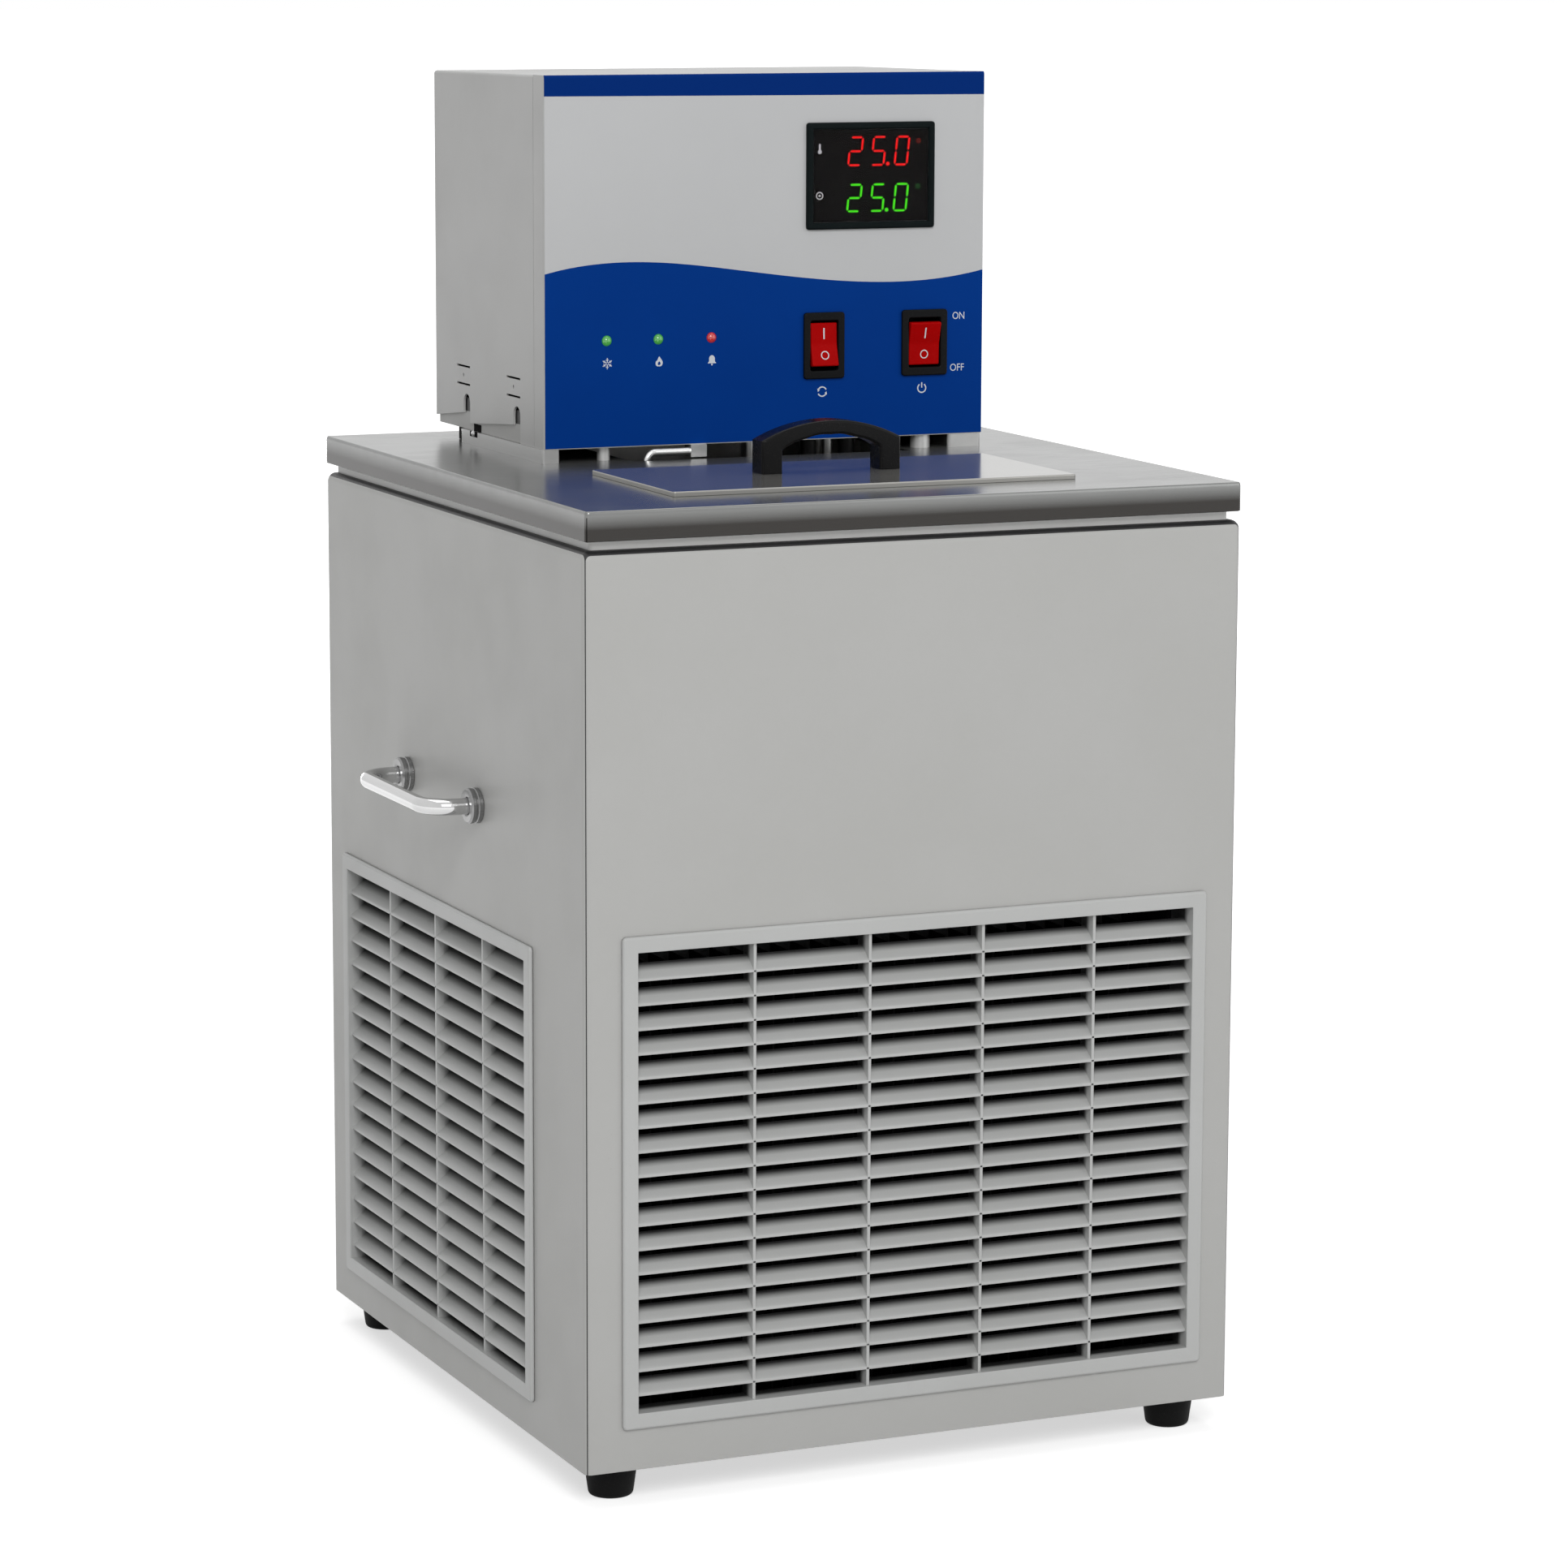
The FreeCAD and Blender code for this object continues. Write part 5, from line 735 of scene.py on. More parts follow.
def make_camera():
    data = bpy.data.cameras.new("camera")
    data.sensor_width = 36.0
    data.lens = FOCAL_PX / PHOTO_WIDTH * data.sensor_width
    data.shift_x = (PHOTO_WIDTH / 2 - CENTRE_PX[0]) / PHOTO_WIDTH
    data.shift_y = (CENTRE_PX[1] - PHOTO_WIDTH / 2) / PHOTO_WIDTH
    data.clip_end = 100
    way = CAMERA_WAY.normalized()
    level = Vector((way.y, -way.x, 0)).normalized()
    upright = level.cross(way)
    right = level * math.cos(CAMERA_ROLL) + upright * math.sin(CAMERA_ROLL)
    up = upright * math.cos(CAMERA_ROLL) - level * math.sin(CAMERA_ROLL)
    turn = Matrix((right, up, -way)).transposed().to_4x4()
    camera = bpy.data.objects.new("camera", data)
    camera.matrix_world = Matrix.Translation(CAMERA_AT) @ turn
    scene.collection.objects.link(camera)
    scene.camera = camera


make_camera()
scene.view_settings.view_transform = "Standard"
print("lens:", round(scene.camera.data.lens, 2), "mm")

# %% [markdown]
# ## Nodes and their finishes
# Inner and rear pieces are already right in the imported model. They stay, and each only gets its
# finish. The others get theirs too, and are replaced further down by pieces of the same size.

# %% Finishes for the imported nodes
FINISH_OF = (
    (SHELL_PAINT, "cabinet_shell"),
    (REAR_PAINT, "rear_panel"),
    (INNER_PAINT, "base_pan fan_shroud"),
    (GRILLE_PAINT, "front_grille left_grille right_grille"),
    (NECK_PAINT, "neck_frame"),
    (HEAD_PAINT, "head_cover head_front_panel"),
    (TRAY_PAINT, "head_base"),
    (FILM_WHITE, "panel_overlay"),
    (FILM_BLUE, "panel_blue_print"),
    (BLACK_FINS_AND_SHADE, "condenser"),
    (CAN_PAINT, "pump_motor fan_motor compressor"),
    (WORKTOP_STEEL, "worktop"),
    (LID_STEEL, "lid"),
    (BAR_STEEL, "left_handle_bar right_handle_bar"),
    (COLLAR_STEEL, "handle_collars"),
    (POST_STEEL, "head_posts"),
    (TUBE_STEEL, "level_tube"),
    (SCREW_STEEL, "case_screws foot_screws lid_handle_screws"),
    (SATIN_STEEL, "bath_tank left_head_rail right_head_rail pump_shaft pump_housing heater"),
    (SATIN_STEEL, "temperature_probe evaporator_coil hose_nozzles"),
    (COPPER, "refrigerant_lines"),
    (PLATED_BRASS, "drain_valve_body"),
    (SOFT_BLACK, "lid_handle"),
    (BEZEL_PLASTIC, "display_case"),
    (MODULE_PLASTIC, "upper_digits lower_digits"),
    (BLACK_PLASTIC, "pump_switch_case power_switch_case pump_posts drain_valve_lever"),
    (BLACK_PLASTIC, "fan_blades power_inlet"),
    (RED_PLASTIC, "pump_switch_rocker power_switch_rocker"),
    (RUBBER, "front_left_foot front_right_foot rear_left_foot rear_right_foot"),
    (RUBBER, "compressor_mounts"),
    (FOAM, "tank_insulation"),
    (BOARD_GREEN, "control_board"),
    (GREEN_LENS, "green_lamps"),
    (RED_LENS, "red_lamp"),
    (WINDOW, "display_window"),
)
finished_nodes = 0
for material, names in FINISH_OF:
    for name in names.split():
        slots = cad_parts[name].data.materials
        slots.clear()
        slots.append(material)
        finished_nodes += 1
print("packed nodes with a finish:", finished_nodes, "of", len(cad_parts))

# %% [markdown]
# ## Rings, sections and rows
# A grille frame, a display bezel and a rolled worktop edge are one idea: a cross section carried
# round a rectangle. Each point of the section is a distance in from the outer edge and a height,
# and each gives one rounded rectangle. Skinning those rectangles in order closes the piece. What
# repeats in a line, such as slats and ribs, is set out by a small node tree of its own.

# %% Sections with soft corners
def rounded(corners, radius, closed=True, steps=4):
    """A flat outline whose corners are eased by the radius, as far as their sides allow."""
    points = []
    last = len(corners) - 1
    for index, corner in enumerate(corners):
        if not closed and index in (0, last):
            points.append(tuple(corner))
            continue
        here = Vector(corner)
        back = Vector(corners[index - 1]) - here
        on = Vector(corners[(index + 1) % (last + 1)]) - here
        start = here + back.normalized() * min(radius, back.length * 0.45)
        end = here + on.normalized() * min(radius, on.length * 0.45)
        for step in range(steps + 1):
            t = step / steps
            point = start * (1 - t) ** 2 + here * 2 * t * (1 - t) + end * t ** 2
            points.append(tuple(point))
    return points


def bridge(work, rings):
    """Faces between each ring of points and the next."""
    for lower, upper in zip(rings, rings[1:]):
        for index in range(len(lower)):
            after = (index + 1) % len(lower)
            work.faces.new((lower[index], lower[after], upper[after], upper[index]))


def skin(work, rings, closed):
    """Rings bridged round to the first again, or capped at both ends."""
    bridge(work, rings + rings[:1] if closed else rings)
    if not closed:
        work.faces.new(rings[0])
        work.faces.new(rings[-1])


def edge_ring(work, sides, inset, height, corner, steps):
    """One rounded rectangle of points, set in from the sides (u0, u1, v0, v1)."""
    u0, u1, v0, v1 = sides
    outline = rectangle(u0 + inset, u1 - inset, v0 + inset, v1 - inset, corner, steps)
    return [work.verts.new((u, v, height)) for u, v in outline]


def ring_frame(name, sides, section, place, corner, closed=True, least=0.2 * MM):
    """The section of (inset, height) points carried round a rectangle (u0, u1, v0, v1)."""
    work = bmesh.new()
    rings = [edge_ring(work, sides, inset, height, max(corner - inset, least), 5)
             for inset, height in section]
    skin(work, rings, closed)
    return finished(name, work, place)


def prism(name, section, u0, u1, place):
    """A section of (out of the face, up) points drawn along the face's first direction."""
    work = bmesh.new()
    rings = [[work.verts.new((u, v, out)) for out, v in section] for u in (u0, u1)]
    skin(work, rings, False)
    return finished(name, work, place)


# %% A node tree that repeats a piece in a row
def make_row_tree():
    tree = bpy.data.node_groups.new("repeat in a row", "GeometryNodeTree")
    tree.interface.new_socket("Geometry", in_out="OUTPUT", socket_type="NodeSocketGeometry")
    for label, kind in (("Piece", "Object"), ("Count", "Int"), ("Start", "Vector"),
                        ("Step", "Vector"), ("Material", "Material")):
        tree.interface.new_socket(label, in_out="INPUT", socket_type="NodeSocket" + kind)
    start = tree.nodes.new("NodeGroupInput")
    line = add_node(tree, "GeometryNodeMeshLine", mode="OFFSET")
    piece = add_node(tree, "GeometryNodeObjectInfo")
    copies = add_node(tree, "GeometryNodeInstanceOnPoints")
    solid = add_node(tree, "GeometryNodeRealizeInstances")
    coat = add_node(tree, "GeometryNodeSetMaterial")
    end = tree.nodes.new("NodeGroupOutput")
    for source, target in (
        (start.outputs["Count"], line.inputs["Count"]),
        (start.outputs["Start"], line.inputs["Start Location"]),
        (start.outputs["Step"], line.inputs["Offset"]),
        (start.outputs["Piece"], piece.inputs["Object"]),
        (line.outputs["Mesh"], copies.inputs["Points"]),
        (piece.outputs["Geometry"], copies.inputs["Instance"]),
        (copies.outputs["Instances"], solid.inputs["Geometry"]),
        (solid.outputs["Geometry"], coat.inputs["Geometry"]),
        (start.outputs["Material"], coat.inputs["Material"]),
        (coat.outputs["Geometry"], end.inputs["Geometry"]),
    ):
        tree.links.new(source, target)
    return tree


ROW = make_row_tree()


def in_a_row(name, piece, count, step, material, start):
    host = new_piece(name + ".host", bpy.data.meshes.new(name + ".host"))
    modifier = host.modifiers.new("row", "NODES")
    modifier.node_group = ROW
    values = {"Piece": piece, "Count": count, "Start": start, "Step": step, "Material": material}
    for item in ROW.interface.items_tree:
        if item.in_out == "INPUT":
            modifier[item.identifier] = values[item.name]
    mesh = mesh_of(host)
    bpy.data.objects.remove(piece)
    return new_piece(name, mesh)


print("row tree inputs:", [item.name for item in ROW.interface.items_tree])

# %% [markdown]
# ## Grilles
# Each grille is one moulding: a frame that stands a little proud of the sheet, walls that reach
# back through the cut-out, thin upright ribs, and slats that climb inward so that air passes and
# a look from above meets plastic. The slat has a short upright lip that catches the light.

# %% Grille sizes
GRILLE_FRAME = 7.2 * MM
GRILLE_PROUD = 2.0 * MM
GRILLE_DEPTH = 12.0 * MM
GRILLE_WALL = 1.6 * MM
GRILLE_SOFT = 0.8 * MM
SLAT_RISE = 5.6 * MM
SLAT_DEPTH = 7.5 * MM
SLAT_THICK = 1.4 * MM
SLAT_LIP = 1.05 * MM
RIB_THICK = 1.5 * MM
TUCK = 0.5 * MM


def grille_section():
    """From the sheet round the frame's face, back along the inner wall and out again."""
    face = GRILLE_PROUD
    inner = GRILLE_FRAME
    outer_side = [(0, 0), (0, face - GRILLE_SOFT), (GRILLE_SOFT, face)]
    outer_side = rounded(outer_side + [(inner - 0.35 * MM, face)], 0.45 * MM, closed=False)
    return outer_side + [(inner, face - 0.35 * MM), (inner, -GRILLE_DEPTH),
                         (inner - GRILLE_WALL, -GRILLE_DEPTH), (inner - GRILLE_WALL, 0)]


def slat_section():
    corners = [(0, 0), (0, SLAT_LIP), (-0.4 * MM, SLAT_LIP + 0.42 * MM),
               (-SLAT_DEPTH * 0.5, SLAT_RISE * 0.5 + SLAT_THICK - 0.25 * MM),
               (-SLAT_DEPTH, SLAT_RISE + SLAT_THICK), (-SLAT_DEPTH, SLAT_RISE)]
    return rounded(corners, 0.18 * MM, steps=2)


def grille(side, at, size, slats, ribs):
    """Slats are (count, lowest, pitch) and ribs (count, first from the left edge, pitch)."""
    name = "grille_" + side
    width, height = size
    half = width / 2
    inner = half - GRILLE_FRAME
    frame_ring = ring_frame(name + ".frame", (-half, half, 0, height), grille_section(),
                            Matrix(), 2.0 * MM)
    slat = prism(name + ".slat", slat_section(), -inner - TUCK, inner + TUCK, Matrix())
    count, lowest, pitch = slats
    slat_row = in_a_row(name + ".slats", slat, count, (0, pitch, 0), GRILLE_PAINT, (0, lowest, 0))
    low = GRILLE_FRAME - TUCK
    rib = soft_block(name + ".rib", (-RIB_THICK / 2, low, -GRILLE_DEPTH),
                     (RIB_THICK / 2, height - low, 0.0), 0.25 * MM, 2)
    count, first, pitch = ribs
    rib_row = in_a_row(name + ".ribs", rib, count, (pitch, 0, 0), GRILLE_PAINT,
                       (-half + first, 0, 0))
    whole = joined(name, [frame_ring, slat_row, rib_row])
    whole.data.transform(facing(side, at))
    dress(whole, GRILLE_PAINT, "cabinet_paint", side + "_grille")
    print(name, "faces:", len(whole.data.polygons))


# %% The three grilles
front_low, front_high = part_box("front_grille")
side_low, side_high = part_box("left_grille")
shell_low, shell_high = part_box("cabinet_shell")
FRONT_FACE = shell_low.y
SIDE_FACE = shell_high.x
FRONT_SLATS = (18, 14.6 * MM, 11.0 * MM)
FRONT_RIBS = (4, 63.4 * MM, 55.8 * MM)
SIDE_SLATS = (16, 13.0 * MM, 11.8 * MM)
LEFT_RIBS = (3, 65.0 * MM, 63.2 * MM)
RIGHT_RIBS = (3, 65.6 * MM, 63.2 * MM)
middle = (side_low.y + side_high.y) / 2
side_size = (side_high.y - side_low.y, side_high.z - side_low.z)
grille("front", ((front_low.x + front_high.x) / 2, FRONT_FACE, front_low.z),
       (front_high.x - front_low.x, front_high.z - front_low.z), FRONT_SLATS, FRONT_RIBS)
grille("left", (-SIDE_FACE, middle, side_low.z), side_size, SIDE_SLATS, LEFT_RIBS)
grille("right", (SIDE_FACE, middle, side_low.z), side_size, SIDE_SLATS, RIGHT_RIBS)

# %% [markdown]
# ## Feet
# Four tapered rubber feet, turned in one piece: a rounded tread, a straight draft so the mould
# lets go, and a recess underneath that hides the screw head.

# %% Feet
FOOT_H = 16.0 * MM
FOOT_TOP_R = 12.2 * MM
FOOT_LOW_R = 10.2 * MM
FOOT_EDGE = 2.0 * MM


def foot_profile():
    """The recess under the foot, then the outside from the tread up to the flat top."""
    outer = rounded([(6.2 * MM, 0), (FOOT_LOW_R - 0.2 * MM, 0),
                     (FOOT_TOP_R - 0.1 * MM, FOOT_H - 0.6 * MM), (FOOT_TOP_R - 0.5 * MM, FOOT_H),
                     (0, FOOT_H)], FOOT_EDGE, closed=False, steps=6)
    recess = in_mm([(0, 10.0), (4.6, 10.0), (5.0, 9.6), (5.0, 0.5), (5.4, 0.1)])
    return recess + outer


for side_x in ("left", "right"):
    for end_y in ("front", "rear"):
        node_name = f"{end_y}_{side_x}_foot"
        low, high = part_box(node_name)
        place = Matrix.Translation(((low.x + high.x) / 2, (low.y + high.y) / 2, 0))
        foot = turned("foot_" + end_y + "_" + side_x, foot_profile(), place, 64)
        dress(foot, RUBBER, "rubber", node_name)
        print(node_name, "at", [round(value / MM, 1) for value in place.translation])

# %% [markdown]
# ## Carrying handles
# A round bar bent twice and polished, set into turned collars that spread its load on the thin
# side sheet. The collar has a chamfer at both ends and one shallow groove.

# %% Handles
HANDLE_Y = -8.5 * MM
HANDLE_Z = 295.3 * MM
HANDLE_HALF = 47.0 * MM
HANDLE_REACH = 24.0 * MM
HANDLE_BEND = 13.0 * MM
BAR_RADIUS = 3.8 * MM
COLLAR_PROFILE = in_mm([(3.85, 0.0), (7.7, 0.0), (8.15, 0.4), (8.15, 2.2), (7.85, 2.5),
                        (7.85, 3.3), (8.15, 3.6), (8.15, 5.1), (7.4, 5.95), (5.0, 6.0),
                        (4.2, 5.6), (3.85, 5.0)])


def handle_bar(name, side):
    x_in = side * (SIDE_FACE - 4.0 * MM)
    x_out = side * (SIDE_FACE + HANDLE_REACH)
    ends = (HANDLE_Y - HANDLE_HALF, HANDLE_Y + HANDLE_HALF)
    corners = [(x_in, ends[0], HANDLE_Z), (x_out, ends[0], HANDLE_Z),
               (x_out, ends[1], HANDLE_Z), (x_in, ends[1], HANDLE_Z)]
    return tube("handle_bar_" + name, bent_path(corners, HANDLE_BEND, 16), BAR_RADIUS, 9)


collars = []
for name, side in (("left", -1), ("right", 1)):
    dress(handle_bar(name, side), BAR_STEEL, "polished_steel", name + "_handle_bar")
    for y in (HANDLE_Y - HANDLE_HALF, HANDLE_Y + HANDLE_HALF):
        place = facing(name, (side * SIDE_FACE, y, HANDLE_Z))
        collars.append(turned("collar", COLLAR_PROFILE, place, 72))
print("collars:", len(collars))
dress(joined("handle_collar_set", collars), COLLAR_STEEL, "polished_steel", "handle_collars")

# %% [markdown]
# ## Worktop
# One sheet of steel, its four edges rolled over and folded down, with an opening for the lid and
# one under the head. The roll carries a bright line along every edge. At the corners the folded
# skirts meet in a fine upright slit.

# %% Worktop sizes
top_low, top_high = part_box("worktop")
TOP_Z = top_high.z
TOP_SHEET = 1.0 * MM
TOP_CORNER = 2.0 * MM
LEAST_CORNER = 0.4 * MM
LID_HOLE = (-93.0 * MM, 85.0 * MM, -141.0 * MM, -61.0 * MM)
HEAD_HOLE = (-64.0 * MM, 78.0 * MM, -7.0 * MM, 83.0 * MM)
HOLE_CORNER = 1.0 * MM
ROLL_RADIUS = 2.0 * MM
HEM = 12.0 * MM
SLIT_HALF = 0.2 * MM
SLIT_HIGH = 10.6 * MM
HOLE_EDGE = ((0.15 * MM, 0), (0.04 * MM, 0.04 * MM), (0, 0.15 * MM), (0, TOP_SHEET))
print("worktop at", round(TOP_Z / MM, 1), "mm")


# %% The folded sheet
def face_between(work, outer, holes):
    """A flat face with holes, cut into triangles that use the loops' own points."""
    loops = [outer] + holes
    points = [vert for loop in loops for vert in loop]
    flat = [[vert.co.copy() for vert in loop] for loop in loops]
    for corners in tessellate_polygon(flat):
        work.faces.new([points[index] for index in corners])


def worktop_mesh():
    height = TOP_Z - top_low.z
    roll = rounded([(0, 0.5 * MM), (0, height), (2.3 * MM, height)], ROLL_RADIUS,
                   closed=False, steps=8)
    low_roll = [(0.35 * MM, 0.12 * MM), (0.1 * MM, 0.25 * MM)]
    inside = [(TOP_SHEET, height - TOP_SHEET), (TOP_SHEET, TOP_SHEET),
              (HEM, TOP_SHEET), (HEM, 0), (0.7 * MM, 0)]
    work = bmesh.new()
    sides = (top_low.x, top_high.x, top_low.y, top_high.y)
    rings = [edge_ring(work, sides, inset, top_low.z + z, max(TOP_CORNER - inset, LEAST_CORNER), 6)
             for inset, z in low_roll + roll + inside]
    outer = rings[:-len(inside)]
    inner = rings[-len(inside):]
    upper = []
    lower = []
    for hole in (LID_HOLE, HEAD_HOLE):
        walls = [edge_ring(work, hole, -ease, TOP_Z - drop, HOLE_CORNER + ease, 6)
                 for ease, drop in HOLE_EDGE]
        bridge(work, walls)
        upper.append(walls[0])
        lower.append(walls[-1])
    face_between(work, outer[-1], upper)
    face_between(work, inner[0], lower)
    bridge(work, inner + outer)
    return finished("worktop_sheet", work, Matrix())


# %% Slits where the skirts meet
def combined(piece, other, operation):
    """Two closed solids made into one."""
    modifier = piece.modifiers.new("with", "BOOLEAN")
    modifier.operation = operation
    modifier.object = other
    modifier.solver = "EXACT"
    name = piece.name
    mesh = mesh_of(piece)
    bpy.data.objects.remove(other)
    return new_piece(name, mesh)


def cut_away(piece, cutters):
    """The piece with the cutters' shapes taken out of it."""
    return even_shading(combined(piece, joined("cutter", cutters), "DIFFERENCE"))


def corner_slits():
    slits = []
    inward = TOP_CORNER * (1 - math.sqrt(0.5))
    for y in (top_low.y, top_high.y):
        for x in (top_low.x, top_high.x):
            slit = soft_block("slit", (-0.6 * MM, -SLIT_HALF, -2 * MM),
                              (2.0 * MM, SLIT_HALF, SLIT_HIGH), 0.02 * MM, 1)
            centre = (x - math.copysign(inward, x), y - math.copysign(inward, y), top_low.z)
            angle = math.copysign(math.pi / 4, x * y) + (0 if x > 0 else math.pi)
            turn = Matrix.Rotation(angle, 4, "Z")
            slit.data.transform(Matrix.Translation(centre) @ turn)
            slits.append(slit)
    return slits


sheet = cut_away(worktop_mesh(), corner_slits())
dress(sheet, WORKTOP_STEEL, "steel", "worktop")
print("worktop faces:", len(sheet.data.polygons))

# %% [markdown]
# ## Lid and its handle
# The lid is a shallow pan pressed from thin sheet, so its top is a flat mirror with a soft rim.
# A moulded black bridge is screwed to it from below. The bridge is drawn as one arched outline
# and given a thickness; under the crown it has the slight scallops that fingers rest in.

# %% Lid
lid_low, lid_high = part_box("lid")
LID_RISE = lid_high.z - lid_low.z
LID_SHEET = 0.8 * MM
LID_CORNER = 1.5 * MM


def lid_pan():
    rim = rounded([(0, 0.15 * MM), (0, LID_RISE), (1.2 * MM, LID_RISE)], 0.7 * MM,
                  closed=False, steps=6)
    section = [(LID_SHEET, LID_RISE - LID_SHEET), (LID_SHEET, 0.1 * MM), (0.65 * MM, 0),
               (0.15 * MM, 0)] + rim
    place = Matrix.Translation((0, 0, lid_low.z))
    return ring_frame("lid_pan", (lid_low.x, lid_high.x, lid_low.y, lid_high.y), section, place,
                      LID_CORNER, closed=False, least=0.3 * MM)


dress(lid_pan(), LID_STEEL, "steel", "lid")
print("lid top at", round(lid_high.z / MM, 1), "mm")

# %% Lid handle
BRIDGE_LEG = 10.2 * MM
BRIDGE_SUNK = -0.8 * MM
BRIDGE_SIDE = 15.0 * MM
BRIDGE_CROWN = 23.5 * MM
GRIP_SIDE = 10.6 * MM
GRIP_CROWN = 16.9 * MM
SCALLOP_DEPTH = 0.4 * MM


def arch(half, side_height, crown_height, steps, scallops=0, depth=0.0):
    """Points from right to left over a flat arch, with shallow scallops if asked for."""
    rise = crown_height - side_height
    radius = (half ** 2 + rise ** 2) / (2 * rise)
    reach = math.asin(half / radius)
    points = []
    for index in range(steps + 1):
        share = index / steps
        angle = reach * (1 - 2 * share)
        wave = depth * abs(math.sin(math.pi * scallops * share)) if scallops else 0.0
        points.append((radius * math.sin(angle),
                       crown_height - radius + radius * math.cos(angle) + wave))
    return points


def lid_handle():
    grip_low, grip_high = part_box("lid_handle")
    half = (grip_high.x - grip_low.x) / 2
    grip = half - BRIDGE_LEG
    outer = arch(half, BRIDGE_SIDE, BRIDGE_CROWN, 36)
    inner = arch(grip, GRIP_SIDE, GRIP_CROWN, 40, 4, SCALLOP_DEPTH)
    corners = [(half, BRIDGE_SUNK)] + outer + [(-half, BRIDGE_SUNK), (-grip, BRIDGE_SUNK)]
    corners += inner[::-1] + [(grip, BRIDGE_SUNK)]
    middle = (grip_low.x + grip_high.x) / 2
    place = facing("front", (middle, grip_low.y, grip_low.z))
    return plate("lid_bridge", [corners], grip_high.y - grip_low.y, 1.3 * MM, place, 4)


dress(lid_handle(), SOFT_BLACK, "black_plastic", "lid_handle")
print("crown of the handle:", round(BRIDGE_CROWN / MM, 1), "mm above its foot")

# %% [markdown]
# ## Display
# A moulded case sits in the panel with a bevelled rim. Behind the dark window lies a black card,
# and two seven-segment modules shine through it. One digit is seven bars with mitred ends,
# leaning six degrees; a table of letters says which bars are lit.

# %% Display case
FILM_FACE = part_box("panel_overlay")[0].y
case_low, case_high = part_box("display_case")
SLEEVE_IN = 5.2 * MM
SLEEVE_OUT = 4.0 * MM
LIP_IN = 3.3 * MM
LEDGE = -0.1 * MM
RIM_OUT = 2.2 * MM
RIM_CORNER = 1.4 * MM
CASE_DEPTH = case_high.y - FILM_FACE
CASE_WALL = 1.2 * MM


def display_case():
    sides = (case_low.x, case_high.x, case_low.z, case_high.z)
    rim = rounded([(0, 0), (0, 1.4 * MM), (0.8 * MM, RIM_OUT), (2.5 * MM, RIM_OUT),
                   (LIP_IN, 1.5 * MM), (LIP_IN, LEDGE)], 0.3 * MM, closed=False)
    inner = [(SLEEVE_IN, LEDGE), (SLEEVE_IN, CASE_WALL - CASE_DEPTH),
             (SLEEVE_OUT, CASE_WALL - CASE_DEPTH), (SLEEVE_OUT, LEDGE - 0.4 * MM)]
    place = facing("front", (0, FILM_FACE, 0))
    case = ring_frame("display_rim", sides, rim + inner, place, RIM_CORNER)
    back_low = (case_low.x + SLEEVE_OUT, case_high.y - CASE_WALL, case_low.z + SLEEVE_OUT)
    back_high = (case_high.x - SLEEVE_OUT, case_high.y, case_high.z - SLEEVE_OUT)
    return joined("display_housing", [case, soft_block("back", back_low, back_high, 0.2 * MM)])


def behind_lip(name, front, back, edge):
    """A sheet that fills the space inside the lip, between two heights over the film."""
    inset = LIP_IN + 0.1 * MM
    low = (case_low.x + inset, FILM_FACE - front, case_low.z + inset)
    high = (case_high.x - inset, FILM_FACE - back, case_high.z - inset)
    return soft_block(name, low, high, edge, 2)


dress(display_case(), BEZEL_PLASTIC, "black_plastic", "display_case")
dress(behind_lip("display_pane", 1.25 * MM, 0.6 * MM, 0.1 * MM), WINDOW, "window", "display_window")
dress(behind_lip("display_card", 0.25 * MM, -0.05 * MM, 0.05 * MM), MODULE_PLASTIC, "black_plastic")
print("display case:", round(CASE_DEPTH / MM, 1), "mm deep")

# %% Sizes of the digits
BAR = 1.0 * MM
BAR_SPREAD = 3.15 * MM
BAR_GAP = 0.34 * MM
LEAN = 0.107
LIT_BARS = {"0": "abcdef", "2": "abged", "5": "afgcd"}
SHOWN = "250"
SEGMENT_THICK = 0.25 * MM
POINT_RADIUS = 0.95 * MM
UPPER_ROW = (579.0 * MM, 593.1 * MM)
LOWER_ROW = (557.3 * MM, 570.8 * MM)
DIGIT_AT = (50.9 * MM, 62.9 * MM, 75.0 * MM)
POINT_AT = 67.6 * MM
CARD_FACE = FILM_FACE - 0.25 * MM
print("digits", round((UPPER_ROW[1] - UPPER_ROW[0]) / MM, 1), "mm high")


# %% Bars, digits and rows
def lit_bar(start, end):
    start = Vector(start)
    end = Vector(end)
    way = (end - start).normalized()
    side = Vector((-way.y, way.x)) * BAR / 2
    tips = (start + way * BAR_GAP, end - way * BAR_GAP)
    inner = (tips[0] + way * BAR / 2, tips[1] - way * BAR / 2)
    return rounded([tips[0], inner[0] - side, inner[1] - side, tips[1], inner[1] + side,
                    inner[0] + side], 0.3 * MM, steps=3)


def digit_outlines(symbol, x, low, high):
    half = (high - low) / 2 - BAR / 2
    middle = (low + high) / 2
    w = BAR_SPREAD
    ends = {"a": ((-w, half), (w, half)), "b": ((w, half), (w, 0)), "c": ((w, 0), (w, -half)),
            "d": ((w, -half), (-w, -half)), "e": ((-w, -half), (-w, 0)),
            "f": ((-w, 0), (-w, half)), "g": ((-w, 0), (w, 0))}
    outlines = []
    for bar in LIT_BARS[symbol]:
        outlines.append([(x + u + LEAN * v, middle + v) for u, v in lit_bar(*ends[bar])])
    return outlines


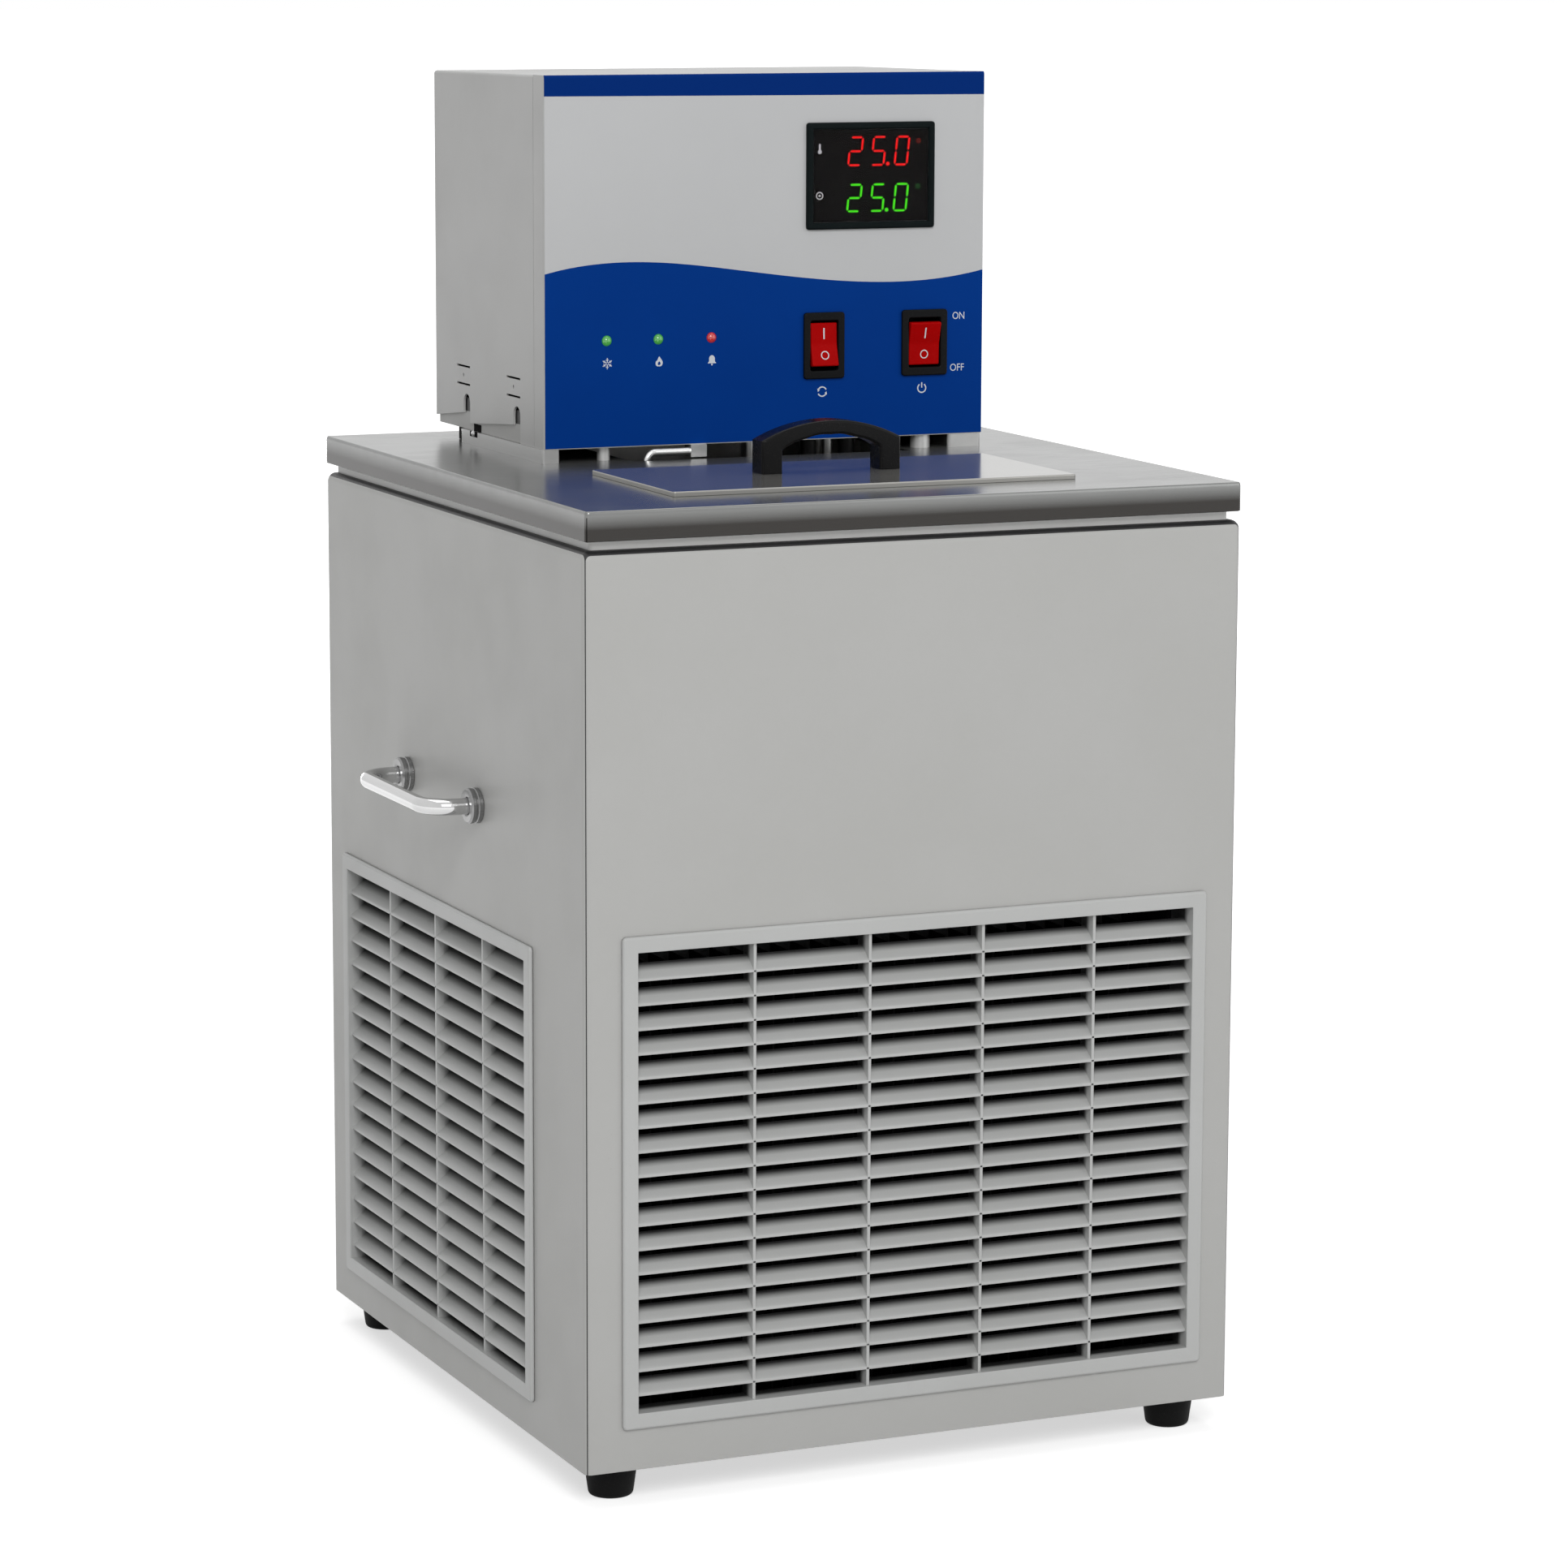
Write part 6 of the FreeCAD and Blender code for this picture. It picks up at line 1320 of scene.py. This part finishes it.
def digit_module(node, row, shift, light):
    low, high = row
    place = facing("front", (0, CARD_FACE - 0.15 * MM, 0))
    outlines = [circle(POINT_AT + shift, low + POINT_RADIUS, POINT_RADIUS, 20)]
    for symbol, x in zip(SHOWN, DIGIT_AT):
        outlines += digit_outlines(symbol, x + shift, low, high)
    bars = [plate(node + ".bars", [outline], SEGMENT_THICK, 0.04 * MM, place, 1)
            for outline in outlines]
    segments = joined(node + ".segments", bars)
    segments.data.materials.append(light)
    box_low, box_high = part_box(node)
    body_low = (box_low.x, CARD_FACE + 0.5 * MM, box_low.z)
    body = soft_block(node + ".body", body_low, box_high, 0.3 * MM)
    body.data.materials.append(MODULE_PLASTIC)
    return joined("lit_" + node, [body, segments])


dress(digit_module("upper_digits", UPPER_ROW, 0.0, RED_LIGHT), None, "digits_red", "upper_digits")
dress(digit_module("lower_digits", LOWER_ROW, -0.5 * MM, GREEN_LIGHT), None, "digits_green",
      "lower_digits")
print("digits:", SHOWN, "on two rows")

# %% [markdown]
# ## Printed marks
# The film carries small marks printed in white. Each is a flat outline given the thickness of a
# print: a snow star, a flame and a bell under the lamps, two chasing arrows under the pump's
# switch and the usual power mark under the other.

# %% Outlines of the marks
PRINT_THICK = 0.12 * MM


def arc_band(radius, width, start_deg, end_deg, steps=24):
    outer = arc_points(0, 0, radius + width / 2, start_deg, end_deg, steps)
    inner = arc_points(0, 0, radius - width / 2, start_deg, end_deg, steps)
    return outer + inner[::-1]


def turned_by(points, degrees):
    angle = math.radians(degrees)
    return [(u * math.cos(angle) - v * math.sin(angle), u * math.sin(angle) + v * math.cos(angle))
            for u, v in points]


def snow_star():
    half = [(0.42, 0.2), (1.2, 0.2), (1.75, 0.7), (2.0, 0.48), (1.6, 0.2), (2.6, 0.2)]
    spoke = [(r, -s) for r, s in half] + half[::-1]
    return [in_mm(turned_by(spoke, 30 + 60 * index)) for index in range(6)]


def flame():
    outer = [(0.1, 2.7), (0.9, 1.5), (1.8, 0.3), (1.8, -1.0), (1.1, -2.1), (-1.1, -2.1),
             (-1.8, -1.0), (-1.6, 0.3), (-0.8, 0.7), (-0.5, 1.6)]
    core = [(0.1, 0.4), (0.8, -0.6), (0.5, -1.5), (-0.5, -1.5), (-0.7, -0.6)]
    return [rounded(in_mm(outer), 0.5 * MM), rounded(in_mm(core), 0.3 * MM)]


def bell():
    dome = [(-2.3, -1.5), (-1.5, -0.7), (-1.4, 1.4), (-0.6, 2.3), (0.6, 2.3), (1.4, 1.4),
            (1.5, -0.7), (2.3, -1.5)]
    return [rounded(in_mm(dome), 0.5 * MM), circle(0, -2.05 * MM, 0.42 * MM, 16)]


def chasing_arrows():
    outlines = []
    for turn in (0, 180):
        outlines.append(turned_by(in_mm(arc_band(2.2, 0.6, 25, 148)), turn))
        tip = turned_by([(2.2, 0)], 182)[0]
        root = turned_by([(1.45, 0), (2.95, 0)], 149)
        outlines.append(turned_by(in_mm([root[0], tip, root[1]]), turn))
    return outlines


def power_mark():
    return [in_mm(arc_band(2.1, 0.6, 125, 415)), in_mm(rectangle(-0.3, 0.3, 0.2, 2.7))]


def thermometer():
    bulb = arc_points(0, -1.4 * MM, 1.0 * MM, 118, 422, 14)
    stem = arc_points(0, 1.9 * MM, 0.46 * MM, 0, 180, 6)
    return [bulb + stem]


def target_ring():
    return [circle(0, 0, 1.9 * MM, 24), circle(0, 0, 1.35 * MM, 24), circle(0, 0, 0.6 * MM, 12)]


# %% Setting the print on a face
def printed(name, outlines, x, y, z):
    place = facing("front", (x, y - PRINT_THICK * 0.5, z))
    return plate(name, outlines, PRINT_THICK, 0.01 * MM, place, 0)


def lettering(name, words, sides, y):
    """Words stretched to fill the sides (x0, x1, z0, z1)."""
    x0, x1, z0, z1 = sides
    text = bpy.data.curves.new(name + ".text", "FONT")
    text.body = words
    text.extrude = 0.5
    mesh = mesh_of(new_piece(name + ".text", text))
    corners = [vert.co for vert in mesh.vertices]
    low = Vector(min(c[axis] for c in corners) for axis in range(3))
    high = Vector(max(c[axis] for c in corners) for axis in range(3))
    size = high - low
    stretch = Matrix.Diagonal(((x1 - x0) / size.x, (z1 - z0) / size.y, PRINT_THICK / size.z, 1))
    mesh.transform(facing("front", (x0, y, z0)) @ stretch @ Matrix.Translation((-low.x, -low.y, 0)))
    tidy_mesh(mesh, 1e-7)
    return even_shading(new_piece(name, mesh))


# %% The marks in their places
LAMP_MARKS_Z = 489.6 * MM
SWITCH_MARKS_Z = 472.9 * MM
ON_SIDES = (102.4 * MM, 108.6 * MM, 505.4 * MM, 508.8 * MM)
OFF_SIDES = (101.3 * MM, 108.6 * MM, 480.6 * MM, 484.0 * MM)
CARD_MARKS_X = 32.4 * MM
marks = [
    printed("snow", snow_star(), -75.2 * MM, FILM_FACE, LAMP_MARKS_Z),
    printed("flame", flame(), -49.2 * MM, FILM_FACE, LAMP_MARKS_Z),
    printed("bell", bell(), -22.4 * MM, FILM_FACE, LAMP_MARKS_Z),
    printed("arrows", chasing_arrows(), 34.3 * MM, FILM_FACE, SWITCH_MARKS_Z),
    printed("power", power_mark(), 86.4 * MM, FILM_FACE, SWITCH_MARKS_Z),
    lettering("word_on", "ON", ON_SIDES, FILM_FACE),
    lettering("word_off", "OFF", OFF_SIDES, FILM_FACE),
]
card_marks = [
    printed("thermometer", thermometer(), CARD_MARKS_X, CARD_FACE, 587.4 * MM),
    printed("target", target_ring(), CARD_MARKS_X, CARD_FACE, 565.4 * MM),
]
unit_marks = []
for name, x, z, light in (("red_degree", 83.6 * MM, 590.6 * MM, DIM_RED),
                          ("green_degree", 83.3 * MM, 569.2 * MM, DIM_GREEN)):
    ring = [circle(0, 0, 1.1 * MM, 20), circle(0, 0, 0.65 * MM, 20)]
    mark = printed(name, ring, x, CARD_FACE, z)
    mark.data.materials.append(light)
    unit_marks.append(mark)
print("printed marks:", len(marks + card_marks + unit_marks))
dress(joined("panel_marks", marks), PRINT_WHITE, "panel_print")
dress(joined("display_marks", card_marks), PRINT_WHITE, "panel_print")
dress(joined("unit_marks", unit_marks), None, "digits_red")

# %% Top of the blue band
film_low, film_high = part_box("panel_blue_print")
PANEL_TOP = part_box("head_front_panel")[1].z
BAND_OVER = 0.3 * MM


def band_over_edge():
    """The print's last strip, which follows the rounded top edge of the panel."""
    bend = PANEL_TOP - film_high.z
    centre_out = -FILM_FACE - bend - BAND_OVER
    outer = arc_points(centre_out, film_high.z, bend + BAND_OVER, 0, 55, 8)
    inner = arc_points(centre_out, film_high.z, bend + 0.02 * MM, 0, 55, 8)
    return prism("band_edge", outer + inner[::-1], film_low.x, film_high.x, facing("front"))


dress(band_over_edge(), FILM_BLUE, "panel_blue")
print("band from", round(film_low.x / MM, 1), "to", round(film_high.x / MM, 1), "mm")

# %% [markdown]
# ## Rocker switches
# A snap-in frame with a flange and a deep sleeve holds a red rocker on two stub pins. The
# rocker's face is a shallow V, so pressing one half brings the other half forward. The pale I
# and O are set into it. Each rocker rides on its own body, tilted to one side about its pins.

# %% Switch sizes
SWITCH_Z = 494.8 * MM
SWITCH_PROUD = 1.6 * MM
SWITCH_DEPTH = 16.0 * MM
OPENING_HALF_H = 11.8 * MM
ROCKER_HALF_H = 10.3 * MM
ROCKER_FACE = -4.6 * MM
ROCKER_DIP = 1.1 * MM
ROCKER_BACK = 1.4 * MM
ROCKER_SIDE = 3.0 * MM
ROCKER_GAP = 0.35 * MM
PIN_RADIUS = 1.15 * MM
MARK_THICK = 0.2 * MM
SLEEVE_WALL = 1.5 * MM
PIVOT_Y = FILM_FACE - SWITCH_PROUD + 4.2 * MM
ROCKER_TILT = 8
print("rocker pivot at y", round(PIVOT_Y / MM, 2), "mm")


# %% The frame of a switch
def switch_frame(node, rocker_width):
    low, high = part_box(node)
    x = (low.x + high.x) / 2
    half = rocker_width / 2 + ROCKER_GAP
    opening = rectangle(x - half, x + half, SWITCH_Z - OPENING_HALF_H, SWITCH_Z + OPENING_HALF_H,
                        0.8 * MM, 3)[::-1]
    rim = rectangle(low.x, high.x, low.z, high.z, 1.6 * MM, 5)
    wall = SLEEVE_WALL
    sleeve = rectangle(x - half - wall, x + half + wall, SWITCH_Z - OPENING_HALF_H - wall,
                       SWITCH_Z + OPENING_HALF_H + wall, 0.5 * MM, 2)
    flange = plate(node + ".flange", [rim, opening], SWITCH_PROUD, 0.55 * MM,
                   facing("front", (0, FILM_FACE - SWITCH_PROUD, 0)), 4)
    tube_body = plate(node + ".sleeve", [sleeve, opening], SWITCH_DEPTH, 0.1 * MM,
                      facing("front", (0, FILM_FACE, 0)), 1)
    floor = soft_block(node + ".floor",
                       (x - half, FILM_FACE + SWITCH_DEPTH - wall, SWITCH_Z - OPENING_HALF_H),
                       (x + half, FILM_FACE + SWITCH_DEPTH, SWITCH_Z + OPENING_HALF_H), 0.1 * MM, 1)
    return joined("frame_of_" + node, [flange, tube_body, floor])


# %% A rocker with its pins and marks
def rocker(node, width, tilt_deg):
    low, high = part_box(node)
    x = (low.x + high.x) / 2
    face = ROCKER_FACE
    outline = rounded([(face, -ROCKER_HALF_H), (face + ROCKER_DIP, 0), (face, ROCKER_HALF_H),
                       (face + ROCKER_SIDE, ROCKER_HALF_H), (ROCKER_BACK, ROCKER_HALF_H / 2),
                       (ROCKER_BACK, -ROCKER_HALF_H / 2), (face + ROCKER_SIDE, -ROCKER_HALF_H)],
                      0.9 * MM)
    body_place = facing("right", (width / 2, 0, 0))
    body = plate(node + ".body", [outline[::-1]], width, 0.5 * MM, body_place)
    pins = turned(node + ".pins", [(0, low.x - x), (PIN_RADIUS, low.x - x),
                                   (PIN_RADIUS, high.x - x), (0, high.x - x)], facing("right"), 24)
    for part in (body, pins):
        part.data.materials.append(RED_PLASTIC)
    slope = math.atan(ROCKER_DIP / ROCKER_HALF_H)
    middle = face + ROCKER_DIP / 2
    marks = []
    stroke = [rectangle(-0.34 * MM, 0.34 * MM, -2.65 * MM, 2.65 * MM, 0.15 * MM, 2)]
    ring = [circle(0, 0, 2.1 * MM, 32), circle(0, 0, 1.6 * MM, 32)]
    for way, outlines in ((1, stroke), (-1, ring)):
        spot = Matrix.Translation((0, middle, way * ROCKER_HALF_H / 2))
        lean = Matrix.Rotation(way * slope, 4, "X")
        mark = plate(node + ".mark", outlines, MARK_THICK, 0.02 * MM,
                     spot @ lean @ facing("front", (0, -0.06 * MM, 0)), 1)
        mark.data.materials.append(PRINT_WHITE)
        marks.append(mark)
    whole = joined("red_" + node, [body, pins] + marks)
    turn = Matrix.Rotation(math.radians(tilt_deg), 4, "X")
    whole.data.transform(Matrix.Translation((x, PIVOT_Y, SWITCH_Z)) @ turn)
    return whole


# %% Both switches
for label, width, tilt in (("pump", 13.6 * MM, -ROCKER_TILT), ("power", 15.9 * MM, ROCKER_TILT)):
    case_node = label + "_switch_case"
    rocker_node = label + "_switch_rocker"
    dress(switch_frame(case_node, width), SWITCH_PLASTIC, "black_plastic", case_node)
    dress(rocker(rocker_node, width, tilt), None, "red_plastic", rocker_node, body=label + "_rocker")
    print(label, "rocker leans", tilt, "degrees")

# %% [markdown]
# ## The back
# Six pan-head screws hold the rear panel, three up each side, each with a cross slot cut into
# its dome. The two hose nozzles are turned with barbs that grip a rubber hose and a flange that
# seals on the sheet.

# %% Screws in the back
screw_low, screw_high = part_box("case_screws")
SCREW_HEAD_R = 3.2 * MM
SCREW_HEAD_H = 1.8 * MM
SCREW_LENGTH = 6.0 * MM
SLOT_HALF = 0.4 * MM


def pan_screw(name, radius, height, length):
    dome = rounded([(0, height), (radius * 0.7, height), (radius, height * 0.35), (radius, 0)],
                   radius * 0.5, closed=False, steps=6)
    shank = [(radius * 0.45, 0), (radius * 0.45, -length), (0, -length)]
    head = turned(name, [(0, height)] + dome[1:] + shank, Matrix(), 32)
    reach = radius * 0.55
    floor = height * 0.55
    arms = []
    for half_x, half_y in ((reach, SLOT_HALF), (SLOT_HALF, reach)):
        arms.append(soft_block("slot", (-half_x, -half_y, floor), (half_x, half_y, height * 2),
                               0.05 * MM, 1))
    return cut_away(head, [combined(*arms, "UNION")])


rows = []
step_z = (screw_high.z - screw_low.z - 2 * SCREW_HEAD_R) / 2
for side in (-1, 1):
    screw = pan_screw("pan_screw", SCREW_HEAD_R, SCREW_HEAD_H, SCREW_LENGTH)
    screw.data.transform(facing("back"))
    start = (side * (screw_high.x - SCREW_HEAD_R), screw_high.y - SCREW_HEAD_H,
             screw_low.z + SCREW_HEAD_R)
    rows.append(in_a_row("screw_row", screw, 3, (0, 0, step_z), SCREW_STEEL, start))
dress(joined("rear_screws", rows), SCREW_STEEL, "screw_steel", "case_screws")


# %% Hose nozzles
FLANGE_RADIUS = 10.0 * MM


def nozzle_profile(start, tip):
    """(radius, height) points along the outside, from inside the sheet to the tip."""
    bore = 3.5 * MM
    body = 5.0 * MM
    neck = 4.3 * MM
    flange = in_mm([(9.4, 0), (10.0, 0.5), (10.0, 2.5), (9.5, 3.0), (5.6, 3.0)])
    profile = [(bore, start), (body, start), (body, -0.2 * MM)] + flange
    profile += [(body, 3.6 * MM), (body, 6.5 * MM)]
    pitch = 4.6 * MM
    for ridge in range(4):
        low = 6.5 * MM + ridge * pitch
        profile += [(neck, low + 0.5 * MM), (neck, low + 1.0 * MM), (body, low + 1.4 * MM),
                    (body, low + 1.8 * MM), (neck + 0.1 * MM, low + pitch - 0.1 * MM)]
    return profile + [(neck, tip - 0.5 * MM), (neck - 0.4 * MM, tip), (bore, tip)]


nozzle_low, nozzle_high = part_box("hose_nozzles")
back_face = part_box("rear_panel")[1].y
nozzles = []
for x in (nozzle_low.x + FLANGE_RADIUS, nozzle_high.x - FLANGE_RADIUS):
    place = facing("back", (x, back_face, (nozzle_low.z + nozzle_high.z) / 2))
    profile = nozzle_profile(nozzle_low.y - back_face, nozzle_high.y - back_face)
    nozzles.append(turned("nozzle", profile, place, 56))
dress(joined("barbed_nozzles", nozzles), SATIN_STEEL, "tube_steel", "hose_nozzles")
print("rows of screws:", len(rows), "nozzles:", len(nozzles))

# %% [markdown]
# ## Small pieces round the head
# The left rail shows a thin dark slot with a low bolt in it; the slot is painted shade, drawn as
# thin black sheets. A dark rubber strip under the back of the head and thin foam mats behind the
# slots in the back stand in for the shade there, and the strip blocks light from behind.

# %% Slot and bolt of the left head rail
SLOT_Y = (86.2 * MM, 96.0 * MM)
LOW_SLOT = in_mm([(-107.44, 447.8), (-107.28, 450.3)])
HIGH_SLOT = in_mm([(-105.36, 450.3), (-105.18, 453.7)])
BOLT_AT = (-107.4 * MM, 90.7 * MM, 449.4 * MM)
BOLT_PROFILE = in_mm([(0, -0.1), (1.7, -0.1), (1.7, 0.3), (1.1, 0.8), (0, 0.95)])
# The slot is painted shade: thin black sheets on the rail's face.
slot_shade_parts = []
for (x0, z0), (x1, z1) in (LOW_SLOT, HIGH_SLOT):
    low, high = ((x0, SLOT_Y[0], z0), (x1, SLOT_Y[1], z1))
    slot_shade_parts.append(soft_block("slot", low, high, 0.03 * MM, 1))
dress(joined("rail_slot", slot_shade_parts), MODULE_PLASTIC, "black_plastic")
rail_bolt = turned("rail_bolt", BOLT_PROFILE, facing("left", BOLT_AT), 20)
dress(rail_bolt, SCREW_STEEL, "screw_steel")
print("parts of the slot:", len(slot_shade_parts))

# %% A dark strip of painted shade under the back of the head
# A dark strip in a rubber finish stands in for the shade in the gap and blocks light from behind.
SHADE_STRIP_X = (-104 * MM, 116 * MM)
SHADE_STRIP_Y = (117 * MM, 121 * MM)
SHADE_STRIP_Z = (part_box("worktop")[1].z + 0.05 * MM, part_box("head_base")[0].z - 0.05 * MM)
shade_strip_low, shade_strip_high = zip(SHADE_STRIP_X, SHADE_STRIP_Y, SHADE_STRIP_Z)
dress(soft_block("head_seal", shade_strip_low, shade_strip_high, 0.4 * MM, 2), RUBBER, "rubber")
print("seal height:", round((SHADE_STRIP_Z[1] - SHADE_STRIP_Z[0]) / MM, 2), "mm")

# %% Dark mats of painted shade behind the vents
head_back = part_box("head_cover")[1].y
VENT_MAT = in_mm([(-98, 54), (93, 200)])
HEAD_MAT = in_mm([(-38, 506), (50, 568)])
# Thin dark mats stand in for the shade inside, behind the slots in the cabinet's back and the head's
# back.
shade_mat_pieces = []
for face, depth, near, ((x0, z0), (x1, z1)) in ((back_face, 3.2 * MM, 1.7 * MM, VENT_MAT),
                                                (head_back, 2.8 * MM, 1.5 * MM, HEAD_MAT)):
    shade_mat_pieces.append(soft_block("mat", (x0, face - depth, z0), (x1, face - near, z1), 0.3 * MM))
print("mats:", len(shade_mat_pieces))
dress(joined("filter_mats", shade_mat_pieces), FOAM, "foam")
